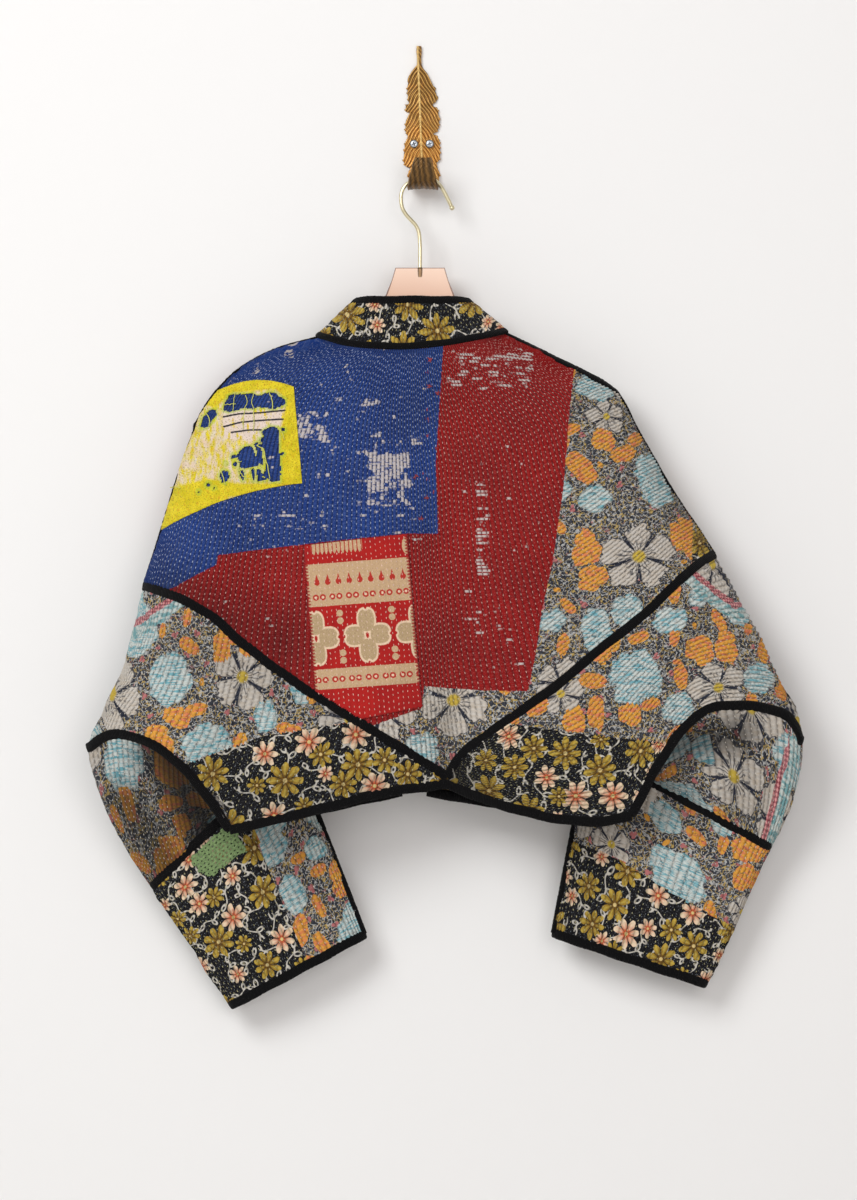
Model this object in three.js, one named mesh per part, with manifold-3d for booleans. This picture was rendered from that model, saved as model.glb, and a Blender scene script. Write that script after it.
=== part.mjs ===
// A quilted cropped jacket with wide drop sleeves, hung on a flat hanger from a wall hook.
// Millimetres. +Z is up, and the wall is the plane Y = 0. The wearer's back faces away
// from the wall, towards -Y, and the wearer's left is at -X. The origin is the middle of
// the wall hook's back face. Every panel is one quilted wall, and every seam and edge is
// covered by a strip of black tape that lies in the gap between two panels.
import * as THREE from "three";
import { mergeVertices } from "three/addons/utils/BufferGeometryUtils.js";
import Module from "manifold-3d";

const wasm = await Module();
wasm.setup();

// ---------------------------------------------------------------- driving sizes
const CLOTH = 3.2; // thickness of the quilt
const GAP = 0.4; // between pieces at a seam
const TAPE_WIDTH = 10;
const TAPE_THICK = 5.4;
const QUILT_PITCH = 21; // every third row of stitches is raised, and rows are 7 apart
const QUILT_RISE = 0.9;
const ROUND = 85; // how far in from an outline the cloth keeps swelling
const NECK_X = -8; // middle of the collar
const FOLD_START = 0.03; // share of a panel over which it opens from the plane of the fold

const NECK_Y = -46;
const COLLAR_LIFT = 4; // the collar starts this far above the neckline
const COLLAR_LEAN = { x: 0.62, y: 0.8 }; // size of its top, as a share of its foot
const COLLAR_TOP = -164;
const COLLAR_FRONT_DROP = 1.05; // how its top falls towards the wall
const RIM_WIDTH = 9;
const FOOT_WIDTH = 7;
const SLEEVE_BULGE = 9;
const SHOULDER_LEAN = { left: { neck: 0.004, wing: -0.012 }, right: { neck: 0.014, wing: -0.02 } };
const HEM_STEPS = 22;
const ARMHOLE_STEPS = 26;
const CUFF_STEPS = 20;
const SEAM_STEPS = 28;
const SHOULDER_STEPS = 14;
const COLLAR_STEPS = 26;
// Cells across and along each panel: two for each raised row over its middle width.
const rowsOver = (width) => 2 * Math.round(width / QUILT_PITCH);
const GRID = {
  back: { across: rowsOver(640), along: 9 },
  front: { across: rowsOver(250), along: 7 },
  lower: { across: rowsOver(640), along: 4 },
  sleeve: { across: rowsOver(340), along: 3 },
  cuff: { across: rowsOver(340), along: 2 },
  collar: { across: rowsOver(400), along: 2, coarse: 2 },
};
const TRIM = 0.5;
const MOST_INSET = 0.44; // no edge is drawn in further than this share of a panel
const THROUGH = 12; // thickness of the cut that a tape makes in a panel

// Hook and hanger. The wire's crown rests in the hook, and the hanger leans out below it.
const CROWN_Y = -27;
const CROWN_Z = -33;
const HANGER_TILT = 0.1;
const WIRE = 4.2;
const HANGER_THICK = 6;
const ARM_CLEAR = 8.3; // from the outline of the cloth down to the hanger's arm
const PLATE_THICK = 3;
const SCREW_X = 8.4;
const SCREW_HEAD = 8.5;

const SIMPLIFY = 0.01; // a point is dropped where the shape changes by less than this
const SCREW_HIGH = 1.8;
const WIRE_BALL = 5.8;
const ARM_SHARE = 0.25; // how far along the arm of the jacket the hanger reaches
const ARM_HIGH = 26;
const FERRULE = { top: 5, foot: 6, high: 9 };
const HANGER_NECK = [
  { x: 26, z: -129 }, { x: 30, z: -143 }, { x: 35, z: -155 }, { x: 41, z: -171 },
  { x: 48, z: -188 }, { x: 58, z: -207 },
];
const WIRE_PATH = [
  { x: 0, z: -119.4 }, { x: 0, z: -108 }, { x: -1, z: -92 }, { x: -4, z: -85 },
  { x: -14, z: -74 }, { x: -20, z: -61 }, { x: -19, z: -48 }, { x: -9, z: -37 },
  { x: 3, z: -33 }, { x: 15, z: -36 }, { x: 24, z: -46 }, { x: 33, z: -64 },
];
// Outline of the feather from its tip down: half its width by height.
const FEATHER = [
  { half: 0, z: 104 }, { half: 2.2, z: 96 }, { half: 2.6, z: 82 }, { half: 6, z: 78 },
  { half: 11, z: 66 }, { half: 9.5, z: 64 }, { half: 15, z: 50 }, { half: 16.5, z: 36 },
  { half: 14.5, z: 34 }, { half: 18, z: 24 }, { half: 18, z: 10 }, { half: 16, z: 8 },
  { half: 17.5, z: 0 }, { half: 16.5, z: -12 }, { half: 17, z: -22 },
];
// The turned-up hook under the feather: a strip that runs forward and up.
const HOOK_X = 2;
const HOOK_PATH = [
  { y: -1.5, z: -14, half: 14 }, { y: -1.5, z: -22, half: 15.5 }, { y: -3, z: -31, half: 15.5 },
  { y: -8, z: -39.5, half: 15.5 }, { y: -17, z: -44.7, half: 15.5 }, { y: -27, z: -45.7, half: 15.5 },
  { y: -37, z: -43.5, half: 15.5 }, { y: -45, z: -37, half: 15 },
  { y: -50, z: -27, half: 13 }, { y: -52, z: -15, half: 10 },
];
const PATCH_THICK = 1.1;
const PATCH_OFF = 2.9; // its outer face above the cloth, clear of the quilting
const PATCH_RISE = 0.5;
const PATCH_CUT = 14;
const PRINT = {
  topLeft: { x: -121, z: -422 }, topRight: { x: -14, z: -410 },
  footLeft: { x: -106, z: -612 }, footRight: { x: 2, z: -590 },
};
const FRAME = {
  armTop: 0.36, armFoot: 0.82, // shares of the way down the arm
  topRight: { x: -132, z: -256 }, footRight: { x: -123, z: -357 },
  start: 0.16, // share of the frame that the tape over the shoulder hides
  bulge: 9,
};
// Rips worn through the frame, in shares of its width and height.
const RIPS = [
  { from: 0.45, to: 0.92, top: 0.14, foot: 0.28 },
  { from: 0.74, to: 0.87, top: 0.45, foot: 0.92 },
  { from: 0.57, to: 0.7, top: 0.58, foot: 0.76 },
];
const RIP_ABOVE = 4; // the cut for a rip starts this far above the patch
const KNIT = { from: 0.08, to: 0.27, top: 0.03, foot: 0.36 };

// Outline of the cloth, from the foot of the collar over the arm and down to the elbow.
const OUTLINE = {
  left: [
    { x: -108, z: -203 }, { x: -148, z: -214 }, { x: -174, z: -226 }, { x: -195, z: -240 },
    { x: -213, z: -259 }, { x: -228, z: -280 }, { x: -240, z: -310 }, { x: -253, z: -346 },
    { x: -266, z: -388 }, { x: -279, z: -430 }, { x: -290, z: -464 }, { x: -300, z: -509 },
    { x: -312, z: -553 }, { x: -329, z: -593 }, { x: -342, z: -614 }, { x: -349, z: -635 },
    { x: -343, z: -661 }, { x: -332, z: -693 },
  ],
  right: [
    { x: 91, z: -199 }, { x: 114, z: -210 }, { x: 141, z: -223 }, { x: 167, z: -235 },
    { x: 193, z: -249 }, { x: 211, z: -266 }, { x: 225, z: -294 }, { x: 243, z: -326 },
    { x: 264, z: -362 }, { x: 285, z: -394 }, { x: 309, z: -430 }, { x: 332, z: -475 },
    { x: 351, z: -509 }, { x: 369, z: -546 }, { x: 383, z: -578 }, { x: 395, z: -601 },
    { x: 401, z: -628 }, { x: 399, z: -648 }, { x: 391, z: -677 },
  ],
};
const WING_ROW = 10; // the row of OUTLINE where the slanting body seam starts
const ELBOW_ROW = { left: 15, right: 16 }; // the row where the armhole starts

// Neckline of the back, left to right, and of each front, shoulder to centre.
const NECK_BACK = [
  { x: -108, z: -203 }, { x: -80, z: -212 }, { x: -43, z: -216 }, { x: -6, z: -216 },
  { x: 30, z: -212 }, { x: 62, z: -206 }, { x: 91, z: -199 },
];
const NECK_FRONT = {
  left: [{ x: -108, z: -203 }, { x: -92, z: -218 }, { x: -60, z: -234 }, { x: -17, z: -243 }],
  right: [{ x: 91, z: -199 }, { x: 76, z: -216 }, { x: 44, z: -233 }, { x: 1, z: -243 }],
};

// Slanting seam from the wing to the middle of the hem.
const SLANT_BACK = {
  left: [
    { x: -290, z: -464 }, { x: -269, z: -470 }, { x: -243, z: -481 }, { x: -216, z: -497 },
    { x: -190, z: -520 }, { x: -158, z: -545 }, { x: -127, z: -567 }, { x: -85, z: -593 },
    { x: -43, z: -619 }, { x: -1, z: -645 }, { x: 28, z: -664 },
  ],
  right: [
    { x: 309, z: -430 }, { x: 282, z: -448 }, { x: 256, z: -472 }, { x: 230, z: -497 },
    { x: 188, z: -530 }, { x: 146, z: -565 }, { x: 104, z: -595 }, { x: 72, z: -618 },
    { x: 52, z: -632 }, { x: 39, z: -646 }, { x: 28, z: -664 },
  ],
};
const SLANT_FRONT = {
  left: [
    { x: -290, z: -464 }, { x: -262, z: -473 }, { x: -216, z: -497 }, { x: -158, z: -540 },
    { x: -95, z: -585 }, { x: -50, z: -618 }, { x: -20, z: -646 },
  ],
  right: [
    { x: 309, z: -430 }, { x: 280, z: -450 }, { x: 230, z: -492 }, { x: 165, z: -543 },
    { x: 95, z: -590 }, { x: 42, z: -622 }, { x: 8, z: -648 },
  ],
};

// Hem, from the foot of the armhole to the middle.
const HEM_BACK = {
  left: [{ x: -199, z: -719 }, { x: -127, z: -702 }, { x: -43, z: -681 }, { x: 28, z: -671 }],
  right: [
    { x: 221, z: -704 }, { x: 188, z: -710 }, { x: 146, z: -707 }, { x: 104, z: -698 },
    { x: 62, z: -685 }, { x: 28, z: -671 },
  ],
};
const HEM_FRONT = {
  left: [{ x: -190, z: -716 }, { x: -127, z: -703 }, { x: -60, z: -688 }, { x: -20, z: -680 }],
  right: [{ x: 213, z: -701 }, { x: 150, z: -700 }, { x: 70, z: -690 }, { x: 8, z: -680 }],
};

// Armhole seam. It starts at the elbow, runs down the back to the hem, and returns up the
// front; "turn" is the place on the sleeve's next ring, in degrees, that each row faces.
const ARMHOLE = {
  left: [
    { x: -349, z: -635, turn: 0, side: "back" }, { x: -339, z: -626, turn: 9, side: "back" },
    { x: -323, z: -620, turn: 19, side: "back" }, { x: -305, z: -621, turn: 31, side: "back" },
    { x: -284, z: -628, turn: 44, side: "back" }, { x: -263, z: -641, turn: 58, side: "back" },
    { x: -244, z: -658, turn: 74, side: "back" }, { x: -226, z: -679, turn: 92, side: "back" },
    { x: -209, z: -703, turn: 114, side: "back" }, { x: -199, z: -719, turn: 130, side: "back" },
    { x: -190, z: -716, turn: 147, side: "front" }, { x: -173, z: -690, turn: 160, side: "front" },
    { x: -162, z: -656, turn: 176, side: "front" }, { x: -168, z: -620, turn: 194, side: "front" },
    { x: -192, z: -598, turn: 214, side: "front" }, { x: -228, z: -590, turn: 240, side: "front" },
    { x: -268, z: -592, turn: 270, side: "front" }, { x: -308, z: -605, turn: 306, side: "front" },
    { x: -336, z: -624, turn: 338, side: "front" },
  ],
  right: [
    { x: 401, z: -628, turn: 0, side: "back" }, { x: 397, z: -615, turn: 8, side: "back" },
    { x: 385, z: -600, turn: 18, side: "back" }, { x: 360, z: -592, turn: 31, side: "back" },
    { x: 330, z: -589, turn: 46, side: "back" }, { x: 303, z: -592, turn: 60, side: "back" },
    { x: 282, z: -606, turn: 74, side: "back" }, { x: 263, z: -629, turn: 90, side: "back" },
    { x: 244, z: -659, turn: 110, side: "back" }, { x: 228, z: -690, turn: 126, side: "back" },
    { x: 221, z: -704, turn: 136, side: "back" }, { x: 213, z: -701, turn: 150, side: "front" },
    { x: 198, z: -676, turn: 162, side: "front" }, { x: 190, z: -645, turn: 177, side: "front" },
    { x: 197, z: -612, turn: 194, side: "front" }, { x: 222, z: -588, turn: 214, side: "front" },
    { x: 260, z: -575, turn: 240, side: "front" }, { x: 305, z: -573, turn: 272, side: "front" },
    { x: 350, z: -582, turn: 306, side: "front" }, { x: 387, z: -605, turn: 338, side: "front" },
  ],
};

// Flattened rings of the sleeve: the seam above the cuff, and the wrist. The outer end of
// the ring is at (x, z) + reach * (outX, outZ).
const SLEEVE_RING = {
  left: {
    seam: { x: -208, z: -708, outX: -0.718, outZ: -0.696, reach: 104, y: -43, deep: 21 },
    wrist: { x: -129, z: -868, outX: -0.882, outZ: -0.471, reach: 81, y: -36, deep: 17 },
  },
  right: {
    seam: { x: 273, z: -686, outX: 0.877, outZ: -0.481, reach: 110, y: -43, deep: 21 },
    wrist: { x: 221, z: -856, outX: 0.949, outZ: -0.315, reach: 86, y: -36, deep: 17 },
  },
};

// Depth of the hung cloth by height: middle plane, and how far back and front stand off it.
const DEPTH = [
  { z: -200, middle: -46, back: 34, front: 28 },
  { z: -300, middle: -48, back: 42, front: 28 },
  { z: -400, middle: -54, back: 47, front: 29 },
  { z: -500, middle: -63, back: 45, front: 24 },
  { z: -600, middle: -74, back: 35, front: 16 },
  { z: -680, middle: -83, back: 23, front: 9 },
  { z: -740, middle: -86, back: 19, front: 7 },
];

// Broad folds: a ridge (or, below zero, a trough) along a line, with its half width.
const FOLDS = {
  back: [
    { x0: 27, z0: -700, x1: 27, z1: -600, wide: 42, rise: -15 },
    { x0: -95, z0: -712, x1: -80, z1: -640, wide: 60, rise: 8 },
    { x0: 120, z0: -716, x1: 110, z1: -640, wide: 60, rise: 9 },
    { x0: -215, z0: -270, x1: -150, z1: -470, wide: 34, rise: -6 },
    { x0: 195, z0: -270, x1: 150, z1: -450, wide: 34, rise: -6 },
    { x0: -60, z0: -300, x1: -40, z1: -560, wide: 46, rise: 5 },
    { x0: 240, z0: -400, x1: 300, z1: -560, wide: 36, rise: 6 },
    { x0: -235, z0: -440, x1: -290, z1: -600, wide: 32, rise: 6 },
    { x0: 300, z0: -500, x1: 240, z1: -640, wide: 24, rise: -5 },
  ],
  front: [
    { x0: -90, z0: -290, x1: -70, z1: -560, wide: 40, rise: 6 },
    { x0: 80, z0: -290, x1: 60, z1: -560, wide: 40, rise: 6 },
    { x0: -190, z0: -280, x1: -150, z1: -480, wide: 30, rise: -7 },
    { x0: 185, z0: -280, x1: 150, z1: -470, wide: 30, rise: -7 },
    { x0: -20, z0: -660, x1: -60, z1: -480, wide: 40, rise: 8 },
    { x0: 10, z0: -660, x1: 50, z1: -480, wide: 40, rise: 8 },
  ],
};

// ---------------------------------------------------------------- curves and surfaces
const clamp = (v, low, high) => Math.min(high, Math.max(low, v));
const mix = (a, b, t) => a + (b - a) * t;

// A smooth curve through rows, read by its share of the length. Each row gives its fields.
function pathOf(rows, fields = ["x", "z"]) {
  const pts = rows.map((r) => fields.map((f) => r[f]));
  const n = pts.length;
  const at = [0];
  for (let i = 1; i < n; i++)
    at.push(at[i - 1] + Math.hypot(pts[i][0] - pts[i - 1][0], pts[i][1] - pts[i - 1][1]));
  const slope = pts.map((p, i) => {
    const a = Math.max(i - 1, 0);
    const b = Math.min(i + 1, n - 1);
    return p.map((v, k) => (pts[b][k] - pts[a][k]) / (at[b] - at[a]));
  });
  return (share) => {
    const s = clamp(share, 0, 1) * at[n - 1];
    let i = 0;
    while (i < n - 2 && s > at[i + 1]) i++;
    const h = at[i + 1] - at[i];
    const t = (s - at[i]) / h;
    const h00 = 2 * t ** 3 - 3 * t ** 2 + 1;
    const h10 = t ** 3 - 2 * t ** 2 + t;
    const h01 = 3 * t ** 2 - 2 * t ** 3;
    const h11 = t ** 3 - t ** 2;
    return pts[i].map(
      (v, k) => h00 * v + h10 * h * slope[i][k] + h01 * pts[i + 1][k] + h11 * h * slope[i + 1][k],
    );
  };
}

// Several curves read as one, each by its share of the whole length.
function joined(...parts) {
  const lengths = parts.map((p) => {
    let sum = 0;
    for (let i = 0; i < 20; i++) {
      const a = p(i / 20);
      const b = p((i + 1) / 20);
      sum += Math.hypot(a[0] - b[0], a[1] - b[1]);
    }
    return sum;
  });
  const total = lengths.reduce((a, b) => a + b);
  return (share) => {
    let s = share * total;
    for (let i = 0; i < parts.length; i++) {
      if (s <= lengths[i] || i === parts.length - 1) return parts[i](clamp(s / lengths[i], 0, 1));
      s -= lengths[i];
    }
  };
}
const reversed = (curve) => (share) => curve(1 - share);

// A smooth value between the rows of a table, by height.
function byHeight(rows, field) {
  return (z) => {
    const i = clamp(rows.findIndex((r) => r.z < z) - 1, 0, rows.length - 2);
    const low = z < rows[rows.length - 1].z ? rows.length - 2 : i;
    const t = clamp((z - rows[low].z) / (rows[low + 1].z - rows[low].z), 0, 1);
    return mix(rows[low][field], rows[low + 1][field], t);
  };
}
const middleY = byHeight(DEPTH, "middle");
const backDepth = byHeight(DEPTH, "back");
const frontDepth = byHeight(DEPTH, "front");

function toSegment(x, z, x0, z0, x1, z1) {
  const dx = x1 - x0;
  const dz = z1 - z0;
  const t = clamp(((x - x0) * dx + (z - z0) * dz) / (dx * dx + dz * dz), 0, 1);
  return Math.hypot(x - x0 - t * dx, z - z0 - t * dz);
}

// The outline in three stretches: over the arm, round the elbow, and down the sleeve.
const SIDES = ["left", "right"];
const outlineOf = (side) => {
  const rows = OUTLINE[side];
  const elbow = ELBOW_ROW[side];
  return {
    arm: pathOf(rows.slice(0, WING_ROW + 1)),
    elbow: pathOf(rows.slice(WING_ROW, elbow + 1)),
    sleeve: pathOf(rows.slice(elbow)),
  };
};
const outline = { left: outlineOf("left"), right: outlineOf("right") };
const OUTLINE_STEPS = 32;
const outlineEdges = SIDES.flatMap((side) =>
  Object.values(outline[side]).flatMap((curve) =>
    Array.from({ length: OUTLINE_STEPS }, (_, i) => [
      ...curve(i / OUTLINE_STEPS),
      ...curve((i + 1) / OUTLINE_STEPS),
    ]),
  ),
);
const fromOutline = (x, z) =>
  outlineEdges.reduce((best, e) => Math.min(best, toSegment(x, z, ...e)), Infinity);

// How far the cloth has swelled to its full depth, from 0 on the outline to 1.
function swell(x, z) {
  const t = Math.min(fromOutline(x, z) / ROUND, 1);
  return Math.sqrt(1 - (1 - t) ** 2);
}
const foldsAt = (rows, x, z) =>
  rows.reduce((sum, f) => {
    const away = toSegment(x, z, f.x0, f.z0, f.x1, f.z1) / f.wide;
    return sum + f.rise * Math.exp(-away * away);
  }, 0);
const backY = (x, z) => middleY(z) - (backDepth(z) + foldsAt(FOLDS.back, x, z)) * swell(x, z);
const frontY = (x, z) => middleY(z) + (frontDepth(z) + foldsAt(FOLDS.front, x, z)) * swell(x, z);

// ---------------------------------------------------------------- solids
const vec = (p) => new THREE.Vector3(...p);

// A closed geometry from points and triangles.
function geometryOf(points, faces) {
  const g = new THREE.BufferGeometry();
  const flat = new Float32Array(points.flatMap((p) => [p.x, p.y, p.z]));
  g.setAttribute("position", new THREE.BufferAttribute(flat, 3));
  g.setIndex(faces.flat());
  return g;
}

function manifoldOf(geometry) {
  const bare = geometry.clone();
  for (const name of Object.keys(bare.attributes)) if (name !== "position") bare.deleteAttribute(name);
  const merged = mergeVertices(bare, 1e-4);
  const solid = new wasm.Manifold(
    new wasm.Mesh({
      numProp: 3,
      vertProperties: merged.attributes.position.array,
      triVerts: new Uint32Array(merged.index.array),
    }),
  );
  if (solid.volume() > 0) return solid;
  const turned = new Uint32Array(merged.index.array);
  for (let i = 0; i < turned.length; i += 3) [turned[i + 1], turned[i + 2]] = [turned[i + 2], turned[i + 1]];
  return new wasm.Manifold(
    new wasm.Mesh({ numProp: 3, vertProperties: merged.attributes.position.array, triVerts: turned }),
  );
}

function geometryFrom(solid) {
  const mesh = solid.getMesh();
  const points = new Float32Array(mesh.numVert * 3);
  for (let i = 0; i < mesh.numVert; i++)
    for (let k = 0; k < 3; k++) points[3 * i + k] = mesh.vertProperties[mesh.numProp * i + k];
  const g = new THREE.BufferGeometry();
  g.setAttribute("position", new THREE.BufferAttribute(points, 3));
  g.setIndex(new THREE.BufferAttribute(new Uint32Array(mesh.triVerts), 1));
  return g;
}

// Fills the strip between two rows of point numbers that start and end together.
function zip(a, b, faces) {
  let i = 0;
  let j = 0;
  while (i < a.length - 1 || j < b.length - 1) {
    if (j === b.length - 1 || (i < a.length - 1 && (i + 1) / (a.length - 1) <= (j + 1) / (b.length - 1))) {
      faces.push([a[i], a[i + 1], b[j]]);
      i++;
    } else {
      faces.push([a[i], b[j + 1], b[j]]);
      j++;
    }
  }
}

// The direction that a surface at(u, v) faces. Loops close along u.
function facing({ at, outward, loop = false }, u, v) {
  const step = 1e-3;
  const u0 = loop ? u - step : Math.max(0, u - step);
  const u1 = loop ? u + step : Math.min(1, u + step);
  const du = vec(at(u1, v)).sub(vec(at(u0, v)));
  const dv = vec(at(u, Math.min(1, v + step))).sub(vec(at(u, Math.max(0, v - step))));
  return du.cross(dv).normalize().multiplyScalar(outward);
}

// A quilted wall on a surface. Its outer face has across x along cells and is raised in
// rows of quilting; its inner face is plain and coarser. "off" moves it out from the cloth.
function quiltWall(surface, grid, { grow = 0, rise = QUILT_RISE, thick = CLOTH, off = 0 } = {}) {
  const { at, outward, loop = false } = surface;
  const { across, along, coarse = 4 } = grid;
  const innerAcross = Math.max(4, Math.round(across / coarse));
  const innerAlong = Math.max(2, Math.round((along * 2) / coarse));
  const points = [];
  const layer = (nu, nv, lift) => {
    const rows = [];
    for (let j = 0; j <= nv; j++) {
      const row = [];
      for (let i = 0; i < nu + (loop ? 0 : 1); i++) {
        const out = facing(surface, i / nu, j / nv);
        const p = vec(at(i / nu, j / nv)).addScaledVector(out, off + lift(i, j));
        row.push(points.push(p) - 1);
      }
      if (loop) row.push(row[0]);
      rows.push(row);
    }
    return rows;
  };
  const onEdge = (i, j) => j === 0 || j === along || (!loop && (i === 0 || i === across));
  const outer = layer(across, along, (i, j) => grow + (i % 2 && !onEdge(i, j) ? rise : 0));
  const inner = layer(innerAcross, innerAlong, () => -thick - grow);
  const faces = [];
  const fill = (rows, flip) => {
    for (let j = 0; j < rows.length - 1; j++)
      for (let i = 0; i < rows[0].length - 1; i++) {
        const [a, b, c, d] = [rows[j][i], rows[j][i + 1], rows[j + 1][i + 1], rows[j + 1][i]];
        faces.push(flip ? [a, c, b] : [a, b, c], flip ? [a, d, c] : [a, c, d]);
      }
  };
  fill(outer, outward < 0);
  fill(inner, outward > 0);
  const rims = [];
  const column = (rows, i) => rows.map((r) => r[i]);
  zip(inner[0], outer[0], rims);
  zip(outer[along], inner[innerAlong], rims);
  if (!loop) {
    zip(column(outer, 0), column(inner, 0), rims);
    zip(column(inner, innerAcross), column(outer, across), rims);
  }
  faces.push(...rims.map(([a, b, c]) => (outward > 0 ? [a, b, c] : [a, c, b])));
  return manifoldOf(geometryOf(points, faces));
}

// A solid through rings of points, closed in a loop or capped at both ends.
function loft(rings, closed = false) {
  const m = rings[0].length;
  const n = rings.length;
  const faces = [];
  for (let i = 0; i < (closed ? n : n - 1); i++)
    for (let k = 0; k < m; k++) {
      const [a, b] = [i * m + k, i * m + ((k + 1) % m)];
      const [c, d] = [((i + 1) % n) * m + k, ((i + 1) % n) * m + ((k + 1) % m)];
      faces.push([a, b, d], [a, d, c]);
    }
  for (let k = 1; !closed && k < m - 1; k++) {
    faces.push([0, k + 1, k]);
    faces.push([(n - 1) * m, (n - 1) * m + k, (n - 1) * m + k + 1]);
  }
  return manifoldOf(geometryOf(rings.flat(), faces));
}

// A strip of tape along stations, each with its point on the cloth and the way it faces.
function tape(stations, { closed = false, wide = TAPE_WIDTH, thick = TAPE_THICK, grow = 0 } = {}) {
  const halfW = wide / 2 + grow;
  const halfT = thick / 2 + grow;
  const section = [[-halfW, -halfT], [-halfW, halfT], [halfW, halfT], [halfW, -halfT]];
  const n = stations.length;
  const rings = stations.map(({ point, face }, i) => {
    const before = stations[closed ? (i + n - 1) % n : Math.max(0, i - 1)].point;
    const after = stations[closed ? (i + 1) % n : Math.min(n - 1, i + 1)].point;
    const along = after.clone().sub(before).normalize();
    const out = face.clone().addScaledVector(along, -face.dot(along)).normalize();
    const across = along.clone().cross(out);
    const centre = point.clone().addScaledVector(out, -CLOTH / 2);
    if (!closed && (i === 0 || i === n - 1)) centre.addScaledVector(along, i === 0 ? -grow : grow);
    return section.map(([w, t]) => centre.clone().addScaledVector(across, w).addScaledVector(out, t));
  });
  return loft(rings, closed);
}

// ---------------------------------------------------------------- cloth surfaces
// A flat patch between four edges.
function betweenEdges(top, bottom, start, end) {
  return (u, v) =>
    [0, 1].map(
      (k) =>
        (1 - v) * top(u)[k] + v * bottom(u)[k] + (1 - u) * start(v)[k] + u * end(v)[k] -
        (1 - u) * ((1 - v) * top(0)[k] + v * bottom(0)[k]) -
        u * ((1 - v) * top(1)[k] + v * bottom(1)[k]),
    );
}
// Packs the columns of a grid towards the fold, where the cloth turns round the arm.
const toFold = (w) => w + w * w - w * w * w;
const onBack = ([x, z], open = 1) => [x, mix(middleY(z), backY(x, z), open), z];
const onFront = ([x, z], open = 1) => [x, mix(middleY(z), frontY(x, z), open), z];
const opening = (w) => Math.min(1, (1 - w) / FOLD_START);

const slantAll = joined(pathOf(SLANT_BACK.left), reversed(pathOf(SLANT_BACK.right)));
const backFlat = betweenEdges(pathOf(NECK_BACK), slantAll, outline.left.arm, outline.right.arm);
const backSurface = {
  outward: -1,
  at: (u, v) => {
    const w = Math.abs(2 * u - 1);
    return onBack(backFlat(0.5 + (Math.sign(2 * u - 1) * toFold(w)) / 2, v), opening(w));
  },
};

// Everything that comes once on each side of the jacket. "hand" is -1 on the left.
function sideOf(side) {
  const hand = side === "left" ? -1 : 1;
  const neck = reversed(pathOf(NECK_FRONT[side]));
  const slantFront = reversed(pathOf(SLANT_FRONT[side]));
  const slantBack = reversed(pathOf(SLANT_BACK[side]));
  const straight = (a, b) => (t) => [mix(a[0], b[0], t), mix(a[1], b[1], t)];

  const frontFlat = betweenEdges(neck, slantFront, straight(neck(0), slantFront(0)), outline[side].arm);
  const front = { outward: hand, at: (u, v) => onFront(frontFlat(toFold(u), v), opening(u)) };

  const rows = ARMHOLE[side];
  const armBack = pathOf(rows.filter((r) => r.side === "back"), ["x", "z", "turn"]);
  const last = { ...rows[0], turn: 360 };
  const armFront = pathOf([...rows.filter((r) => r.side === "front"), last], ["x", "z", "turn"]);
  const hemBack = reversed(pathOf(HEM_BACK[side]));
  const hemFront = reversed(pathOf(HEM_FRONT[side]));
  const lowerBack = betweenEdges(
    slantBack, joined(hemBack, reversed(armBack)),
    straight(slantBack(0), hemBack(0)), outline[side].elbow,
  );
  const lowerFront = betweenEdges(
    slantFront, joined(hemFront, armFront),
    straight(slantFront(0), hemFront(0)), outline[side].elbow,
  );
  const lower = {
    outward: -hand,
    at: (u, v) => {
      const w = 1 - Math.abs(2 * u - 1);
      const s = toFold(w);
      return u <= 0.5 ? onBack(lowerBack(s, v), opening(w)) : onFront(lowerFront(s, v), opening(w));
    },
  };

  // The armhole as one loop: down the back, across the underarm, and up the front.
  const backShare = 0.44;
  const frontShare = 0.5;
  const armhole = (share) => {
    const s = share - Math.floor(share);
    const start = armBack(1);
    const end = armFront(0);
    if (s < backShare) {
      const [x, z, turn] = armBack(s / backShare);
      return { point: onBack([x, z]), turn };
    }
    if (s > frontShare) {
      const [x, z, turn] = armFront((s - frontShare) / (1 - frontShare));
      return { point: onFront([x, z]), turn };
    }
    const t = (s - backShare) / (frontShare - backShare);
    const [a, b] = [onBack(start), onFront(end)];
    return { point: a.map((v, k) => mix(v, b[k], t)), turn: mix(start[2], end[2], t) };
  };
  const ring = (r, turn) => {
    const c = Math.cos((turn * Math.PI) / 180);
    const s = Math.sin((turn * Math.PI) / 180);
    return [r.x + r.reach * c * r.outX, r.y - r.deep * s, r.z + r.reach * c * r.outZ];
  };
  const { seam, wrist } = SLEEVE_RING[side];
  const blend = (a, b, t) => a.map((v, k) => mix(v, b[k], t));
  const sleeve = {
    outward: hand,
    loop: true,
    at: (u, v) => {
      const from = armhole(u);
      const p = blend(from.point, ring(seam, from.turn), v);
      const bulge = SLEEVE_BULGE * 4 * v * (1 - v) * Math.max(0, Math.cos((from.turn * Math.PI) / 180));
      return [p[0] + hand * bulge, p[1], p[2]];
    },
  };
  const cuff = {
    outward: hand,
    loop: true,
    at: (u, v) => blend(ring(seam, 360 * u), ring(wrist, 360 * u), v),
  };
  return { hand, front, lower, sleeve, cuff, armhole, armBack, armFront, hemBack, hemFront };
}
const sides = { left: sideOf("left"), right: sideOf("right") };

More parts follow.
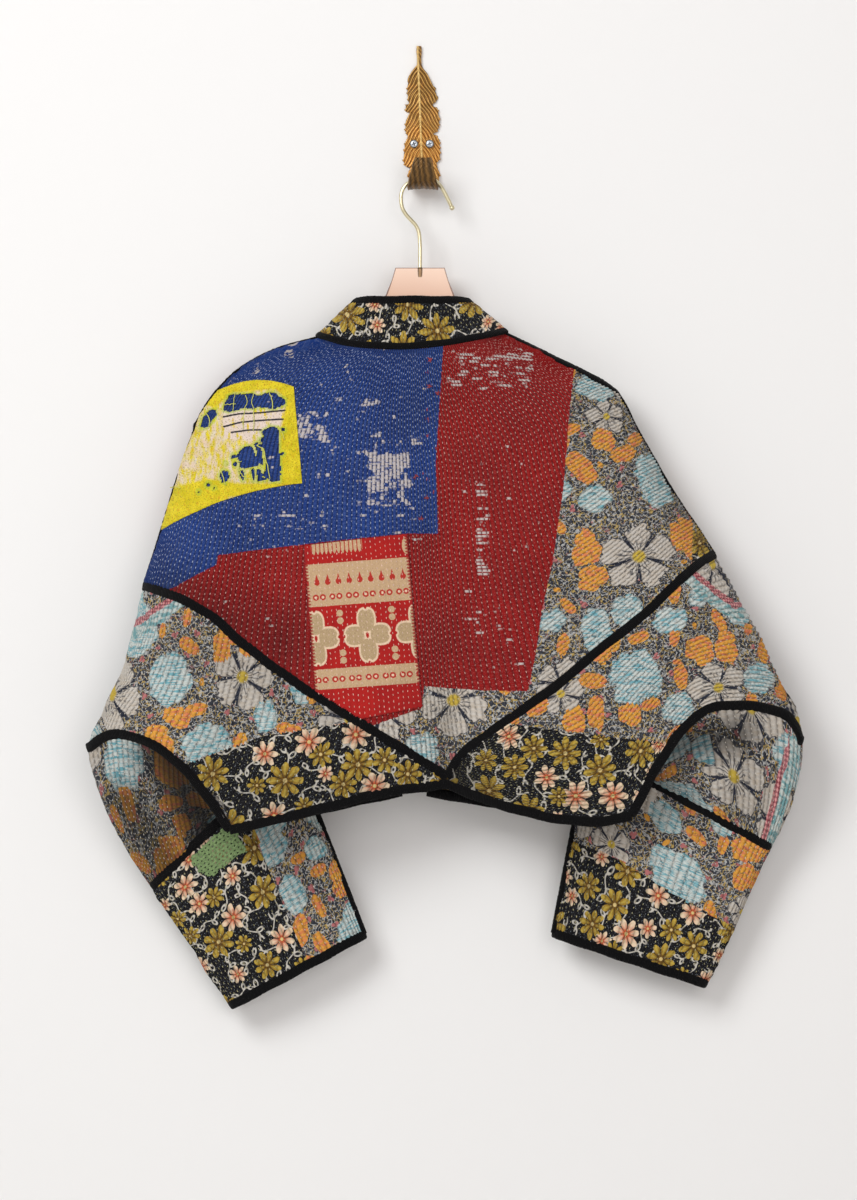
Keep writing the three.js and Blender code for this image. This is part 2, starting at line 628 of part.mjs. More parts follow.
// The collar stands on the neckline, leans in, and stays open at the centre front.
const neckLoop = (() => {
  const back = pathOf(NECK_BACK);
  const left = reversed(pathOf(NECK_FRONT.left));
  const right = pathOf(NECK_FRONT.right);
  return (u) => {
    if (u < 0.25) return onFront(left(u / 0.25));
    if (u > 0.75) return onFront(right((u - 0.75) / 0.25));
    return onBack(back((u - 0.25) / 0.5));
  };
})();
const collarSurface = {
  outward: -1,
  at: (u, v) => {
    const [x, y, z] = neckLoop(u);
    const foot = vec([x, y, z + COLLAR_LIFT]);
    const toWall = Math.max(0, y - NECK_Y);
    const top = vec([
      NECK_X + (x - NECK_X) * COLLAR_LEAN.x,
      NECK_Y + (y - NECK_Y) * COLLAR_LEAN.y,
      COLLAR_TOP - COLLAR_FRONT_DROP * toWall,
    ]);
    return top.lerp(foot, v).toArray();
  },
};

// The same surface drawn in from its taped edges by half a tape, which lies beside it.
// Insets are found along both directions at a few stations, and read between them.
function drawnIn(surface, edges) {
  const { at, loop = false } = surface;
  const reach = TAPE_WIDTH / 2 + GAP + TRIM;
  const stations = 40;
  const step = 0.004;
  const inset = (place) =>
    Array.from({ length: stations + 1 }, (_, i) => {
      const s = i / stations;
      const edge = vec(place(s, 0));
      const near = vec(place(Math.max(0, s - 0.01), 0));
      const tangent = vec(place(Math.min(1, s + 0.01), 0)).sub(near).normalize();
      let t = 0;
      while (t < MOST_INSET && vec(place(s, t)).sub(edge).cross(tangent).length() < reach) t += step;
      return t;
    });
  const none = Array(stations + 1).fill(0);
  const pick = (name, place) => (edges.includes(name) ? inset(place) : none);
  const top = pick("top", (s, t) => at(s, t));
  const bottom = pick("bottom", (s, t) => at(s, 1 - t));
  const start = pick("start", (s, t) => at(t, s));
  const end = pick("end", (s, t) => at(1 - t, s));
  const read = (table, s) => {
    const k = clamp(s, 0, 1) * stations;
    const i = Math.min(Math.floor(k), stations - 1);
    return mix(table[i], table[i + 1], k - i);
  };
  return {
    ...surface,
    at: (u, v) => {
      const u1 = loop ? u - Math.floor(u) : mix(read(start, v), 1 - read(end, v), u);
      return at(u1, mix(read(top, u1), 1 - read(bottom, u1), v));
    },
  };
}

// ---------------------------------------------------------------- seams and edges
// Stations of tape along a way across a surface; way(t) gives u and v.
const stationsOn = (surface, steps, way) =>
  Array.from({ length: steps + 1 }, (_, i) => {
    const [u, v] = way(i / steps);
    return { point: vec(surface.at(u, v)), face: facing(surface, u, v) };
  });

const tapes = [];
const addTape = (name, stations, options = {}) => tapes.push({ name, stations, options });

addTape("binding_hem_back", (() => {
  const { left, right } = sides;
  const along = joined(reversed(left.hemBack), right.hemBack);
  return Array.from({ length: HEM_STEPS + 1 }, (_, i) => {
    const [x, z] = along(i / HEM_STEPS);
    const h = 1;
    const slopeX = (backY(x + h, z) - backY(x - h, z)) / (2 * h);
    const slopeZ = (backY(x, z + h) - backY(x, z - h)) / (2 * h);
    return { point: vec(onBack([x, z])), face: vec([slopeX, -1, slopeZ]) };
  });
})());

for (const side of SIDES) {
  const { hand, front, lower, cuff, armhole, hemFront, armBack, armFront } = sides[side];
  // The armhole tape lies flat on the body, and turns under at the underarm.
  const underFrom = armBack(1)[2];
  const underTo = armFront(0)[2];
  const ringStations = Array.from({ length: ARMHOLE_STEPS }, (_, i) => {
    const { point, turn } = armhole(i / ARMHOLE_STEPS);
    const under = clamp((turn - underFrom) / (underTo - underFrom), 0, 1) * Math.PI;
    const round = (Math.min(turn, 360 - turn, 90) * Math.PI) / 180;
    const out = [hand * Math.cos(round), -Math.sin(round) * Math.cos(under), -Math.sin(under) - 0.3];
    return { point: vec(point), face: vec(out) };
  });
  addTape(`binding_armhole_${side}`, ringStations, { closed: true });
  const cuffLoop = (v) =>
    Array.from({ length: CUFF_STEPS }, (_, i) => ({
      point: vec(cuff.at(i / CUFF_STEPS, v)),
      face: facing(cuff, i / CUFF_STEPS, v),
    }));
  addTape(`binding_cuff_top_${side}`, cuffLoop(0), { closed: true });
  addTape(`binding_cuff_edge_${side}`, cuffLoop(1), { closed: true });
  addTape(`binding_cuff_inner_${side}`, stationsOn(cuff, 8, (t) => [0.5, t]));

  addTape(`binding_seam_${side}`, stationsOn(lower, SEAM_STEPS, (t) => [t, 0]));
  addTape(`binding_shoulder_${side}`, (() => {
    // From the neck the seam lies a little to the back, and further down to the front.
    const lean = SHOULDER_LEAN[side];
    return Array.from({ length: SHOULDER_STEPS + 1 }, (_, i) => {
      const v = i / SHOULDER_STEPS;
      const off = mix(lean.neck, lean.wing, v);
      const u = Math.abs(off);
      const surface = off > 0 ? backSurface : front;
      const edge = off > 0 ? (hand < 0 ? u : 1 - u) : 1 - 2 * u;
      return { point: vec(surface.at(edge, v)), face: facing(surface, edge, v) };
    });
  })());
  addTape(`binding_hem_front_${side}`, Array.from({ length: 13 }, (_, i) => {
    const [x, z] = hemFront(i / 12);
    return { point: vec(onFront([x, z])), face: vec([0, 1, 0]) };
  }));
  addTape(`binding_front_${side}`, [
    ...stationsOn(front, 14, (t) => [0, t]),
    ...stationsOn(lower, 2, (t) => [1, t]).slice(1),
  ]);
}
addTape("binding_collar_foot", stationsOn(collarSurface, COLLAR_STEPS, (t) => [t, 1]), { wide: FOOT_WIDTH });
addTape("binding_collar_top", stationsOn(collarSurface, COLLAR_STEPS, (t) => [t, 0]), { wide: RIM_WIDTH });

// ---------------------------------------------------------------- sewn-on patches
// A patch lies clear of the raised quilting. The print has four corners on the back.
const printSurface = {
  outward: -1,
  at: (u, v) => {
    const { topLeft, topRight, footLeft, footRight } = PRINT;
    return onBack(["x", "z"].map((k) =>
      mix(mix(topLeft[k], topRight[k], u), mix(footLeft[k], footRight[k], u), v)));
  },
};
// The frame starts at the fold over the arm and ends on a straight edge.
const frameSurface = {
  outward: -1,
  at: (u, v) => {
    const fold = outline.left.arm(mix(FRAME.armTop, FRAME.armFoot, v));
    const edge = ["x", "z"].map((k) => mix(FRAME.topRight[k], FRAME.footRight[k], v));
    const s = 1 - toFold(1 - mix(FRAME.start, 1, u));
    const lift = FRAME.bulge * 4 * s * (1 - s);
    return onBack([mix(fold[0], edge[0], s), mix(fold[1], edge[1], s) + lift]);
  },
};

// ---------------------------------------------------------------- hardware
function extruded(shape, depth) {
  const g = new THREE.ExtrudeGeometry(shape, { depth, bevelEnabled: false, curveSegments: 8 });
  g.rotateX(Math.PI / 2);
  return g;
}
const hangerY = (z) => CROWN_Y - HANGER_TILT * (CROWN_Z - z);
// Puts a piece made upright in the plane Y = 0 into the leaning plane of the hanger.
function lean(geometry) {
  const p = geometry.attributes.position;
  for (let i = 0; i < p.count; i++) p.setY(i, p.getY(i) + hangerY(p.getZ(i)));
  return geometry;
}

// A flat feather of brass, thick enough to carry the hook at its foot.
function featherShape() {
  const shape = new THREE.Shape();
  const rows = FEATHER;
  shape.moveTo(0, rows[0].z);
  for (const r of rows.slice(1)) shape.lineTo(r.half, r.z);
  for (const r of rows.slice(1).reverse()) shape.lineTo(-r.half, r.z);
  return shape;
}
function wallHook() {
  // Extruded upright: shape X stays X, shape Y becomes Z, and the depth runs to -Y.
  const plate = manifoldOf(extruded(featherShape(), PLATE_THICK));
  const rings = HOOK_PATH.map((r, i) => {
    const a = HOOK_PATH[Math.max(0, i - 1)];
    const b = HOOK_PATH[Math.min(HOOK_PATH.length - 1, i + 1)];
    const along = new THREE.Vector3(0, b.y - a.y, b.z - a.z).normalize();
    const out = new THREE.Vector3(0, along.z, -along.y).multiplyScalar(PLATE_THICK / 2);
    const centre = new THREE.Vector3(HOOK_X, r.y, r.z);
    return [[-1, -1], [1, -1], [1, 1], [-1, 1]].map(([sx, sy]) =>
      centre.clone().addScaledVector(out, sy).add(new THREE.Vector3(sx * r.half, 0, 0)),
    );
  });
  return plate.add(loft(rings));
}

function hangerWire() {
  const points = WIRE_PATH.map((r) => new THREE.Vector3(r.x, hangerY(r.z), r.z));
  const section = new THREE.Shape();
  section.absarc(0, 0, WIRE / 2, 0, 2 * Math.PI);
  const curve = new THREE.CatmullRomCurve3(points);
  const tube = new THREE.ExtrudeGeometry(section, {
    steps: 26, curveSegments: 3, bevelEnabled: false, extrudePath: curve,
  });
  const tip = points[points.length - 1];
  const ball = new THREE.SphereGeometry(WIRE_BALL / 2, 8, 6);
  ball.translate(tip.x, tip.y, tip.z);
  return manifoldOf(tube).add(manifoldOf(ball));
}

function hangerBody() {
  // The top edge follows the shoulders of the cloth, from the neck plate outwards.
  const shape = new THREE.Shape();
  const armTop = (side, t) => {
    const [x, z] = outline[side].arm(t);
    const [x2, z2] = outline[side].arm(t + 0.01);
    const length = Math.hypot(x2 - x, z2 - z);
    const inward = side === "left" ? 1 : -1;
    return [x - (inward * ARM_CLEAR * (z2 - z)) / length, z + (inward * ARM_CLEAR * (x2 - x)) / length];
  };
  const trace = (side) => Array.from({ length: 11 }, (_, i) => armTop(side, 0.06 + (ARM_SHARE * i) / 10));
  const right = [...HANGER_NECK.map((r) => [r.x, r.z]), ...trace("right")];
  const left = [...HANGER_NECK.map((r) => [-r.x, r.z]), ...trace("left")];
  const below = (rows) => rows.slice(HANGER_NECK.length).map(([x, z]) => [x * 0.985, z - ARM_HIGH]);
  const outlinePoints = [
    ...right, ...below(right).reverse(), [0, -ARM_HIGH + right[HANGER_NECK.length][1] + 14],
    ...below(left), ...left.slice().reverse(),
  ];
  shape.setFromPoints(outlinePoints.map(([x, z]) => new THREE.Vector2(x, z)));
  const g = extruded(shape, HANGER_THICK);
  g.translate(0, HANGER_THICK / 2, 0);
  return manifoldOf(lean(g));
}

// ---------------------------------------------------------------- cutting and naming
const colours = {
  cloth: { color: 0x2d4fa0, roughness: 0.9, metalness: 0 },
  clothDark: { color: 0x1b1c24, roughness: 0.9, metalness: 0 },
  clothGrey: { color: 0x6d7182, roughness: 0.9, metalness: 0 },
  red: { color: 0xb02030, roughness: 0.9, metalness: 0 },
  yellow: { color: 0xcdc93a, roughness: 0.9, metalness: 0 },
  green: { color: 0x8aa070, roughness: 0.95, metalness: 0 },
  tape: { color: 0x121214, roughness: 0.85, metalness: 0 },
  brass: { color: 0x8a7442, roughness: 0.45, metalness: 1 },
  wire: { color: 0xc9a868, roughness: 0.25, metalness: 1 },
  acrylic: { color: 0xf0cdb8, roughness: 0.1, metalness: 0 },
};

// The largest body of a solid, without the slivers that a cut may leave.
function largest(solid) {
  return solid.decompose().reduce((a, b) => (b.volume() > a.volume() ? b : a));
}
const pieces = [];
const addPiece = (name, solid, finish) => pieces.push({ name, solid: largest(solid), finish });
const addCloth = (name, solid, finish) => addPiece(name, solid.simplify(SIMPLIFY), finish);
const without = (solid, cutters) => cutters.reduce((rest, cut) => rest.subtract(cut), solid);

// Each tape is cut by the tapes laid over it, which come later in the list.
const bodies = tapes.map((t) => ({
  name: t.name,
  solid: tape(t.stations, t.options),
  cutter: tape(t.stations, { ...t.options, grow: GAP }),
  through: tape(t.stations, { ...t.options, grow: GAP, thick: THROUGH }),
}));
bodies.forEach((b, i) => {
  const over = bodies.slice(0, i).map((o) => o.cutter);
  addPiece(b.name, without(b.solid, over), "tape");
});
const allTapes = bodies.flatMap((b) => [b.through, b.cutter]);
const allEdges = ["top", "bottom", "start", "end"];

// A quilted panel between its tapes.
const panel = (surface, edges, grid, options) => quiltWall(drawnIn(surface, edges), grid, options);
addCloth("back", without(panel(backSurface, allEdges, GRID.back), allTapes), "cloth");
for (const side of SIDES) {
  const s = sides[side];
  addCloth(`front_${side}`, without(panel(s.front, allEdges, GRID.front), allTapes), "cloth");
  addCloth(`side_${side}`, without(panel(s.lower, allEdges, GRID.lower), allTapes), "clothGrey");
  addCloth(`cuff_${side}`, without(panel(s.cuff, ["top", "bottom"], GRID.cuff), allTapes), "clothDark");
  const around = [
    quiltWall(s.lower, GRID.lower, { grow: GAP }),
    quiltWall(s.cuff, GRID.cuff, { grow: GAP }),
  ];
  const sleeve = panel(s.sleeve, ["top", "bottom"], GRID.sleeve);
  addCloth(`sleeve_${side}`, without(sleeve, [...allTapes, ...around]), "clothGrey");
}
addCloth("collar", without(panel(collarSurface, ["top", "bottom"], GRID.collar), allTapes), "clothDark");

const backPanel = panel(backSurface, allEdges, GRID.back);
const backGrown = panel(backSurface, allEdges, GRID.back, { grow: GAP });
const overSeams = tapes
  .filter((t) => /seam|shoulder/.test(t.name))
  .map((t) => tape(t.stations, { grow: GAP, thick: PATCH_CUT }));
const patchWall = (surface, across, along) =>
  quiltWall(surface, { across, along }, { thick: PATCH_THICK, off: PATCH_OFF, rise: PATCH_RISE });
const underPatches = [...overSeams, backPanel, backGrown];
addCloth("patch_print", without(patchWall(printSurface, 14, 8), underPatches), "red");
// A portion of a surface, between two shares of its width and two of its height.
const portion = ({ at, outward }, { from, to, top, foot }) => ({
  outward,
  at: (u, v) => at(mix(from, to, u), mix(top, foot, v)),
});
const rips = RIPS.map((rip) =>
  quiltWall(portion(frameSurface, rip), { across: 4, along: 2 }, {
    thick: PATCH_CUT, off: PATCH_OFF + RIP_ABOVE, rise: 0,
  }),
);
addCloth("patch_frame", without(patchWall(frameSurface, 10, 5), [...underPatches, ...rips]), "yellow");
addCloth("patch_knit", without(patchWall(portion(sides.left.cuff, KNIT), 8, 2), allTapes), "green");

addPiece("wall_hook", wallHook(), "brass");
for (const hand of [-1, 1]) {
  const head = new THREE.CylinderGeometry(SCREW_HEAD / 2, SCREW_HEAD / 2 - 1, SCREW_HIGH, 20);
  head.translate(hand * SCREW_X, -PLATE_THICK - GAP - SCREW_HIGH / 2, 0);
  addPiece(`screw_${hand < 0 ? "left" : "right"}`, manifoldOf(head), "brass");
}
addPiece("hanger", hangerBody(), "acrylic");
addPiece("hanger_hook", hangerWire(), "wire");
const ferrule = new THREE.CylinderGeometry(FERRULE.top / 2, FERRULE.foot / 2, FERRULE.high, 20);
ferrule.rotateX(Math.PI / 2);
const ferruleZ = HANGER_NECK[0].z + GAP + FERRULE.high / 2;
ferrule.translate(0, hangerY(ferruleZ), ferruleZ);
addPiece("hanger_ferrule", manifoldOf(ferrule), "wire");

const group = new THREE.Group();
for (const { name, solid, finish } of pieces) {
  const mesh = new THREE.Mesh(geometryFrom(solid), new THREE.MeshStandardMaterial(colours[finish]));
  mesh.name = name;
  group.add(mesh);
}
export default group;
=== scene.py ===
import math

import bmesh
import bpy
import numpy as np
from mathutils import Matrix, Vector
from mathutils.bvhtree import BVHTree


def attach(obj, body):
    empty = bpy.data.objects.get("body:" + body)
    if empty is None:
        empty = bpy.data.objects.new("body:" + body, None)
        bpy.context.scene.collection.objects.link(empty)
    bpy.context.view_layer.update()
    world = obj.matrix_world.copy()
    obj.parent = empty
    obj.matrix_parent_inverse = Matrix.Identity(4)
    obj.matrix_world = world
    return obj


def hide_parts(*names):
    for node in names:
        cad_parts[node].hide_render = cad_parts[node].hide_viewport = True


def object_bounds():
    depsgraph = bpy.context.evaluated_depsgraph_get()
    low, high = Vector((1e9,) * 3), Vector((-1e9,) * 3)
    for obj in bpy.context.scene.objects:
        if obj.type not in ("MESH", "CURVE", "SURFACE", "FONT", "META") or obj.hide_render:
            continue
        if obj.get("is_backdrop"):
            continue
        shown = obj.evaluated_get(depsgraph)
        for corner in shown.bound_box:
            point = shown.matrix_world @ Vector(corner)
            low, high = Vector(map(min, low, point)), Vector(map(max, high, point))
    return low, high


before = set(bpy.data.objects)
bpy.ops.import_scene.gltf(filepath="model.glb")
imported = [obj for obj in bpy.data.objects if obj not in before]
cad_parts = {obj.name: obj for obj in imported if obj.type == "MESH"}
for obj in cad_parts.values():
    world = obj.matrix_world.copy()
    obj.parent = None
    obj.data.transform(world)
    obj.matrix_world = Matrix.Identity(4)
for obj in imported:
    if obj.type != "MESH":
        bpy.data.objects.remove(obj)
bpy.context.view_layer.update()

# ------------------------------------------------------------------ view and light
# The jacket hangs on a white wall and is seen square on, from far enough back that the
# wall hook, the cloth and the wrists all keep one scale. A big soft light stands high on
# the left, and a weaker one fills from the right.
MM = 0.001
SEEN_HIGH = 1.260
SEEN_MIDDLE = (0.0089, -0.4788)
CAMERA_AWAY = 8.0
SENSOR = 36.0
WALL_GAP = 0.0006

eye = bpy.data.objects.new("camera", bpy.data.cameras.new("camera"))
bpy.context.scene.collection.objects.link(eye)
bpy.context.scene.camera = eye
eye.data.sensor_width = SENSOR
eye.data.lens = SENSOR * CAMERA_AWAY / SEEN_HIGH
eye.data.clip_end = 40.0
eye.location = (SEEN_MIDDLE[0], -CAMERA_AWAY - 0.06, SEEN_MIDDLE[1])
eye.rotation_euler = (math.pi / 2, 0, 0)
bpy.context.scene.view_settings.view_transform = "Standard"


def soft_light(name, place, size, watts, colour):
    """A square studio light that faces the jacket."""
    lamp = bpy.data.objects.new(name, bpy.data.lights.new(name, "AREA"))
    lamp.data.size = size
    lamp.data.energy = watts
    lamp.data.color = colour
    lamp.location = place
    toward = Vector((0, -0.05, -0.45)) - Vector(place)
    lamp.rotation_mode = "QUATERNION"
    lamp.rotation_quaternion = toward.to_track_quat("-Z", "Y")
    bpy.context.scene.collection.objects.link(lamp)


soft_light("key_light", (-1.9, -3.4, 1.6), 2.0, 110, (0.985, 1.0, 1.0))
soft_light("fill_light", (1.2, -5.0, 0.2), 2.6, 58, (1.0, 0.955, 0.94))

world = bpy.data.worlds.new("studio")
bpy.context.scene.world = world
world.use_nodes = True
world.node_tree.nodes["Background"].inputs[0].default_value = (1.0, 0.965, 0.955, 1)
world.node_tree.nodes["Background"].inputs[1].default_value = 0.38


def plaster(name, colour, see_through_back):
    """Plain painted plaster for the wall and the floor of the studio."""
    made = bpy.data.materials.new(name)
    made.use_nodes = True
    nodes, links = made.node_tree.nodes, made.node_tree.links
    paint = nodes["Principled BSDF"]
    paint.inputs["Base Color"].default_value = (*colour, 1)
    paint.inputs["Roughness"].default_value = 0.9
    paint.inputs["Specular IOR Level"].default_value = 0.1
    if see_through_back:
        side = nodes.new("ShaderNodeNewGeometry")
        clear = nodes.new("ShaderNodeBsdfTransparent")
        pick = nodes.new("ShaderNodeMixShader")
        links.new(side.outputs["Backfacing"], pick.inputs[0])
        links.new(paint.outputs[0], pick.inputs[1])
        links.new(clear.outputs[0], pick.inputs[2])
        links.new(pick.outputs[0], nodes["Material Output"].inputs[0])
    return made


def studio_plane(name, corners, material):
    """One flat face of the studio."""
    mesh = bpy.data.meshes.new(name)
    mesh.from_pydata(corners, [], [(0, 1, 2, 3)])
    mesh.materials.append(material)
    made = bpy.data.objects.new(name, mesh)
    bpy.context.scene.collection.objects.link(made)
    made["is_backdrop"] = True


FLOOR_Z = -1.45
WALL_HALF, WALL_TOP, FLOOR_DEEP = 3.5, 2.6, 4.0
wall_paint = plaster("wall_paint", (0.83, 0.825, 0.82), True)
floor_paint = plaster("floor_paint", (0.74, 0.73, 0.715), False)
studio_plane("studio_wall", [
    (-WALL_HALF, WALL_GAP, FLOOR_Z), (WALL_HALF, WALL_GAP, FLOOR_Z),
    (WALL_HALF, WALL_GAP, WALL_TOP), (-WALL_HALF, WALL_GAP, WALL_TOP),
], wall_paint)
studio_plane("studio_floor", [
    (-WALL_HALF, -FLOOR_DEEP, FLOOR_Z), (WALL_HALF, -FLOOR_DEEP, FLOOR_Z),
    (WALL_HALF, 0.3, FLOOR_Z), (-WALL_HALF, 0.3, FLOOR_Z),
], floor_paint)

# ------------------------------------------------------------------ the cut of the jacket
# The jacket is cut from one quilted cloth. Its pattern is a set of curves in millimetres,
# seen from behind: the outline of arm, elbow and sleeve, the neckline, the slanting seams,
# the hem and the armholes. Each row is one point (x, z) that the edge passes through.
OUTLINE = {
    "left": [
        (-108, -203), (-148, -214), (-174, -226), (-195, -240), (-213, -259), (-228, -280),
        (-240, -310), (-253, -346), (-266, -388), (-279, -430), (-290, -464), (-300, -509),
        (-312, -553), (-329, -593), (-342, -614), (-349, -635), (-343, -661), (-332, -693),
    ],
    "right": [
        (91, -199), (114, -210), (141, -223), (167, -235), (193, -249), (211, -266),
        (225, -294), (243, -326), (264, -362), (285, -394), (309, -430), (332, -475),
        (351, -509), (369, -546), (383, -578), (395, -601), (401, -628), (399, -648),
        (391, -677),
    ],
}
WING_ROW = 10
ELBOW_ROW = {"left": 15, "right": 16}
NECK_BACK = [(-108, -203), (-80, -212), (-43, -216), (-6, -216), (30, -212), (62, -206),
             (91, -199)]
NECK_FRONT = {
    "left": [(-108, -203), (-92, -218), (-60, -234), (-17, -243)],
    "right": [(91, -199), (76, -216), (44, -233), (1, -243)],
}
SLANT_BACK = {
    "left": [
        (-290, -464), (-269, -470), (-243, -481), (-216, -497), (-190, -520), (-158, -545),
        (-127, -567), (-85, -593), (-43, -619), (-1, -645), (28, -664),
    ],
    "right": [
        (309, -430), (282, -448), (256, -472), (230, -497), (188, -530), (146, -565),
        (104, -595), (72, -618), (52, -632), (39, -646), (28, -664),
    ],
}
SLANT_FRONT = {
    "left": [(-290, -464), (-262, -473), (-216, -497), (-158, -540), (-95, -585), (-50, -618),
             (-20, -646)],
    "right": [(309, -430), (280, -450), (230, -492), (165, -543), (95, -590), (42, -622),
              (8, -648)],
}
HEM_BACK = {
    "left": [(-199, -719), (-127, -702), (-43, -681), (28, -671)],
    "right": [(221, -704), (188, -710), (146, -707), (104, -698), (62, -685), (28, -671)],
}
HEM_FRONT = {
    "left": [(-190, -716), (-127, -703), (-60, -688), (-20, -680)],
    "right": [(213, -701), (150, -700), (70, -690), (8, -680)],
}
# Armhole seam down the back and up the front, each with the degrees that it faces.
ARMHOLE_BACK = {
    "left": [
        (-349, -635, 0), (-339, -626, 9), (-323, -620, 19), (-305, -621, 31), (-284, -628, 44),
        (-263, -641, 58), (-244, -658, 74), (-226, -679, 92), (-209, -703, 114), (-199, -719, 130),
    ],
    "right": [
        (401, -628, 0), (397, -615, 8), (385, -600, 18), (360, -592, 31), (330, -589, 46),
        (303, -592, 60), (282, -606, 74), (263, -629, 90), (244, -659, 110), (228, -690, 126),
        (221, -704, 136),
    ],
}
ARMHOLE_FRONT = {
    "left": [
        (-190, -716, 147), (-173, -690, 160), (-162, -656, 176), (-168, -620, 194),
        (-192, -598, 214), (-228, -590, 240), (-268, -592, 270), (-308, -605, 306),
        (-336, -624, 338), (-349, -635, 360),
    ],
    "right": [
        (213, -701, 150), (198, -676, 162), (190, -645, 177), (197, -612, 194),
        (222, -588, 214), (260, -575, 240), (305, -573, 272), (350, -582, 306),
        (387, -605, 338), (401, -628, 360),
    ],
}
# Flattened rings of the sleeve at the seam above the cuff and at the wrist.
SLEEVE_RING = {
    "left": {
        "seam": {"at": (-208, -43, -708), "out": (-0.718, -0.696), "reach": 104, "deep": 21},
        "wrist": {"at": (-129, -36, -868), "out": (-0.882, -0.471), "reach": 81, "deep": 17},
    },
    "right": {
        "seam": {"at": (273, -43, -686), "out": (0.877, -0.481), "reach": 110, "deep": 21},
        "wrist": {"at": (221, -36, -856), "out": (0.949, -0.315), "reach": 86, "deep": 17},
    },
}
# Depth of the hung cloth by height: z, middle plane, and how far back and front stand off.
DEPTH = [
    (-740, -86, 19, 7), (-680, -83, 23, 9), (-600, -74, 35, 16), (-500, -63, 45, 24),
    (-400, -54, 47, 29), (-300, -48, 42, 28), (-200, -46, 34, 28),
]
# Broad folds, each a ridge or, below zero, a trough: x0, z0, x1, z1, half width, rise.
BROAD_FOLDS = {
    "back": [
        (27, -700, 27, -600, 42, -15), (-95, -712, -80, -640, 60, 8),
        (120, -716, 110, -640, 60, 9), (-215, -270, -150, -470, 34, -6),
        (195, -270, 150, -450, 34, -6), (-60, -300, -40, -560, 46, 5),
        (240, -400, 300, -560, 36, 6), (-235, -440, -290, -600, 32, 6),
        (300, -500, 240, -640, 24, -5),
    ],
    "front": [
        (-90, -290, -70, -560, 40, 6), (80, -290, 60, -560, 40, 6),
        (-190, -280, -150, -480, 30, -7), (185, -280, 150, -470, 30, -7),
        (-20, -660, -60, -480, 40, 8), (10, -660, 50, -480, 40, 8),
    ],
}
ROUND = 85  # how far in from the outline the cloth keeps swelling
FOLD_START = 0.03
SLEEVE_BULGE = 9
SIDES = ("left", "right")


def curve(rows):
    """A smooth curve through rows of numbers, read by its share of the length."""
    points = np.array(rows, float)
    count = len(points)
    at = np.concatenate([[0], np.cumsum(np.hypot(*np.diff(points[:, :2], axis=0).T))])
    ahead = np.minimum(np.arange(count) + 1, count - 1)
    behind = np.maximum(np.arange(count) - 1, 0)
    slope = (points[ahead] - points[behind]) / (at[ahead] - at[behind])[:, None]

    def read(share):
        s = np.clip(share, 0, 1) * at[-1]
        i = np.clip(np.searchsorted(at, s) - 1, 0, count - 2)
        h = (at[i + 1] - at[i])[..., None]
        t = (s - at[i])[..., None] / h
        return (
            (2 * t**3 - 3 * t**2 + 1) * points[i] + (t**3 - 2 * t**2 + t) * h * slope[i]
            + (3 * t**2 - 2 * t**3) * points[i + 1] + (t**3 - t**2) * h * slope[i + 1]
        )

    return read


def backwards(edge):
    """The same edge, walked from its far end."""
    return lambda share: edge(1 - np.asarray(share, float))


def one_after_another(*edges):
    """Several curves read as one, each by its share of the whole length."""
    lengths = []
    for edge in edges:
        points = edge(np.linspace(0, 1, 21))
        lengths.append(np.hypot(*np.diff(points[:, :2], axis=0).T).sum())
    ends = np.cumsum(lengths)

    def read(share):
        s = np.asarray(share, float) * ends[-1]
        out = edges[-1](np.clip((s - ends[-1] + lengths[-1]) / lengths[-1], 0, 1))
        for k in range(len(edges) - 2, -1, -1):
            own = edges[k](np.clip((s - ends[k] + lengths[k]) / lengths[k], 0, 1))
            out = np.where((s <= ends[k])[..., None], own, out)
        return out

    return read


def to_segment(x, z, x0, z0, x1, z1):
    """Distance of points from a straight stretch."""
    dx, dz = x1 - x0, z1 - z0
    t = np.clip(((x - x0) * dx + (z - z0) * dz) / (dx * dx + dz * dz), 0, 1)
    return np.hypot(x - x0 - t * dx, z - z0 - t * dz)


arm, elbow, outline_edges = {}, {}, []
for side in SIDES:
    rows = OUTLINE[side]
    arm[side] = curve(rows[: WING_ROW + 1])
    elbow[side] = curve(rows[WING_ROW : ELBOW_ROW[side] + 1])
    for stretch in (arm[side], elbow[side], curve(rows[ELBOW_ROW[side] :])):
        steps = stretch(np.linspace(0, 1, 33))
        outline_edges += [(*a, *b) for a, b in zip(steps[:-1], steps[1:])]


def from_outline(x, z):
    """Distance of points from the outline, and the way out to it, softened at corners."""
    near = np.full(np.shape(x), np.inf)
    out_x, out_z = np.zeros(np.shape(x)), np.zeros(np.shape(x))
    for x0, z0, x1, z1 in outline_edges:
        away = to_segment(x, z, x0, z0, x1, z1)
        near = np.minimum(near, away)
        pull = np.exp(-away / 14)
        out_x += pull * ((x0 + x1) / 2 - x)
        out_z += pull * ((z0 + z1) / 2 - z)
    size = np.maximum(np.hypot(out_x, out_z), 1e-9)
    return near, out_x / size, out_z / size


def by_height(z, column):
    """Depth of the hung cloth at a height: one column of the table."""
    table = np.array(DEPTH, float)
    return np.interp(z, table[:, 0], table[:, column])


def folds_at(name, x, z):
    """How far the broad folds push the back or the front out."""
    total = 0
    for x0, z0, x1, z1, wide, rise in BROAD_FOLDS[name]:
        total = total + rise * np.exp(-((to_segment(x, z, x0, z0, x1, z1) / wide) ** 2))
    return total


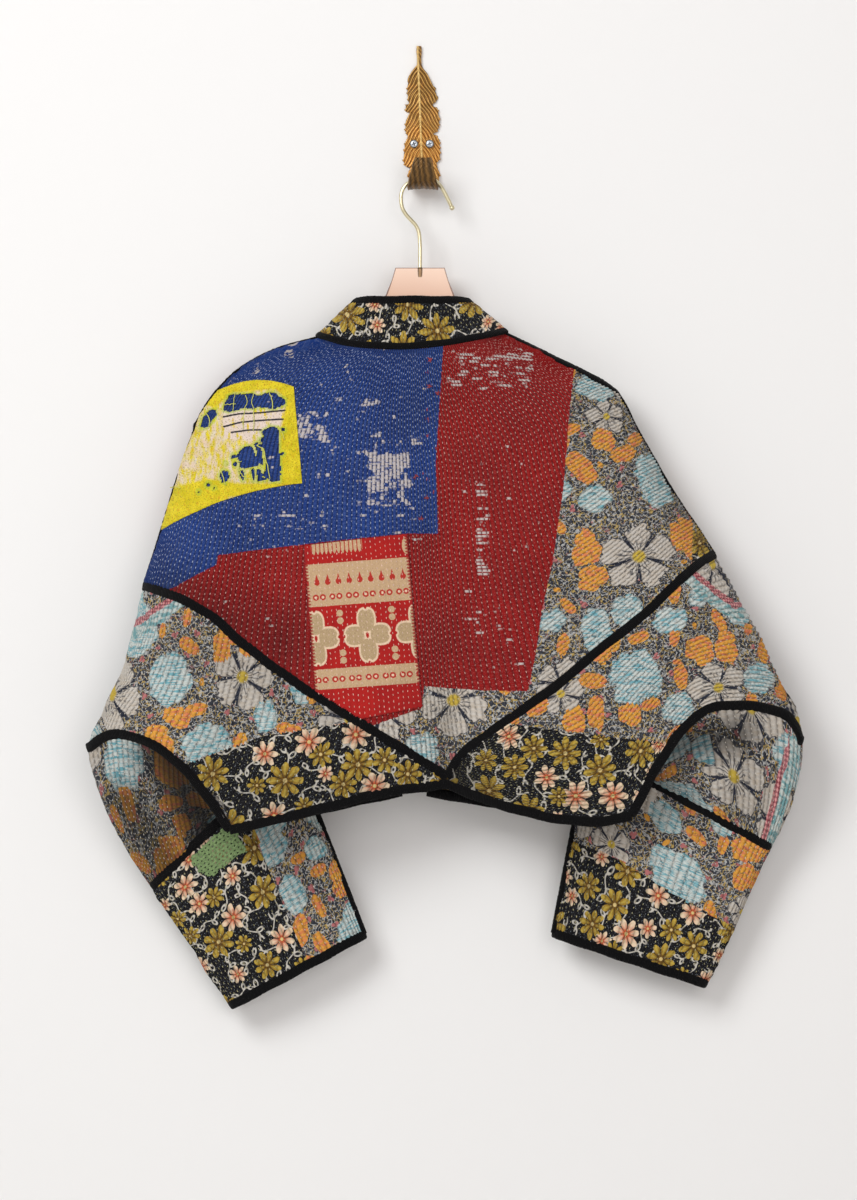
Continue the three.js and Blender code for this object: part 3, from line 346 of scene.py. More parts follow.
def hang(flat, name, open_=1.0):
    """Gives flat points (x, z) their depth on the back or the front of the hung cloth."""
    x, z = flat[..., 0], flat[..., 1]
    near = from_outline(x, z)[0]
    swell = np.sqrt(1 - (1 - np.minimum(near / ROUND, 1)) ** 2)
    middle = by_height(z, 1)
    if name == "back":
        depth = -(by_height(z, 2) + folds_at("back", x, z))
    else:
        depth = by_height(z, 3) + folds_at("front", x, z)
    return np.stack([x, middle + depth * swell * open_, z], -1)


def between(top, bottom, start, end):
    """A flat piece of cloth spanned between four edges."""

    def read(u, v):
        a, b = u[..., None], v[..., None]
        corner = [e(np.asarray(float(s)))[..., :2] for e in (top, bottom) for s in (0, 1)]
        return (
            (1 - b) * top(u)[..., :2] + b * bottom(u)[..., :2]
            + (1 - a) * start(v)[..., :2] + a * end(v)[..., :2]
            - (1 - a) * ((1 - b) * corner[0] + b * corner[2])
            - a * ((1 - b) * corner[1] + b * corner[3])
        )

    return read


def straight(a, b):
    """A straight edge from one point to another."""
    a, b = np.array(a, float)[:2], np.array(b, float)[:2]
    return lambda t: a + (b - a) * np.asarray(t, float)[..., None]


def to_fold(w):
    """Spaces the rows of a panel more closely towards a fold."""
    return w + w * w - w * w * w


def opening(w):
    """How far the cloth has opened behind its folded edge."""
    return np.minimum(1, (1 - w) / FOLD_START)


zero, one = np.asarray(0.0), np.asarray(1.0)
slant_all = one_after_another(curve(SLANT_BACK["left"]), backwards(curve(SLANT_BACK["right"])))
back_flat = between(curve(NECK_BACK), slant_all, arm["left"], arm["right"])


def back_cloth(u, v):
    """The back, by its share across and down."""
    w = np.abs(2 * u - 1)
    return hang(back_flat(0.5 + np.sign(2 * u - 1) * to_fold(w) / 2, v), "back", opening(w))


def cut_side(side):
    """The pieces that come once on each side: front, side panel, sleeve and cuff."""
    hand = -1 if side == "left" else 1
    neck, slant_front = backwards(curve(NECK_FRONT[side])), backwards(curve(SLANT_FRONT[side]))
    slant_back = backwards(curve(SLANT_BACK[side]))
    hem_back, hem_front = backwards(curve(HEM_BACK[side])), backwards(curve(HEM_FRONT[side]))
    down_back, up_front = curve(ARMHOLE_BACK[side]), curve(ARMHOLE_FRONT[side])
    front_flat = between(neck, slant_front, straight(neck(zero), slant_front(zero)), arm[side])
    side_back = between(
        slant_back, one_after_another(hem_back, lambda s: down_back(1 - s)[..., :2]),
        straight(slant_back(zero), hem_back(zero)), elbow[side],
    )
    side_front = between(
        slant_front, one_after_another(hem_front, lambda s: up_front(s)[..., :2]),
        straight(slant_front(zero), hem_front(zero)), elbow[side],
    )

    def front(u, v):
        return hang(front_flat(to_fold(u), v), "front", opening(u))

    def side_panel(u, v):
        w = 1 - np.abs(2 * u - 1)
        s = to_fold(w)
        on_back = hang(side_back(s, v), "back", opening(w))
        on_front = hang(side_front(s, v), "front", opening(w))
        return np.where((u <= 0.5)[..., None], on_back, on_front)

    back_share, front_share = 0.44, 0.5

    def armhole(share):
        s = np.asarray(share, float) % 1
        a, b = down_back(s / back_share), up_front((s - front_share) / (1 - front_share))
        p, q = hang(a[..., :2], "back"), hang(b[..., :2], "front")
        foot, rise = down_back(one), up_front(zero)
        t = np.clip((s - back_share) / (front_share - back_share), 0, 1)[..., None]
        across = hang(foot[:2], "back") * (1 - t) + hang(rise[:2], "front") * t
        turn = np.where(s < back_share, a[..., 2], np.where(s > front_share, b[..., 2],
                        foot[2] + (rise[2] - foot[2]) * t[..., 0]))
        point = np.where((s > front_share)[..., None], q, across)
        return np.where((s < back_share)[..., None], p, point), turn

    def ring(name, turn):
        r = SLEEVE_RING[side][name]
        (x, y, z), (out_x, out_z) = r["at"], r["out"]
        c, s = np.cos(np.radians(turn)), np.sin(np.radians(turn))
        return np.stack([
            x + r["reach"] * c * out_x, y - r["deep"] * s, z + r["reach"] * c * out_z,
        ], -1)

    def sleeve(u, v):
        point, turn = armhole(u)
        b = v[..., None]
        p = point * (1 - b) + ring("seam", turn) * b
        bulge = SLEEVE_BULGE * 4 * v * (1 - v) * np.maximum(0, np.cos(np.radians(turn)))
        return p + np.stack([hand * bulge, 0 * bulge, 0 * bulge], -1)

    def cuff(u, v):
        b = v[..., None]
        return ring("seam", 360 * u) * (1 - b) + ring("wrist", 360 * u) * b

    return {
        "hand": hand, "front": front, "side": side_panel, "sleeve": sleeve, "cuff": cuff,
        "armhole": armhole, "hem_back": hem_back, "hem_front": hem_front,
        "under": (float(down_back(one)[2]), float(up_front(zero)[2])),
    }


cut = {side: cut_side(side) for side in SIDES}

NECK_X, NECK_Y = -8, -46
COLLAR_LIFT, COLLAR_TOP, COLLAR_FRONT_DROP = 4, -164, 1.05
COLLAR_LEAN = (0.62, 0.8)


def neck_loop(u):
    """The neckline, from one side of the front round the back to the other."""
    left, right = backwards(curve(NECK_FRONT["left"])), curve(NECK_FRONT["right"])
    on_left = hang(left(u / 0.25), "front")
    on_right = hang(right((u - 0.75) / 0.25), "front")
    on_back = hang(curve(NECK_BACK)((u - 0.25) / 0.5), "back")
    behind = np.where((u > 0.75)[..., None], on_right, on_back)
    return np.where((u < 0.25)[..., None], on_left, behind)


def collar_cloth(u, v):
    """The collar, standing on the neckline and leaning in."""
    at = neck_loop(u)
    x, y, z = at[..., 0], at[..., 1], at[..., 2]
    foot = np.stack([x, y, z + COLLAR_LIFT], -1)
    top = np.stack([
        NECK_X + (x - NECK_X) * COLLAR_LEAN[0], NECK_Y + (y - NECK_Y) * COLLAR_LEAN[1],
        COLLAR_TOP - COLLAR_FRONT_DROP * np.maximum(0, y - NECK_Y),
    ], -1)
    return top * (1 - v[..., None]) + foot * v[..., None]

# ------------------------------------------------------------------ dyes and prints
# The cloths are old cotton saris, faded and rubbed: plain blue, plain red, and flower prints
# on grey and on black. One recipe dyes them all. A panel carries how far inside each cloth a
# point lies, in millimetres, and which printed flower each face belongs to.


class Dye:
    """A number on its way through a material's nodes, so that a print reads as a formula."""

    def __init__(self, tree, socket):
        self.tree, self.socket = tree, socket

    def step(self, operation, *others, clamp=False):
        node = self.tree.nodes.new("ShaderNodeMath")
        node.operation, node.use_clamp = operation, clamp
        for slot, value in zip(node.inputs, (self, *others)):
            if isinstance(value, Dye):
                self.tree.links.new(value.socket, slot)
            else:
                slot.default_value = value
        return Dye(self.tree, node.outputs[0])

    def __add__(self, other):
        return self.step("ADD", other)

    def __sub__(self, other):
        return self.step("SUBTRACT", other)

    def __rsub__(self, other):
        return self.step("MULTIPLY", -1.0).step("ADD", other)

    def __mul__(self, other):
        return self.step("MULTIPLY", other)

    def __truediv__(self, other):
        return self.step("DIVIDE", other)

    __radd__, __rmul__ = __add__, __mul__

    def size(self):
        return self.step("ABSOLUTE")

    def over(self, edge, soft=0.35):
        """0 below the edge and 1 above it, with a soft step in between."""
        return ((self - edge) / soft).step("ADD", 0.5, clamp=True)

    def under(self, edge, soft=0.35):
        return 1.0 - self.over(edge, soft)


class Vat:
    """Where one material is mixed: textures, attributes and colours by short calls."""

    def __init__(self, name):
        self.material = bpy.data.materials.new(name)
        self.material.use_nodes = True
        self.tree = self.material.node_tree
        self.cloth = self.tree.nodes["Principled BSDF"]

    def wire(self, socket, value):
        if isinstance(value, Dye):
            self.tree.links.new(value.socket, socket)
        elif isinstance(value, tuple):
            socket.default_value = (*value, 1)
        else:
            socket.default_value = value

    def number(self, name):
        node = self.tree.nodes.new("ShaderNodeAttribute")
        node.attribute_name = name
        return Dye(self.tree, node.outputs["Fac"])

    def parts(self, name):
        """The three numbers of a vector attribute."""
        node = self.tree.nodes.new("ShaderNodeAttribute")
        node.attribute_name = name
        split = self.tree.nodes.new("ShaderNodeSeparateXYZ")
        self.tree.links.new(node.outputs["Vector"], split.inputs[0])
        return [Dye(self.tree, s) for s in split.outputs]

    def shade(self, name):
        node = self.tree.nodes.new("ShaderNodeAttribute")
        node.attribute_name = name
        return Dye(self.tree, node.outputs["Color"])

    def map(self, name):
        node = self.tree.nodes.new("ShaderNodeUVMap")
        node.uv_map = name
        split = self.tree.nodes.new("ShaderNodeSeparateXYZ")
        self.tree.links.new(node.outputs[0], split.inputs[0])
        return Dye(self.tree, split.outputs[0]), Dye(self.tree, split.outputs[1])

    def place(self):
        """Object coordinates in millimetres."""
        node = self.tree.nodes.new("ShaderNodeTexCoord")
        split = self.tree.nodes.new("ShaderNodeSeparateXYZ")
        self.tree.links.new(node.outputs["Object"], split.inputs[0])
        return [Dye(self.tree, s) * 1000.0 for s in split.outputs]

    def noise(self, x, y, z=0.0, detail=2.0, rough=0.5, colour=False):
        join = self.tree.nodes.new("ShaderNodeCombineXYZ")
        for socket, value in zip(join.inputs, (x, y, z)):
            self.wire(socket, value)
        node = self.tree.nodes.new("ShaderNodeTexNoise")
        node.inputs["Scale"].default_value = 1.0
        node.inputs["Detail"].default_value = detail
        node.inputs["Roughness"].default_value = rough
        self.tree.links.new(join.outputs[0], node.inputs["Vector"])
        return Dye(self.tree, node.outputs["Color" if colour else "Fac"])

    def dots(self, x, y, spread=1.0):
        """Distance to the nearest of a scatter of points, one in each unit square."""
        join = self.tree.nodes.new("ShaderNodeCombineXYZ")
        for socket, value in zip(join.inputs, (x, y, 0.0)):
            self.wire(socket, value)
        node = self.tree.nodes.new("ShaderNodeTexVoronoi")
        node.voronoi_dimensions = "2D"
        node.inputs["Scale"].default_value = 1.0
        node.inputs["Randomness"].default_value = spread
        self.tree.links.new(join.outputs[0], node.inputs["Vector"])
        return Dye(self.tree, node.outputs["Distance"])

    def blend(self, share, low, high):
        node = self.tree.nodes.new("ShaderNodeMix")
        node.data_type = "RGBA"
        self.wire(node.inputs[0], share)
        self.wire(node.inputs[6], low)
        self.wire(node.inputs[7], high)
        return Dye(self.tree, node.outputs[2])

    def weave(self, u, v, fine, long_, place=4.0):
        """Threads that cross: short over one way, long over the other."""
        return (
            self.noise(u * fine, v * long_, 1.0, detail=0.0) * 0.5
            + self.noise(u * long_, v * fine, place, detail=0.0) * 0.5
        )

    def finish(self, colour, height, rough, distance, strength, **shine):
        """Colour, roughness and bump, and any other input by its name with _ for a space."""
        self.wire(self.cloth.inputs["Base Color"], colour)
        self.cloth.inputs["Roughness"].default_value = rough
        bump = self.tree.nodes.new("ShaderNodeBump")
        bump.inputs["Distance"].default_value = distance
        bump.inputs["Strength"].default_value = strength
        self.wire(bump.inputs["Height"], height)
        self.tree.links.new(bump.outputs[0], self.cloth.inputs["Normal"])
        for name, value in shine.items():
            self.cloth.inputs[name.replace("_", " ")].default_value = value
        return self.material


def srgb(red, green, blue):
    """A dye by the 0 to 255 numbers of a shade card, as the renderer's linear light."""
    return tuple(
        c / 255 / 12.92 if c <= 10 else ((c / 255 + 0.055) / 1.055) ** 2.4
        for c in (red, green, blue)
    )


BLUE, DEEP_BLUE = srgb(26, 62, 138), srgb(17, 44, 108)
RED, DEEP_RED = srgb(158, 14, 14), srgb(128, 10, 12)
SLATE, CREAM, OLIVE = srgb(44, 48, 58), srgb(196, 196, 194), srgb(198, 168, 92)
PETAL_LINE, HEART = srgb(40, 44, 58), srgb(204, 176, 70)
ORANGE_STREAK, AQUA_STREAK = srgb(226, 118, 96), srgb(216, 220, 214)
NIGHT, CHALK = srgb(13, 13, 19), srgb(214, 208, 196)
WORN = srgb(206, 196, 192)
# The leaves of a printed vine, by the length of it: middle x, y, half width and half height.
VINE_LOOPS = ((-0.86, -0.28, 0.27, 0.15), (0.88, 0.3, 0.27, 0.15), (0.16, 0.52, 0.14, 0.26))
FLECK_UP, FLECK_ACROSS = 6.2, 3.6  # the worn flecks lie in steps like the stitches
PUCKER_STEP = 5.0


def flower(vat, u, v, layer, wobble):
    """The printed flower of a face: how far inside it a point lies, and where in it."""
    centre_x, centre_y, angle = vat.parts(layer + "_place")
    radius, lobes, aspect = vat.parts(layer + "_form")
    dx, dy = u - centre_x, v - centre_y
    c, s = angle.step("COSINE"), angle.step("SINE")
    x = (dx * c + dy * s) / radius
    y = (dy * c - dx * s) / (radius * aspect)
    reach = (x * x + y * y).step("SQRT")
    turn = y.step("ARCTAN2", x)
    petals = lobes.step("FLOOR")
    notch = lobes - petals
    lobe = (turn * petals * 0.5).step("COSINE").size()
    pointed = petals.over(6.5, 0.2) * 0.55 + 0.42
    uneven = (turn * 2.0 + angle * 5.0).step("SINE") * petals.under(6.5, 0.2) * 0.09
    edge = 1.0 - notch * (1.0 - lobe.step("POWER", pointed)) + wobble + uneven
    return {"inside": (edge - reach) * radius, "reach": reach, "turn": turn, "lobe": lobe,
            "petals": petals, "radius": radius}


def quilt_cloth(name):
    """Worn patchwork of four cottons under rows of running stitches."""
    vat = Vat(name)
    u, v = vat.map("flat")
    rows_u, rows_v = vat.map("rows")
    blue, red, dark = vat.number("blue"), vat.number("red"), vat.number("dark")
    worn, stripe = vat.number("worn"), vat.number("stripe")

    # Faded and rubbed: broad drift of shade, and a fine fleck of the weave.
    drift = vat.noise(u * 0.016, v * 0.016, 3.0, detail=3.0)
    fleck = vat.noise(u * 0.9, v * 0.9, 7.0, detail=1.0)
    fray = (vat.noise(u * 0.4, v * 0.4, 17.0, detail=2.0) - 0.5) * 2.4
    blue, red, dark = blue + fray, red + fray, dark + fray * 0.6
    thread = vat.weave(u, v, 2.4, 0.5)

    # Grey print: scribbled ground, then flowers with dark outlines and yellow hearts.
    warp = vat.noise(u * 0.11, v * 0.11, 9.0, detail=1.0)
    scrawl = (vat.noise(u * 0.19 + warp, v * 0.19, 2.0, detail=1.2) - 0.5).size()
    scrawl_2 = (vat.noise(u * 0.15, v * 0.15 + warp, 5.0, detail=1.2) - 0.5).size()
    ground = vat.blend(drift.over(0.5, 0.5) * 0.5, SLATE, srgb(80, 82, 90))
    ground = vat.blend(scrawl.under(0.034, 0.026) * 0.85, ground, CREAM)
    ground = vat.blend(scrawl_2.under(0.019, 0.018) * 0.85, ground,
                       vat.blend(warp.over(0.62, 0.08), OLIVE, srgb(178, 122, 116)))
    wobble = (vat.noise(u * 0.10, v * 0.10, 6.0, detail=2.5) - 0.5) * 0.62
    big = flower(vat, u, v, "bloom", wobble)
    tint = vat.shade("bloom_tint")
    split = vat.tree.nodes.new("ShaderNodeSeparateColor")
    vat.tree.links.new(tint.socket, split.inputs[0])
    redness, blueness = Dye(vat.tree, split.outputs[0]), Dye(vat.tree, split.outputs[2])
    warm, cool = (redness - blueness).over(0.3, 0.1), (blueness - redness).over(0.1, 0.05)
    plain = (1.0 - warm) * (1.0 - cool)
    streaks = vat.noise(u * 0.10, v * 0.24, 12.0, detail=3.0)
    pull = vat.noise(u * 0.08, v * 0.7, 13.0, detail=2.0)
    fill = vat.blend(warm * (streaks * 0.6 + pull * 0.4).over(0.53, 0.08) * 0.75, tint,
                     ORANGE_STREAK)
    fill = vat.blend(cool * (streaks * 0.5 + pull * 0.5).over(0.48, 0.10) * 0.9, fill, AQUA_STREAK)
    inner_lines = (1.0 - plain) * scrawl_2.under(0.010, 0.012) * 0.55
    fill = vat.blend(inner_lines, fill, PETAL_LINE)
    plaid = (pull.over(0.52, 0.1) + streaks.over(0.52, 0.1)) * plain * 0.22
    fill = vat.blend(plaid, fill, srgb(186, 164, 132))
    rays = (big["turn"] * big["petals"] * 2.0 + warp * 7.0).step("SINE").size()
    veins_end = (big["reach"] + warp * 0.9 + wobble).under(0.92, 0.12)
    veins = rays.over(0.84, 0.2) * veins_end * plain * 0.75
    creases = (1.0 - big["lobe"] + wobble * 0.5).over(0.74, 0.12)
    creases = creases * big["reach"].over(0.18, 0.1) * plain
    fill = vat.blend(veins.step("MAXIMUM", creases), fill, PETAL_LINE)
    fill = vat.blend(big["reach"].under(0.17, 0.06) * plain, fill, HEART)
    outline = big["inside"].under(streaks * 3.0 - 0.1, 0.7) * (plain * 0.9 + cool * 0.3)
    fill = vat.blend(outline, fill, PETAL_LINE)
    grey = vat.blend(big["inside"].over(0.0, 0.7), ground, fill)
    sprig = flower(vat, u, v, "sprig", wobble)
    sprig_tint = vat.shade("sprig_tint")
    grey = vat.blend(sprig["inside"].over(0.0, 0.6) * big["inside"].under(-1.0, 0.5), grey,
                     sprig_tint)

    # A dotted border runs beside some joins of the grey print, with plain aqua beyond it.
    beads = ((u + v) * 0.9).step("SINE") * ((u - v) * 0.9).step("SINE")
    border = vat.blend(beads.over(0.1, 0.5), srgb(150, 66, 78), srgb(226, 150, 150))
    strip = stripe + wobble * 6.0
    aqua_strip = vat.blend(streaks.over(0.5, 0.14) * 0.8, srgb(118, 164, 168), AQUA_STREAK)
    grey = vat.blend(strip.over(3.0, 0.5) * strip.under(15.0, 1.0), grey, aqua_strip)
    grey = vat.blend((strip - 1.0).size().under(3.0, 0.6) * 0.9, grey, border)

    # Black print: mustard and peach stars, white curls that end in a leaf, white dots.
    specks = vat.dots(u / 4.2, v / 4.2)
    night = vat.blend(specks.under(0.085, 0.06) * 0.8, NIGHT, srgb(150, 160, 170))
    petal_shade = (big["reach"] * 1.7 - 0.55).step("ADD", streaks * 0.4, clamp=True)
    mustard = big["petals"].over(7.5, 0.2)
    star_heart = vat.blend(mustard, srgb(206, 96, 58), srgb(116, 82, 22))
    star = vat.blend(petal_shade, star_heart, tint)
    spine = (1.0 - big["lobe"]).under(0.10, 0.08) * big["reach"].over(0.3, 0.1) * 0.45
    star = vat.blend(spine, star, vat.blend(mustard, srgb(240, 222, 190), srgb(206, 184, 84)))
    star = vat.blend((1.0 - big["lobe"]).over(0.66, 0.2) * 0.8, star, srgb(52, 40, 18))
    star = vat.blend(big["reach"].under(0.12, 0.05), star, srgb(222, 196, 130))
    # A vine bends one way and back, with a loop for a leaf at each end and one beside it.
    curl_x, curl_y, curl_turn = vat.parts("curl_place")
    curl_radius, curl_bend, _ = vat.parts("curl_form")
    cx, cy = u - curl_x, v - curl_y
    c, s = curl_turn.step("COSINE"), curl_turn.step("SINE")
    vine_x, vine_y = (cx * c + cy * s) / curl_radius, (cy * c - cx * s) / curl_radius
    swing = (vine_x * 3.4).step("SINE") * 0.34 * curl_bend
    far = vine_x.size()
    nearest_line = (vine_y - swing).size() * far.under(0.78, 0.06) + far.over(0.78, 0.06)
    for loop_x, loop_y, half_x, half_y in VINE_LOOPS:
        p, q = (vine_x - loop_x) / half_x, (vine_y - curl_bend * loop_y) / half_y
        ring = ((p * p + q * q).step("SQRT") - 1.0).size() * 0.18
        nearest_line = nearest_line.step("MINIMUM", ring)
    curl = (nearest_line * curl_radius).under(0.9, 0.4)
    night = vat.blend(curl * 0.92, night, CHALK)
    night = vat.blend(big["inside"].over(0.0, 0.5), night, star)

    # Plain red and plain blue, deeper or paler in broad patches, rubbed to white on the worn
    # places, and then darkened by painted shade in the folds.
    scarlet = vat.blend(drift.over(0.5, 0.6), DEEP_RED, RED)
    azure = vat.blend(drift.over(0.5, 0.6), DEEP_BLUE, BLUE)
    azure = vat.blend(pull.over(0.54, 0.2) * 0.22, azure, srgb(96, 122, 176))
    scarlet = vat.blend(pull.over(0.56, 0.2) * 0.18, scarlet, srgb(184, 74, 66))
    colour = vat.blend(dark.over(0.0, 0.4), grey, night)
    colour = vat.blend(red.over(0.0, 0.4), colour, scarlet)
    colour = vat.blend(blue.over(0.0, 0.4), colour, azure)
    plain_cloth = red.step("MAXIMUM", blue).over(0.0, 0.4)
    crest = (rows_u * math.pi).step("SINE").size()
    row = rows_u.step("FLOOR")
    rubbed_up = vat.noise(row * 3.7, v * 0.11, 21.0, detail=2.0)
    rubbed_across = vat.noise(u * 0.07, (v / FLECK_ACROSS).step("FLOOR") * 3.3, 22.0, detail=2.0)
    band = (v / FLECK_ACROSS * math.pi).step("SINE").size()
    patchy = vat.noise(u * 0.06, v * 0.05, 25.0, detail=3.0)
    bars = (rubbed_up * 0.6 + patchy * 0.5 + worn * 0.36).over(0.82, 0.04)
    bars = bars * crest.over(fleck * 0.5 + 0.15, 0.25)
    gaps = ((v + row * 2.6) * (math.pi / FLECK_UP)).step("SINE").size()
    bars = bars * gaps.over(0.16, 0.2)
    dashes = (rubbed_across * 0.7 + patchy * 0.4 + worn * 0.36).over(0.83, 0.04)
    dashes = dashes * band.over(0.5, 0.3) * crest.over(0.2, 0.2)
    bare = vat.blend(red.over(0.0), bars.step("MAXIMUM", dashes * patchy.over(0.5, 0.05)), dashes)
    colour = vat.blend(bare * worn.over(0.05, 0.1) * plain_cloth * 0.9, colour, WORN)
    colour = vat.blend(thread.over(0.5, 0.5) * 0.16, colour, srgb(30, 28, 30))
    colour = vat.blend(fleck.over(0.62, 0.1) * 0.12, colour, CREAM)
    # Painted shade: the colour is darkened towards near black where the cloth turns in to folds
    # and hollows.
    colour = vat.blend(vat.number("painted_shade") * 0.94, colour, srgb(14, 13, 14))

    # Puckers between the stitches, and the weave itself.
    crosswise = vat.number("crosswise")

    def puckered(rows, along):
        """The ridge between two rows of stitches, drawn in at each stitch."""
        ridge = (rows * math.pi).step("SINE").size().step("POWER", 0.6)
        drawn = along * (2 * math.pi / PUCKER_STEP) + rows.step("FLOOR") * math.pi
        return ridge + drawn.step("SINE") * 0.15

    ridges = puckered(rows_u, v) * (1.0 - crosswise) + puckered(rows_v, u) * crosswise
    # Painted shade: the valleys between the ridges are darker than the ridges.
    valley_shade = (0.92 - ridges).step("MULTIPLY", 0.36, clamp=True)
    colour = vat.blend(valley_shade, colour, srgb(10, 10, 14))
    height = ridges + thread * 0.3 + fleck * 0.2
    return vat.finish(
        colour, height, rough=0.88, distance=0.0019, strength=1.0,
        Sheen_Weight=0.05, Sheen_Roughness=0.5, Specular_IOR_Level=0.15,
    )


quilt = quilt_cloth("quilted_cotton")

# ------------------------------------------------------------------ laying out a panel
# A panel is two or three layers of cotton sewn through by hand. The stitches lie in rows
# 5 mm apart and pull the cloth down, so that it puffs up in a ridge between two rows.
CLOTH = 3.2
ROW = 5.0
CELLS = 2  # cells of the mesh from one row of stitches to the next
RIDGE = 1.25
INNER_COARSE = 6
PUCKER_FADE = 9.0

# Creases: x0, z0, x1, z1, half width, depth (troughs are below zero).
CREASES = {
    "back": [
        (-230, -300, -120, -330, 9, -1.6), (-250, -380, -150, -365, 11, -1.4),
        (-60, -235, -75, -330, 10, 1.2), (70, -230, 95, -340, 12, 1.4),
        (150, -250, 215, -330, 11, -1.8), (255, -360, 190, -430, 10, -1.5),
        (-262, -440, -170, -470, 10, 1.6), (-40, -480, -20, -560, 14, 1.5),
        (60, -470, 45, -590, 12, -1.6), (110, -380, 150, -520, 10, 1.2),
        (240, -440, 170, -520, 9, 1.6), (-130, -520, -60, -570, 10, -1.3),
        (15, -600, 28, -655, 8, -3.0),
    ],
    "front": [
        (-220, -300, -130, -340, 10, -1.8), (-60, -300, -90, -420, 12, 1.6),
        (-200, -420, -120, -480, 10, 1.5), (70, -300, 100, -430, 11, -1.6),
        (200, -300, 130, -360, 10, -1.7), (220, -400, 150, -470, 11, 1.7),
        (-40, -480, -70, -600, 9, -1.8), (40, -500, 60, -600, 10, 1.6),
        (150, -430, 110, -540, 9, -1.4),
    ],
    "side": [
        (-290, -500, -230, -560, 9, -2.0), (-330, -590, -250, -575, 11, 2.2),
        (-240, -520, -215, -610, 8, 1.8), (-180, -570, -190, -690, 9, -1.8),
        (-120, -610, -125, -690, 11, 1.6), (-60, -630, -60, -680, 8, -1.8),
        (300, -470, 240, -560, 9, 2.0), (345, -520, 290, -570, 8, -2.4),
        (230, -540, 255, -620, 9, -1.8), (190, -580, 205, -690, 9, 1.7),
        (130, -610, 120, -695, 10, -1.9), (80, -630, 85, -680, 8, 1.5),
    ],
    "sleeve": [
        (-330, -640, -240, -700, 10, 3.0), (-300, -660, -230, -730, 8, -2.6),
        (-325, -670, -290, -730, 7, 2.0), (380, -620, 320, -680, 10, 2.4),
        (340, -610, 290, -670, 9, -2.6), (370, -650, 300, -640, 8, -1.8),
    ],
    "cuff": [
        (-250, -740, -180, -860, 10, 1.8), (-200, -730, -140, -800, 9, -1.8),
        (-240, -800, -200, -870, 8, -1.5), (230, -740, 225, -850, 10, 1.8),
        (270, -730, 300, -830, 9, -1.8), (320, -760, 290, -860, 8, 1.4),
    ],
    "collar": [(-70, -200, -60, -180, 10, 0.8), (30, -200, 20, -180, 9, -0.8)],
}


def unit(way):
    """Directions, each one long."""
    return way / np.maximum(np.linalg.norm(way, axis=-1, keepdims=True), 1e-9)


def run_along(line):
    """How far along a line each of its points lies."""
    return np.concatenate([[0], np.cumsum(np.linalg.norm(np.diff(line, axis=0), axis=1))])


def numbered(down, across):
    """The numbers of the points of a grid that is stored row by row."""
    return np.arange(down * across).reshape(down, across)


def corners_of(grid):
    """The four corners of each cell of a grid, in turn."""
    return grid[:-1, :-1], grid[:-1, 1:], grid[1:, 1:], grid[1:, :-1]


def smooth(mesh, corners=None):
    """Soft shading on every face, or on those with so many corners."""
    for face in mesh.polygons:
        face.use_smooth = corners in (None, len(face.vertices))


def settle(made, slot, *nodes):
    """Puts a finished piece in the place of its plain solids."""
    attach(made, "root")
    if nodes:
        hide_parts(*nodes)
    return made


def new_piece(name, mesh, material, slot, *nodes):
    """A piece of its own from a finished mesh."""
    mesh.materials.append(material)
    made = bpy.data.objects.new(name, mesh)
    bpy.context.scene.collection.objects.link(made)
    return settle(made, slot, *nodes)


def wander(x, y, size, seed):
    """A smooth random drift from -1 to 1 over the cloth."""
    draw = np.random.default_rng(seed)
    total = 0
    for _ in range(6):
        angle, phase = draw.uniform(0, 2 * np.pi, 2)
        pitch = 2 * np.pi / (size * draw.uniform(0.7, 1.6))
        total = total + np.sin(pitch * (x * np.cos(angle) + y * np.sin(angle)) + phase)
    return total / 4


def shares(across, down):
    """The share of the way across and down at each point of a grid of so many cells."""
    return np.meshgrid(np.linspace(0, 1, across + 1), np.linspace(0, 1, down + 1))


def lay_out(surface, across, down, start=0.0):
    """Points of a surface on a grid with two cells from row to row; a tube has its start."""
    grid_u, grid_v = shares(CELLS * across, CELLS * down)
    return surface(grid_u + start, grid_v)


def outward(points, facing, tube):
    """The way out of the cloth at each point of a grid."""
    wide = np.concatenate([points[:, -2:-1], points, points[:, 1:2]], 1) if tube else points
    du, dv = np.gradient(wide, axis=1), np.gradient(wide, axis=0)
    out = unit(np.cross(du, dv) * facing)
    return out[:, 1:-1] if tube else out


def flat_body(points):
    """Where a point of the body lies on the flat cloth: pushed out by what the fold takes up."""
    x, z = points[..., 0], points[..., 2]
    near, out_x, out_z = from_outline(x, z)
    deep = np.where(points[..., 1] < by_height(z, 1), by_height(z, 2), by_height(z, 3))
    t = 1 - np.minimum(near / ROUND, 1)
    turned = 0.42 * deep * t**3
    return np.stack([x + out_x * turned, z + out_z * turned], -1)


def flat_tube(points, reverse):
    """Where a point of a sleeve or cuff lies on the flat cloth: round it, and down it."""
    round_ = run_along(points[len(points) // 2])
    steps_down = np.linalg.norm(np.diff(points, axis=0), axis=2).mean(1)
    down = np.concatenate([[0], np.cumsum(steps_down)])
    grid_u, grid_v = np.meshgrid(round_ * (-1 if reverse else 1), -down)
    return np.stack([grid_u, grid_v], -1)


def inside_shape(points, shape):
    """How far inside a closed shape of (x, z) corners each point lies, negative outside."""
    x, z = points[..., 0], points[..., 2]
    near, inside = np.full(x.shape, np.inf), np.zeros(x.shape, bool)
    for (x0, z0), (x1, z1) in zip(shape, shape[1:] + shape[:1]):
        near = np.minimum(near, to_segment(x, z, x0, z0, x1, z1 + 1e-9))
        crosses = (z0 > z) != (z1 > z)
        with np.errstate(divide="ignore", invalid="ignore"):
            inside ^= crosses & (x < x0 + (z - z0) * (x1 - x0) / (z1 - z0))
    return np.where(inside, near, -near)


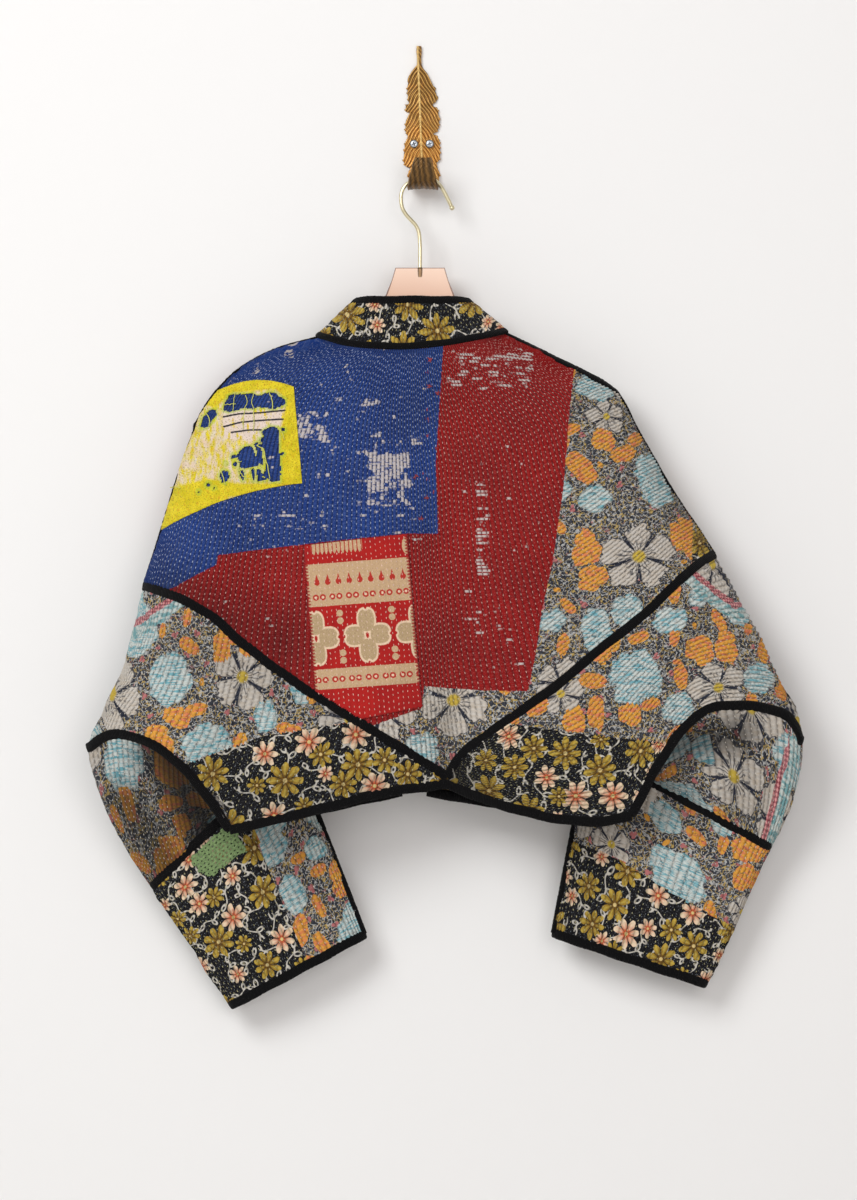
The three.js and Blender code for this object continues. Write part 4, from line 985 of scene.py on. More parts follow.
def beside_line(points, line):
    """How far to the left of a line, walked from its first corner, each point lies."""
    x, z = points[..., 0], points[..., 2]
    near, side = np.full(x.shape, np.inf), np.zeros(x.shape)
    for (x0, z0), (x1, z1) in zip(line, line[1:]):
        away = to_segment(x, z, x0, z0, x1, z1)
        turn = np.sign((x1 - x0) * (z - z0) - (z1 - z0) * (x - x0))
        side = np.where(away < near, turn, side)
        near = np.minimum(near, away)
    return near * side


GREY_KINDS = {
    # petals, notch, aspect, dye
    "cream": (5, 0.50, 0.92, srgb(206, 200, 192)), "aqua": (4, 0.16, 0.80, srgb(116, 176, 188)),
    "leaf": (2, 0.12, 0.60, srgb(226, 160, 62)), "tulip": (3, 0.36, 0.9, srgb(230, 166, 64)),
    "pink": (3, 0.85, 0.7, srgb(186, 112, 112)), "rosette": (5, 0.24, 0.9, srgb(122, 172, 182)),
}
STAR_KINDS = {
    "mustard": (8, 0.50, 1.0, srgb(182, 148, 54)), "peach": (7, 0.56, 1.0, srgb(238, 208, 176)),
}
GREY_FILL = (("cream", 38, 14), ("aqua", 34, 30), ("tulip", 23, 24), ("rosette", 21, 34),
             ("leaf", 14, 40))
STAR_FILL = (("mustard", 18.5, 24), ("peach", 15, 22), ("mustard", 11.5, 26), ("peach", 9.5, 34))
SPRIG_FILL = (("pink", 4.5, 44), ("leaf", 4.5, 16))
STAR_GAP, BLOOM_GAP, SPRIG_GAP = 1.1, 0.86, 1.9
CURL_TRIES = 1600
FAR_OFF, OUTSIDE = 1e5, -999.0


def scatter(flat, dark, placed, draw):
    """Flowers over a flat cloth: those listed first, then more where there is room."""
    made = [dict(p) for p in placed]
    spots = flat.reshape(-1, 2)
    is_dark = dark.reshape(-1) > 0

    def fill(kinds, table, pool, gap, layer):
        if not len(pool):
            return
        for kind, radius, tries in table:
            for _ in range(tries * 6):
                spot = pool[draw.integers(len(pool))]
                r = radius * draw.uniform(0.86, 1.14)
                own = [m for m in made if m["layer"] == layer]
                if all(math.dist(spot, m["at"]) > (r + m["radius"]) * gap for m in own):
                    made.append({"at": tuple(spot), "radius": r, "kind": kind, "kinds": kinds,
                                 "angle": draw.uniform(0, 2 * math.pi), "layer": layer})

    fill(STAR_KINDS, STAR_FILL, spots[is_dark], STAR_GAP, "star")
    fill(GREY_KINDS, GREY_FILL, spots[~is_dark], BLOOM_GAP, "bloom")
    fill(GREY_KINDS, SPRIG_FILL, spots[~is_dark], SPRIG_GAP, "sprig")
    curls = []
    stars = [m for m in made if m["layer"] == "star"]
    pool = spots[is_dark]
    for _ in range(CURL_TRIES if len(pool) else 0):
        spot = pool[draw.integers(len(pool))]
        r = draw.uniform(11.0, 17.0)
        clear = all(math.dist(spot, m["at"]) > m["radius"] * 0.62 + r * 0.36 for m in stars)
        if clear and all(math.dist(spot, c["at"]) > (r + c["radius"]) * 0.7 for c in curls):
            curls.append({"at": tuple(spot), "radius": r, "angle": draw.uniform(-3.1, 3.1),
                          "reach": draw.choice([-1.0, 1.0])})
    return made, curls


def nearest(centres, made, by_radius):
    """For each face, the number of the flower it belongs to."""
    best, who = np.full(len(centres), np.inf), np.zeros(len(centres), int)
    for k, m in enumerate(made):
        away = np.hypot(centres[:, 0] - m["at"][0], centres[:, 1] - m["at"][1])
        away = away / m["radius"] if by_radius else away
        closer = away < best
        best, who = np.where(closer, away, best), np.where(closer, k, who)
    return who


def store(mesh, name, kind, domain, values):
    """Writes one attribute on a mesh."""
    attribute = mesh.attributes.new(name, kind, domain)
    slot = {"FLOAT": "value", "FLOAT_VECTOR": "vector", "FLOAT_COLOR": "color"}[kind]
    attribute.data.foreach_set(slot, np.asarray(values, np.float32).ravel())


def print_flowers(mesh, centres, dark_faces, made, curls):
    """Writes each face's own flower, sprig and curl on the mesh."""
    nowhere = {"at": (FAR_OFF, FAR_OFF), "radius": 1.0, "angle": 0.0}
    tables = {}
    for layer in ("bloom", "star", "sprig"):
        group = [m for m in made if m["layer"] == layer]
        group = group or [nowhere | {"kind": "leaf", "kinds": GREY_KINDS}]
        who = nearest(centres, group, True)
        forms = [m["kinds"][m["kind"]] for m in group]
        tables[layer] = (
            np.array([(*m["at"], m["angle"]) for m in group])[who],
            np.array([(m["radius"], f[0] + f[1], f[2]) for m, f in zip(group, forms)])[who],
            np.array([(*f[3], 1) for f in forms])[who],
        )
    kinds = {"place": "FLOAT_VECTOR", "form": "FLOAT_VECTOR", "tint": "FLOAT_COLOR"}
    for k, (suffix, kind) in enumerate(kinds.items()):
        both = np.where(dark_faces[:, None], tables["star"][k], tables["bloom"][k])
        store(mesh, f"bloom_{suffix}", kind, "FACE", both)
        store(mesh, f"sprig_{suffix}", kind, "FACE", tables["sprig"][k])
    curls = curls or [nowhere | {"reach": 0.0}]
    who = nearest(centres, curls, False)
    places = np.array([(*c["at"], c["angle"]) for c in curls])[who]
    forms = np.array([(c["radius"], c["reach"], 0) for c in curls])[who]
    store(mesh, "curl_place", "FLOAT_VECTOR", "FACE", places)
    store(mesh, "curl_form", "FLOAT_VECTOR", "FACE", forms)


panels = {}


def quilted_panel(node, points, facing, place, slot, seed, tube=False, reverse=False,
                  cloths=None, worn=(), stripe=None, crosswise=None, placed=(), creases=None,
                  painted_shade=()):
    """One quilted panel as a closed shell, with its prints, on the solid of the same name."""
    down, across = points.shape[0] - 1, points.shape[1] - 1
    out = outward(points, facing, tube)
    flat = flat_tube(points, reverse) if tube else flat_body(points)
    x, z = points[..., 0], points[..., 2]
    row_u, row_v = np.meshgrid(np.arange(across + 1) / CELLS, np.arange(down + 1) / CELLS)

    lying = {"blue": [], "red": [], "dark": []} | (cloths or {})
    lies = {}
    for name in lying:
        lies[name] = np.full(x.shape, OUTSIDE)
        for shape in lying[name]:
            lies[name] = np.maximum(lies[name], inside_shape(points, shape))
    side_on = np.zeros(x.shape)
    if crosswise:
        side_on = np.clip(inside_shape(points, crosswise) / 6 + 0.5, 0, 1)
    rubbed = np.zeros(x.shape)
    for x0, z0, x1, z1, much in worn:
        shape = [(x0, z0), (x1, z0), (x1, z1), (x0, z1)]
        rubbed = np.maximum(rubbed, much * np.clip(inside_shape(points, shape) / 10 + 0.3, 0, 1))

    # Painted shade: how far the colour is darkened near each listed line in a fold or hollow.
    painted_shade_amount = np.zeros(x.shape)
    for x0, z0, x1, z1, wide, much in painted_shade:
        away = to_segment(x, z, x0, z0, x1, z1) / wide
        painted_shade_amount = np.maximum(painted_shade_amount, much * np.exp(-away * away))

    # Ridges between the rows, flattened where a seam holds the cloth down, and creases.
    edge_v = np.minimum(row_v, down / CELLS - row_v) * ROW
    edge_u = np.minimum(row_u, across / CELLS - row_u) * ROW
    free = np.clip((edge_v if tube else np.minimum(edge_u, edge_v)) / PUCKER_FADE, 0, 1)
    puff = RIDGE * (0.85 + 0.3 * wander(x, z, 60, seed))
    up_rows = np.abs(np.sin(np.pi * row_u)) * (1 - side_on)
    up_rows = up_rows + np.abs(np.sin(np.pi * row_v)) * side_on
    crinkle = 1 + 0.45 * side_on
    lift = puff * crinkle * up_rows * (0.35 + 0.65 * free)
    lift = lift + 0.5 * crinkle * wander(x, z, 9, seed + 3) * free
    lift = lift + (0.8 * wander(x, z, 34, seed + 1) + 1.0 * wander(x, z, 80, seed + 2)) * free
    for x0, z0, x1, z1, wide, rise in creases or CREASES[place]:
        away = to_segment(x, z, x0, z0, x1, z1) / wide
        lift = lift + rise * np.exp(-away * away) * free
    shown = points + out * lift[..., None]

    # The outer grid, a coarser inner one, and rims that close the shell.
    wrap = across if tube else across + 1
    numbers = numbered(down + 1, wrap)
    if tube:
        numbers = np.concatenate([numbers, numbers[:, :1]], 1)
    inner_i = np.unique(np.append(np.arange(0, across, INNER_COARSE), across))
    inner_j = np.unique(np.append(np.arange(0, down, INNER_COARSE), down))
    under = (points - out * CLOTH)[np.ix_(inner_j, inner_i)]
    under_wrap = len(inner_i) - 1 if tube else len(inner_i)
    inner_numbers = numbers.max() + 1 + numbered(len(inner_j), under_wrap)
    if tube:
        inner_numbers = np.concatenate([inner_numbers, inner_numbers[:, :1]], 1)
    vertices = [shown[:, :wrap].reshape(-1, 3), under[:, :under_wrap].reshape(-1, 3)]

    def cells(table, turned):
        a, b, c, d = corners_of(table)
        return np.stack([a, d, c, b] if turned else [a, b, c, d], -1).reshape(-1, 4)

    flip = facing < 0
    outer_faces = cells(numbers, flip)
    inner_faces = cells(inner_numbers, not flip)
    rims, rim_cells = [], []

    def rim(outer_line, inner_line, at_outer, closed_flip, cell_of):
        for k in range(len(at_outer) - 1):
            stretch = list(outer_line[at_outer[k] : at_outer[k + 1] + 1])
            face = stretch + [inner_line[k + 1], inner_line[k]]
            rims.append(face[::-1] if closed_flip else face)
            rim_cells.append(cell_of(k))

    rim(numbers[0], inner_numbers[0], inner_i, not flip, lambda k: (0, inner_i[k]))
    rim(numbers[-1], inner_numbers[-1], inner_i, flip, lambda k: (down, inner_i[k]))
    if not tube:
        rim(numbers[:, 0], inner_numbers[:, 0], inner_j, flip, lambda k: (inner_j[k], 0))
        far_edge = numbers[:, -1], inner_numbers[:, -1]
        rim(*far_edge, inner_j, not flip, lambda k: (inner_j[k], across))
    mesh = bpy.data.meshes.new(node)
    faces = outer_faces.tolist() + inner_faces.tolist() + rims
    mesh.from_pydata((np.concatenate(vertices) * MM).tolist(), [], faces)

    # Where each corner lies on the flat cloth and in the rows, so that a tube has no smear.
    def corner_values(grid):
        outer = np.stack(corners_of(grid), 2)
        inner = np.stack(corners_of(grid[np.ix_(inner_j, inner_i)]), 2)
        order = [0, 3, 2, 1]
        outer = outer[:, :, order] if flip else outer
        inner = inner[:, :, order] if not flip else inner
        rim_part = [np.repeat([grid[j, i]], len(face), 0) for (j, i), face in zip(rim_cells, rims)]
        return np.concatenate([outer.reshape(-1, 2), inner.reshape(-1, 2), *rim_part])

    for name, grid in (("flat", flat), ("rows", np.stack([row_u, row_v], -1))):
        layer = mesh.uv_layers.new(name=name)
        layer.data.foreach_set("uv", corner_values(grid).astype(np.float32).ravel())

    def vertex_values(grid):
        inner = grid[np.ix_(inner_j, inner_i)][:, :under_wrap]
        return np.concatenate([grid[:, :wrap].ravel(), inner.ravel()])

    stripe_at = beside_line(points, stripe) if stripe else np.full(x.shape, OUTSIDE)
    marks = {"worn": rubbed, "stripe": stripe_at, "crosswise": side_on, "painted_shade": painted_shade_amount}
    for name, grid in (lies | marks).items():
        store(mesh, name, "FLOAT", "POINT", vertex_values(grid))

    # Flowers: each outer cell, inner cell and rim belongs to one.
    def face_values(grid):
        outer = (grid[:-1, :-1] + grid[1:, 1:]) / 2
        coarse = grid[np.ix_(inner_j, inner_i)]
        inner = (coarse[:-1, :-1] + coarse[1:, 1:]) / 2
        tail = grid.shape[2:]
        rim_part = np.array([grid[j, i] for j, i in rim_cells]).reshape(-1, *tail)
        return np.concatenate([outer.reshape(-1, *tail), inner.reshape(-1, *tail), rim_part])

    seen = out[..., 1] < 0.2
    by_hand = []
    for kind, fx, fz, radius, angle in placed:
        away = (x - fx) ** 2 + (z - fz) ** 2 + np.where(seen, 0, 1e6)
        j, i = np.unravel_index(np.argmin(away), away.shape)
        star = kind in STAR_KINDS
        by_hand.append({
            "at": tuple(flat[j, i]), "radius": radius, "kind": kind, "angle": math.radians(angle),
            "kinds": STAR_KINDS if star else GREY_KINDS, "layer": "star" if star else "bloom",
        })
    made, curls = scatter(flat, lies["dark"], by_hand, np.random.default_rng(seed))
    print_flowers(mesh, face_values(flat), face_values(lies["dark"]) > 0, made, curls)

    smooth(mesh)
    panels[node] = {
        "piece": new_piece(node + "_cloth", mesh, quilt, slot, node), "shown": shown, "out": out,
        "side_on": side_on, "row_u": row_u, "row_v": row_v, "tube": tube, "shapes": lying,
    }


# ------------------------------------------------------------------ back
# The back is pieced from a blue cloth at the wearer's left shoulder, red cloths below and
# beside it, and a strip of the grey print down the right. Blue and red are worn through to
# white in streaks, and the red runs down to the slanting seams.
BLUE_BACK = [
    (25, -150), (24.9, -205), (21, -263.6), (16.5, -336), (18.9, -409.5), (-13.6, -409.5),
    (-98, -417.9), (-160.7, -425.3), (-211, -432), (-212.5, -442), (-235, -453.6), (-257, -466),
    (-360, -500), (-360, -150),
]
RED_BACK = [
    (-4, -150), (72, -150), (88, -185), (120, -205), (165, -232), (161.7, -236), (155.9, -288.8),
    (150, -361), (138.6, -439), (127, -491), (120.8, -535.5), (112.4, -574), (60, -573),
    (4.2, -569), (1, -592), (-106, -630), (-360, -640), (-360, -380), (-4, -380),
]
NIGHT_BACK = [(284.6, -385), (345, -385), (345, -450), (284, -450)]
GREY_BACK = [
    (165, -150), (161.7, -236), (155.9, -288.8), (150, -361), (138.6, -439), (127, -491),
    (120.8, -535.5), (112, -600), (420, -600), (420, -150),
]
WORN_BACK = [
    (-60, -388, -4, -322, 0.8), (-64, -280, -30, -266, 0.95), (-132, -315, -93, -279, 0.86),
    (-235, -440, -10, -175, 0.33), (-52, -324, 6, -300, 0.6), (-24, -262, 12, -254, 0.7),
    (-18, -233, 12, -226, 0.7), (-178, -410, -92, -378, 0.62), (-40, -420, 10, -388, 0.55),
    (-100, -250, -86, -222, 0.5), (-222, -440, -150, -412, 0.45), (28, -262, 122, -214, 0.66),
    (66, -233, 122, -217, 1.0), (26, -254, 44, -244, 1.0), (54, -460, 78, -352, 0.76),
    (30, -560, 130, -300, 0.3), (40, -520, 90, -462, 0.5), (-250, -560, -150, -470, 0.42),
    (60, -560, 110, -540, 0.5),
]
GREY_FLOWERS_BACK = [
    ("cream", 229, -434, 41, 20), ("aqua", 245, -352, 32, 70), ("aqua", 187, -254, 26, 10),
    ("tulip", 194, -310, 17, 200), ("leaf", 213, -325, 17, 20), ("leaf", 168, -340, 21, -40),
    ("leaf", 157, -299, 11, 20), ("leaf", 156, -240, 12, 60), ("aqua", 184, -373, 18, 0),
    ("rosette", 144, -365, 14, 0), ("tulip", 173, -426, 19, 100), ("tulip", 182, -455, 17, 10),
    ("aqua", 184, -510, 22, 80), ("leaf", 151, -524, 12, 70), ("rosette", 139, -500, 14, 0),
    ("leaf", 144, -402, 10, -30), ("cream", 157, -580, 28, 0), ("leaf", 156, -485, 10, -40),
    ("aqua", 268, -330, 22, 40), ("cream", 215, -275, 24, 30),
]
back_points = lay_out(back_cloth, 128, 90)
# The back has painted shade in the folds below the left arm and at the middle of the hem.
quilted_panel(
    "back", back_points, -1, "back", "patchwork", 11,
    cloths={"blue": [BLUE_BACK], "red": [RED_BACK], "dark": [NIGHT_BACK]},
    worn=WORN_BACK, crosswise=GREY_BACK, placed=GREY_FLOWERS_BACK,
    painted_shade=[(-290, -470, -150, -520, 40, 0.42), (-190, -470, -120, -540, 30, 0.22),
             (28, -660, 28, -600, 12, 0.3)],
)

# ------------------------------------------------------------------ fronts
# The two fronts meet at the centre without a fastening. They lie towards the wall, and are
# pieced from the same four cottons as the back.
FRONT_PLAN = {
    "left": {
        "red": [[(-330, -430), (-120, -400), (-110, -260), (-200, -230), (-330, -230)]],
        "blue": [[(-112, -262), (-8, -262), (0, -480), (-118, -470)]],
        "dark": [[(-330, -560), (-200, -520), (-90, -560), (0, -560), (0, -700), (-330, -700)]],
        "worn": [(-90, -430, -40, -330, 0.7), (-190, -360, -140, -300, 0.5)],
    },
    "right": {
        "red": [[(0, -262), (70, -262), (64, -470), (0, -470)]],
        "blue": [[(70, -480), (200, -500), (240, -620), (60, -620)]],
        "dark": [[(0, -560), (60, -545), (64, -700), (0, -700)]],
        "worn": [(90, -560, 150, -510, 0.7), (20, -400, 50, -320, 0.6)],
    },
}
for seed, side in enumerate(SIDES):
    plan = FRONT_PLAN[side]
    quilted_panel(
        f"front_{side}", lay_out(cut[side]["front"], 50, 86), cut[side]["hand"],
        "front", "patchwork", 31 + seed,
        cloths={k: plan[k] for k in ("blue", "red", "dark")}, worn=plan["worn"],
    )

# ------------------------------------------------------------------ side panels
# Each runs from the middle of the back round under the arm to the centre front, between
# the slanting seam and the hem: grey print above, and a strip of black print to the hem.
SIDE_PLAN = {
    "left": {
        "dark": [[(-400, -705), (-251, -652), (-163, -620.6), (-79, -607), (60, -598), (60, -800),
                  (-400, -800)]],
        "stripe": [(-252, -470), (-263, -479), (-300, -503), (-330, -520)],
        "flowers": [
            ("cream", -186, -558, 37, 75), ("leaf", -208, -530, 18, 95),
            ("leaf", -185, -505, 17, -20), ("tulip", -170, -516, 14, 40),
            ("aqua", -262, -561, 30, 65), ("leaf", -243, -498, 9, 80), ("leaf", -268, -510, 8, 70),
            ("leaf", -236, -594, 13, 20), ("tulip", -254, -602, 15, 160),
            ("aqua", -160, -600, 17, 80), ("aqua", -118, -558, 18, 85),
            ("leaf", -106, -574, 11, 60), ("tulip", -187, -628, 10, 70),
            ("leaf", -148, -520, 7, 0), ("aqua", -270, -495, 12, 0), ("peach", -163, -640, 14, 0),
            ("peach", -116, -626, 16, 10), ("peach", -66, -619, 16, 5),
            ("mustard", -140, -668, 19, 0), ("mustard", -102, -640, 14, 10),
            ("mustard", -66, -650, 18, 5), ("mustard", -38, -645, 14, 20),
            ("peach", -100, -660, 9, 0), ("mustard", -81, -671, 15, 12),
            ("mustard", -172, -672, 10, 0), ("peach", -48, -672, 16, 0),
            ("mustard", -14, -660, 15, 0),
        ],
    },
    "right": {
        "dark": [[(-30, -600), (82, -606), (158, -617), (254, -628), (300, -634), (430, -650),
                  (430, -800), (-30, -800)]],
        "stripe": [(360, -468), (330, -485), (300, -462), (283, -446)],
        "flowers": [
            ("aqua", 224, -562, 33, 60), ("aqua", 262, -500, 18, 30), ("leaf", 229, -518, 11, 25),
            ("leaf", 266, -517, 10, 80), ("tulip", 293, -532, 18, 60),
            ("tulip", 320, -528, 18, 90), ("cream", 312, -570, 32, 35),
            ("cream", 148, -575, 26, 20), ("tulip", 160, -604, 16, 90),
            ("leaf", 185, -596, 17, 100), ("leaf", 124, -590, 15, 40),
            ("tulip", 219, -598, 14, 60), ("leaf", 240, -588, 11, 10), ("aqua", 355, -560, 22, 0),
            ("leaf", 343, -510, 9, 60), ("aqua", 345, -480, 18, 20), ("leaf", 267, -543, 5, 0),
            ("rosette", 290, -475, 12, 0), ("mustard", 150, -640, 17, 0),
            ("mustard", 187, -657, 18, 12), ("mustard", 230, -638, 17, 8),
            ("peach", 248, -630, 11, 0), ("mustard", 118, -634, 14, 0),
            ("peach", 133, -664, 13, 0), ("peach", 164, -683, 17, 8), ("peach", 200, -683, 17, 0),
            ("mustard", 143, -684, 11, 0), ("peach", 246, -660, 10, 5),
            ("mustard", 100, -652, 14, 0), ("peach", 92, -622, 14, 0),
        ],
    },
}
SIDE_ACROSS = {"left": None, "right": [(-60, -400), (430, -400), (430, -760), (-60, -760)]}
# Painted shade in the folds of each side panel: x0, z0, x1, z1, half width, strength.
SIDE_PAINTED_SHADE = {
    "left": [(-60, -610, -250, -520, 34, 0.2), (-250, -690, 20, -690, 40, 0.26),
             (-200, -600, -230, -670, 24, 0.2)],
    "right": [(60, -690, 230, -710, 24, 0.12)],
}
for seed, side in enumerate(SIDES):
    plan = SIDE_PLAN[side]
    quilted_panel(
        f"side_{side}", lay_out(cut[side]["side"], 128, 31), -cut[side]["hand"],
        "side", "floral", 51 + seed,
        cloths={"dark": plan["dark"]}, stripe=plan["stripe"], placed=plan["flowers"],
        crosswise=SIDE_ACROSS[side], painted_shade=SIDE_PAINTED_SHADE[side],
    )

# ------------------------------------------------------------------ sleeves
# The upper part of each wide sleeve is a tube of the grey print, pieced with a strip of the
# black one. It is set into the armhole and sewn to the cuff below.
SLEEVE_SEAM_AT = 0.62
SLEEVE_PLAN = {
    "left": {
        "dark": [[(-120, -680), (-166, -701), (-208, -727), (-252, -760), (-300, -790),
                  (-300, -830), (-120, -830)]],
        "stripe": None,
        "flowers": [
            ("aqua", -310, -645, 24, 80), ("leaf", -305, -690, 14, 90),
            ("leaf", -316, -708, 9, 80), ("leaf", -250, -715, 15, 70),
            ("cream", -222, -680, 20, 0), ("leaf", -292, -755, 14, 30),
            ("peach", -240, -742, 14, 0), ("peach", -190, -722, 13, 0),
            ("mustard", -262, -760, 11, 0),
        ],
    },
    "right": {
        "dark": [],
        "stripe": [(384, -634), (371, -690), (358, -735)],
        "flowers": [
            ("aqua", 262, -640, 24, 30), ("cream", 328, -662, 34, 20), ("leaf", 278, -610, 14, 80),
            ("leaf", 240, -662, 11, 60), ("aqua", 300, -635, 18, 10), ("aqua", 215, -660, 14, 0),
        ],
    },
}
# Each sleeve falls in under the armhole in one deep hollow.
SLEEVE_CREASES = {
    "left": [(-262, -640, -222, -716, 24, -13), (-312, -660, -292, -742, 14, 3.0),
             (-330, -672, -322, -700, 8, 2.0),
             (-280, -690, -240, -752, 8, 1.6)],
    "right": [(268, -640, 300, -640, 22, -9), (330, -640, 350, -690, 12, 3.0),
              (375, -660, 360, -700, 8, -2.4),
              (300, -690, 330, -660, 9, 2.0)],
}
# Painted shade in the hollow under each armhole: x0, z0, x1, z1, half width, strength.
SLEEVE_PAINTED_SHADE = {
    "left": [(-268, -640, -226, -720, 36, 1.0), (-306, -690, -262, -762, 30, 0.8),
             (-336, -650, -316, -720, 20, 0.25)],
    "right": [(258, -634, 330, -620, 26, 0.84), (246, -668, 280, -684, 24, 0.5),
              (340, -640, 330, -700, 28, 0.2)],
}
for seed, side in enumerate(SIDES):
    plan = SLEEVE_PLAN[side]
    quilted_panel(
        f"sleeve_{side}", lay_out(cut[side]["sleeve"], 76, 29, SLEEVE_SEAM_AT),
        cut[side]["hand"], "sleeve", "floral", 71 + seed,
        tube=True, reverse=side == "left", cloths={"dark": plan["dark"]},
        stripe=plan["stripe"], placed=plan["flowers"], creases=SLEEVE_CREASES[side],
        painted_shade=SLEEVE_PAINTED_SHADE[side],
    )

# ------------------------------------------------------------------ cuffs
# Deep turned cuffs, tubes that narrow to the wrist: black print and grey print, joined on
# a slant. Their own seam lies inside the arm.
CUFF_PLAN = {
    "left": {
        "dark": [[(-185, -690), (-163, -752), (-136.5, -816), (-116.5, -864), (-100, -920),
                  (-420, -920), (-420, -640)]],
        "flowers": [
            ("aqua", -135, -790, 20, 110), ("leaf", -128, -750, 9, 0),
            ("aqua", -110, -740, 14, 40), ("leaf", -105, -800, 11, 80),
            ("leaf", -103, -840, 14, 70), ("leaf", -108, -762, 10, 0),
            ("mustard", -213, -838, 19, 0), ("mustard", -164, -786, 17, 10),
            ("peach", -196, -811, 15, 0), ("peach", -144, -835, 15, 12),
            ("mustard", -160, -862, 16, 0), ("peach", -232, -798, 13, 0),
            ("mustard", -217, -792, 11, 0), ("mustard", -122, -868, 11, 5),
            ("peach", -192, -872, 11, 0), ("mustard", -255, -815, 11, 0),
            ("peach", -248, -780, 14, 0), ("mustard", -183, -840, 10, 0),
        ],
    },
    "right": {
        "dark": [[(110, -695), (160.7, -732), (210, -752), (270, -790), (331.8, -824), (420, -872),
                  (420, -1000),
                  (100, -1000)]],
        "flowers": [
            ("aqua", 272, -768, 33, 30), ("leaf", 288, -727, 12, 20), ("leaf", 318, -737, 10, 80),
            ("tulip", 343, -771, 18, 60), ("aqua", 256, -705, 20, 10), ("leaf", 223, -775, 9, 60),
            ("cream", 200, -735, 24, 0), ("cream", 338, -806, 20, 0), ("aqua", 315, -715, 13, 0),
            ("mustard", 178, -778, 14, 0), ("mustard", 205, -800, 17, 10),
            ("mustard", 181, -820, 15, 0), ("peach", 217, -830, 16, 5),
            ("peach", 192, -838, 11, 0), ("mustard", 252, -855, 18, 0),
            ("mustard", 288, -843, 17, 8), ("peach", 241, -824, 11, 0),
            ("peach", 299, -880, 14, 0), ("mustard", 200, -862, 13, 0),
            ("mustard", 265, -826, 13, 0), ("peach", 160, -790, 9, 0),
        ],
    },
}
CUFF_SEAM_AT = 0.5
# Painted shade in the folds of each cuff: x0, z0, x1, z1, half width, strength.
CUFF_PAINTED_SHADE = {
    "left": [(-150, -740, -120, -780, 30, 0.3), (-240, -730, -170, -730, 24, 0.3)],
    "right": [(170, -700, 300, -700, 26, 0.35), (180, -760, 150, -820, 26, 0.2)],
}
for seed, side in enumerate(SIDES):
    plan = CUFF_PLAN[side]
    quilted_panel(
        f"cuff_{side}", lay_out(cut[side]["cuff"], 70, 34, CUFF_SEAM_AT),
        cut[side]["hand"], "cuff", "dark_floral", 91 + seed,
        tube=True, reverse=side == "left", cloths={"dark": plan["dark"]},
        placed=plan["flowers"], painted_shade=CUFF_PAINTED_SHADE[side],
    )

# ------------------------------------------------------------------ collar
# A low stand collar, a strip of the quilted black print. It is sewn round the neckline,
# leans in a little, and is open at the centre front.
ALL_NIGHT = [(-200, -100), (200, -100), (200, -300), (-200, -300)]
quilted_panel("collar", lay_out(collar_cloth, 86, 9), -1, "collar", "dark_floral", 111,
              cloths={"dark": [ALL_NIGHT]})

# ------------------------------------------------------------------ running stitches
# The layers are held together by rows of running stitch in thick pale cotton, about six
# millimetres from stitch to stitch, sewn by hand and so never quite even.
STITCH_STEP = 6.2
STITCH = (2.6, 0.95, 0.55)  # long, wide, high
THREAD_EDGE = 7.0


def thread_material(name):
    """Soft cotton thread, in the dye that each stitch carries."""
    vat = Vat(name)
    x, y, z = vat.place()
    fuzz = vat.noise(x * 0.9, z * 0.9, y * 0.9, detail=1.0)
    colour = vat.blend(fuzz.over(0.5, 0.6) * 0.3, vat.shade("thread"), srgb(150, 140, 132))
    return vat.finish(
        colour, fuzz, rough=0.9, distance=0.0002, strength=0.5, Specular_IOR_Level=0.2
    )


cotton_thread = thread_material("cotton_thread")
PALE, PINKISH, BLUISH, YELLOWISH = (
    srgb(226, 218, 206), srgb(232, 190, 178), srgb(186, 198, 226), srgb(206, 198, 148),
)


def running_stitches(line, normals, keep, draw, step=STITCH_STEP):
    """Places, directions and normals of the stitches along one row."""
    run = run_along(line)
    at = np.arange(draw.uniform(0, step), run[-1], step)
    if not len(at):
        return []
    at = at + draw.uniform(-0.7, 0.7, len(at))

    def read(grid, s):
        return np.stack([np.interp(s, run, grid[:, k]) for k in range(3)], -1)

    held = np.interp(at, run, keep.astype(float)) > 0.99
    ahead, behind = read(line, at + 0.6), read(line, at - 0.6)
    stitches = zip(read(line, at)[held], (ahead - behind)[held], read(normals, at)[held])
    return list(stitches)


def uneven_dye(dye, count, draw, least, most):
    """One dye for so many stitches, each a little lighter or darker."""
    return np.tile(dye, (count, 1)) * draw.uniform(least, most, (count, 1))


def sew(name, stitches, colours, draw, slot, size=STITCH):
    """One mesh of small pointed stitches, half sunk in the cloth."""
    p, d, n = (np.array(part) for part in zip(*stitches))
    d, side = unit(d), unit(np.cross(d, n))
    sway = draw.normal(0, 0.13, (len(p), 1))
    d, side = d + side * sway, side - d * sway
    long_, wide, high = (half * draw.uniform(0.8, 1.2, (len(p), 1)) / 2 for half in size)
    points = np.stack([
        p - d * long_, p + side * wide + n * 0.1, p + d * long_, p - side * wide + n * 0.1,
        p + n * high * 2, p - n * 0.5,
    ], 1)
    corners = np.array([
        (0, 1, 4), (1, 2, 4), (2, 3, 4), (3, 0, 4), (1, 0, 5), (2, 1, 5), (3, 2, 5), (0, 3, 5),
    ])
    faces = (np.arange(len(p))[:, None, None] * 6 + corners).reshape(-1, 3)
    mesh = bpy.data.meshes.new(name)
    mesh.from_pydata((points.reshape(-1, 3) * MM).tolist(), [], faces.tolist())
    dyes = np.concatenate([np.array(colours), np.ones((len(p), 1))], 1)
    store(mesh, "thread", "FLOAT_COLOR", "POINT", np.repeat(dyes, 6, 0))
    return new_piece(name, mesh, cotton_thread, slot)


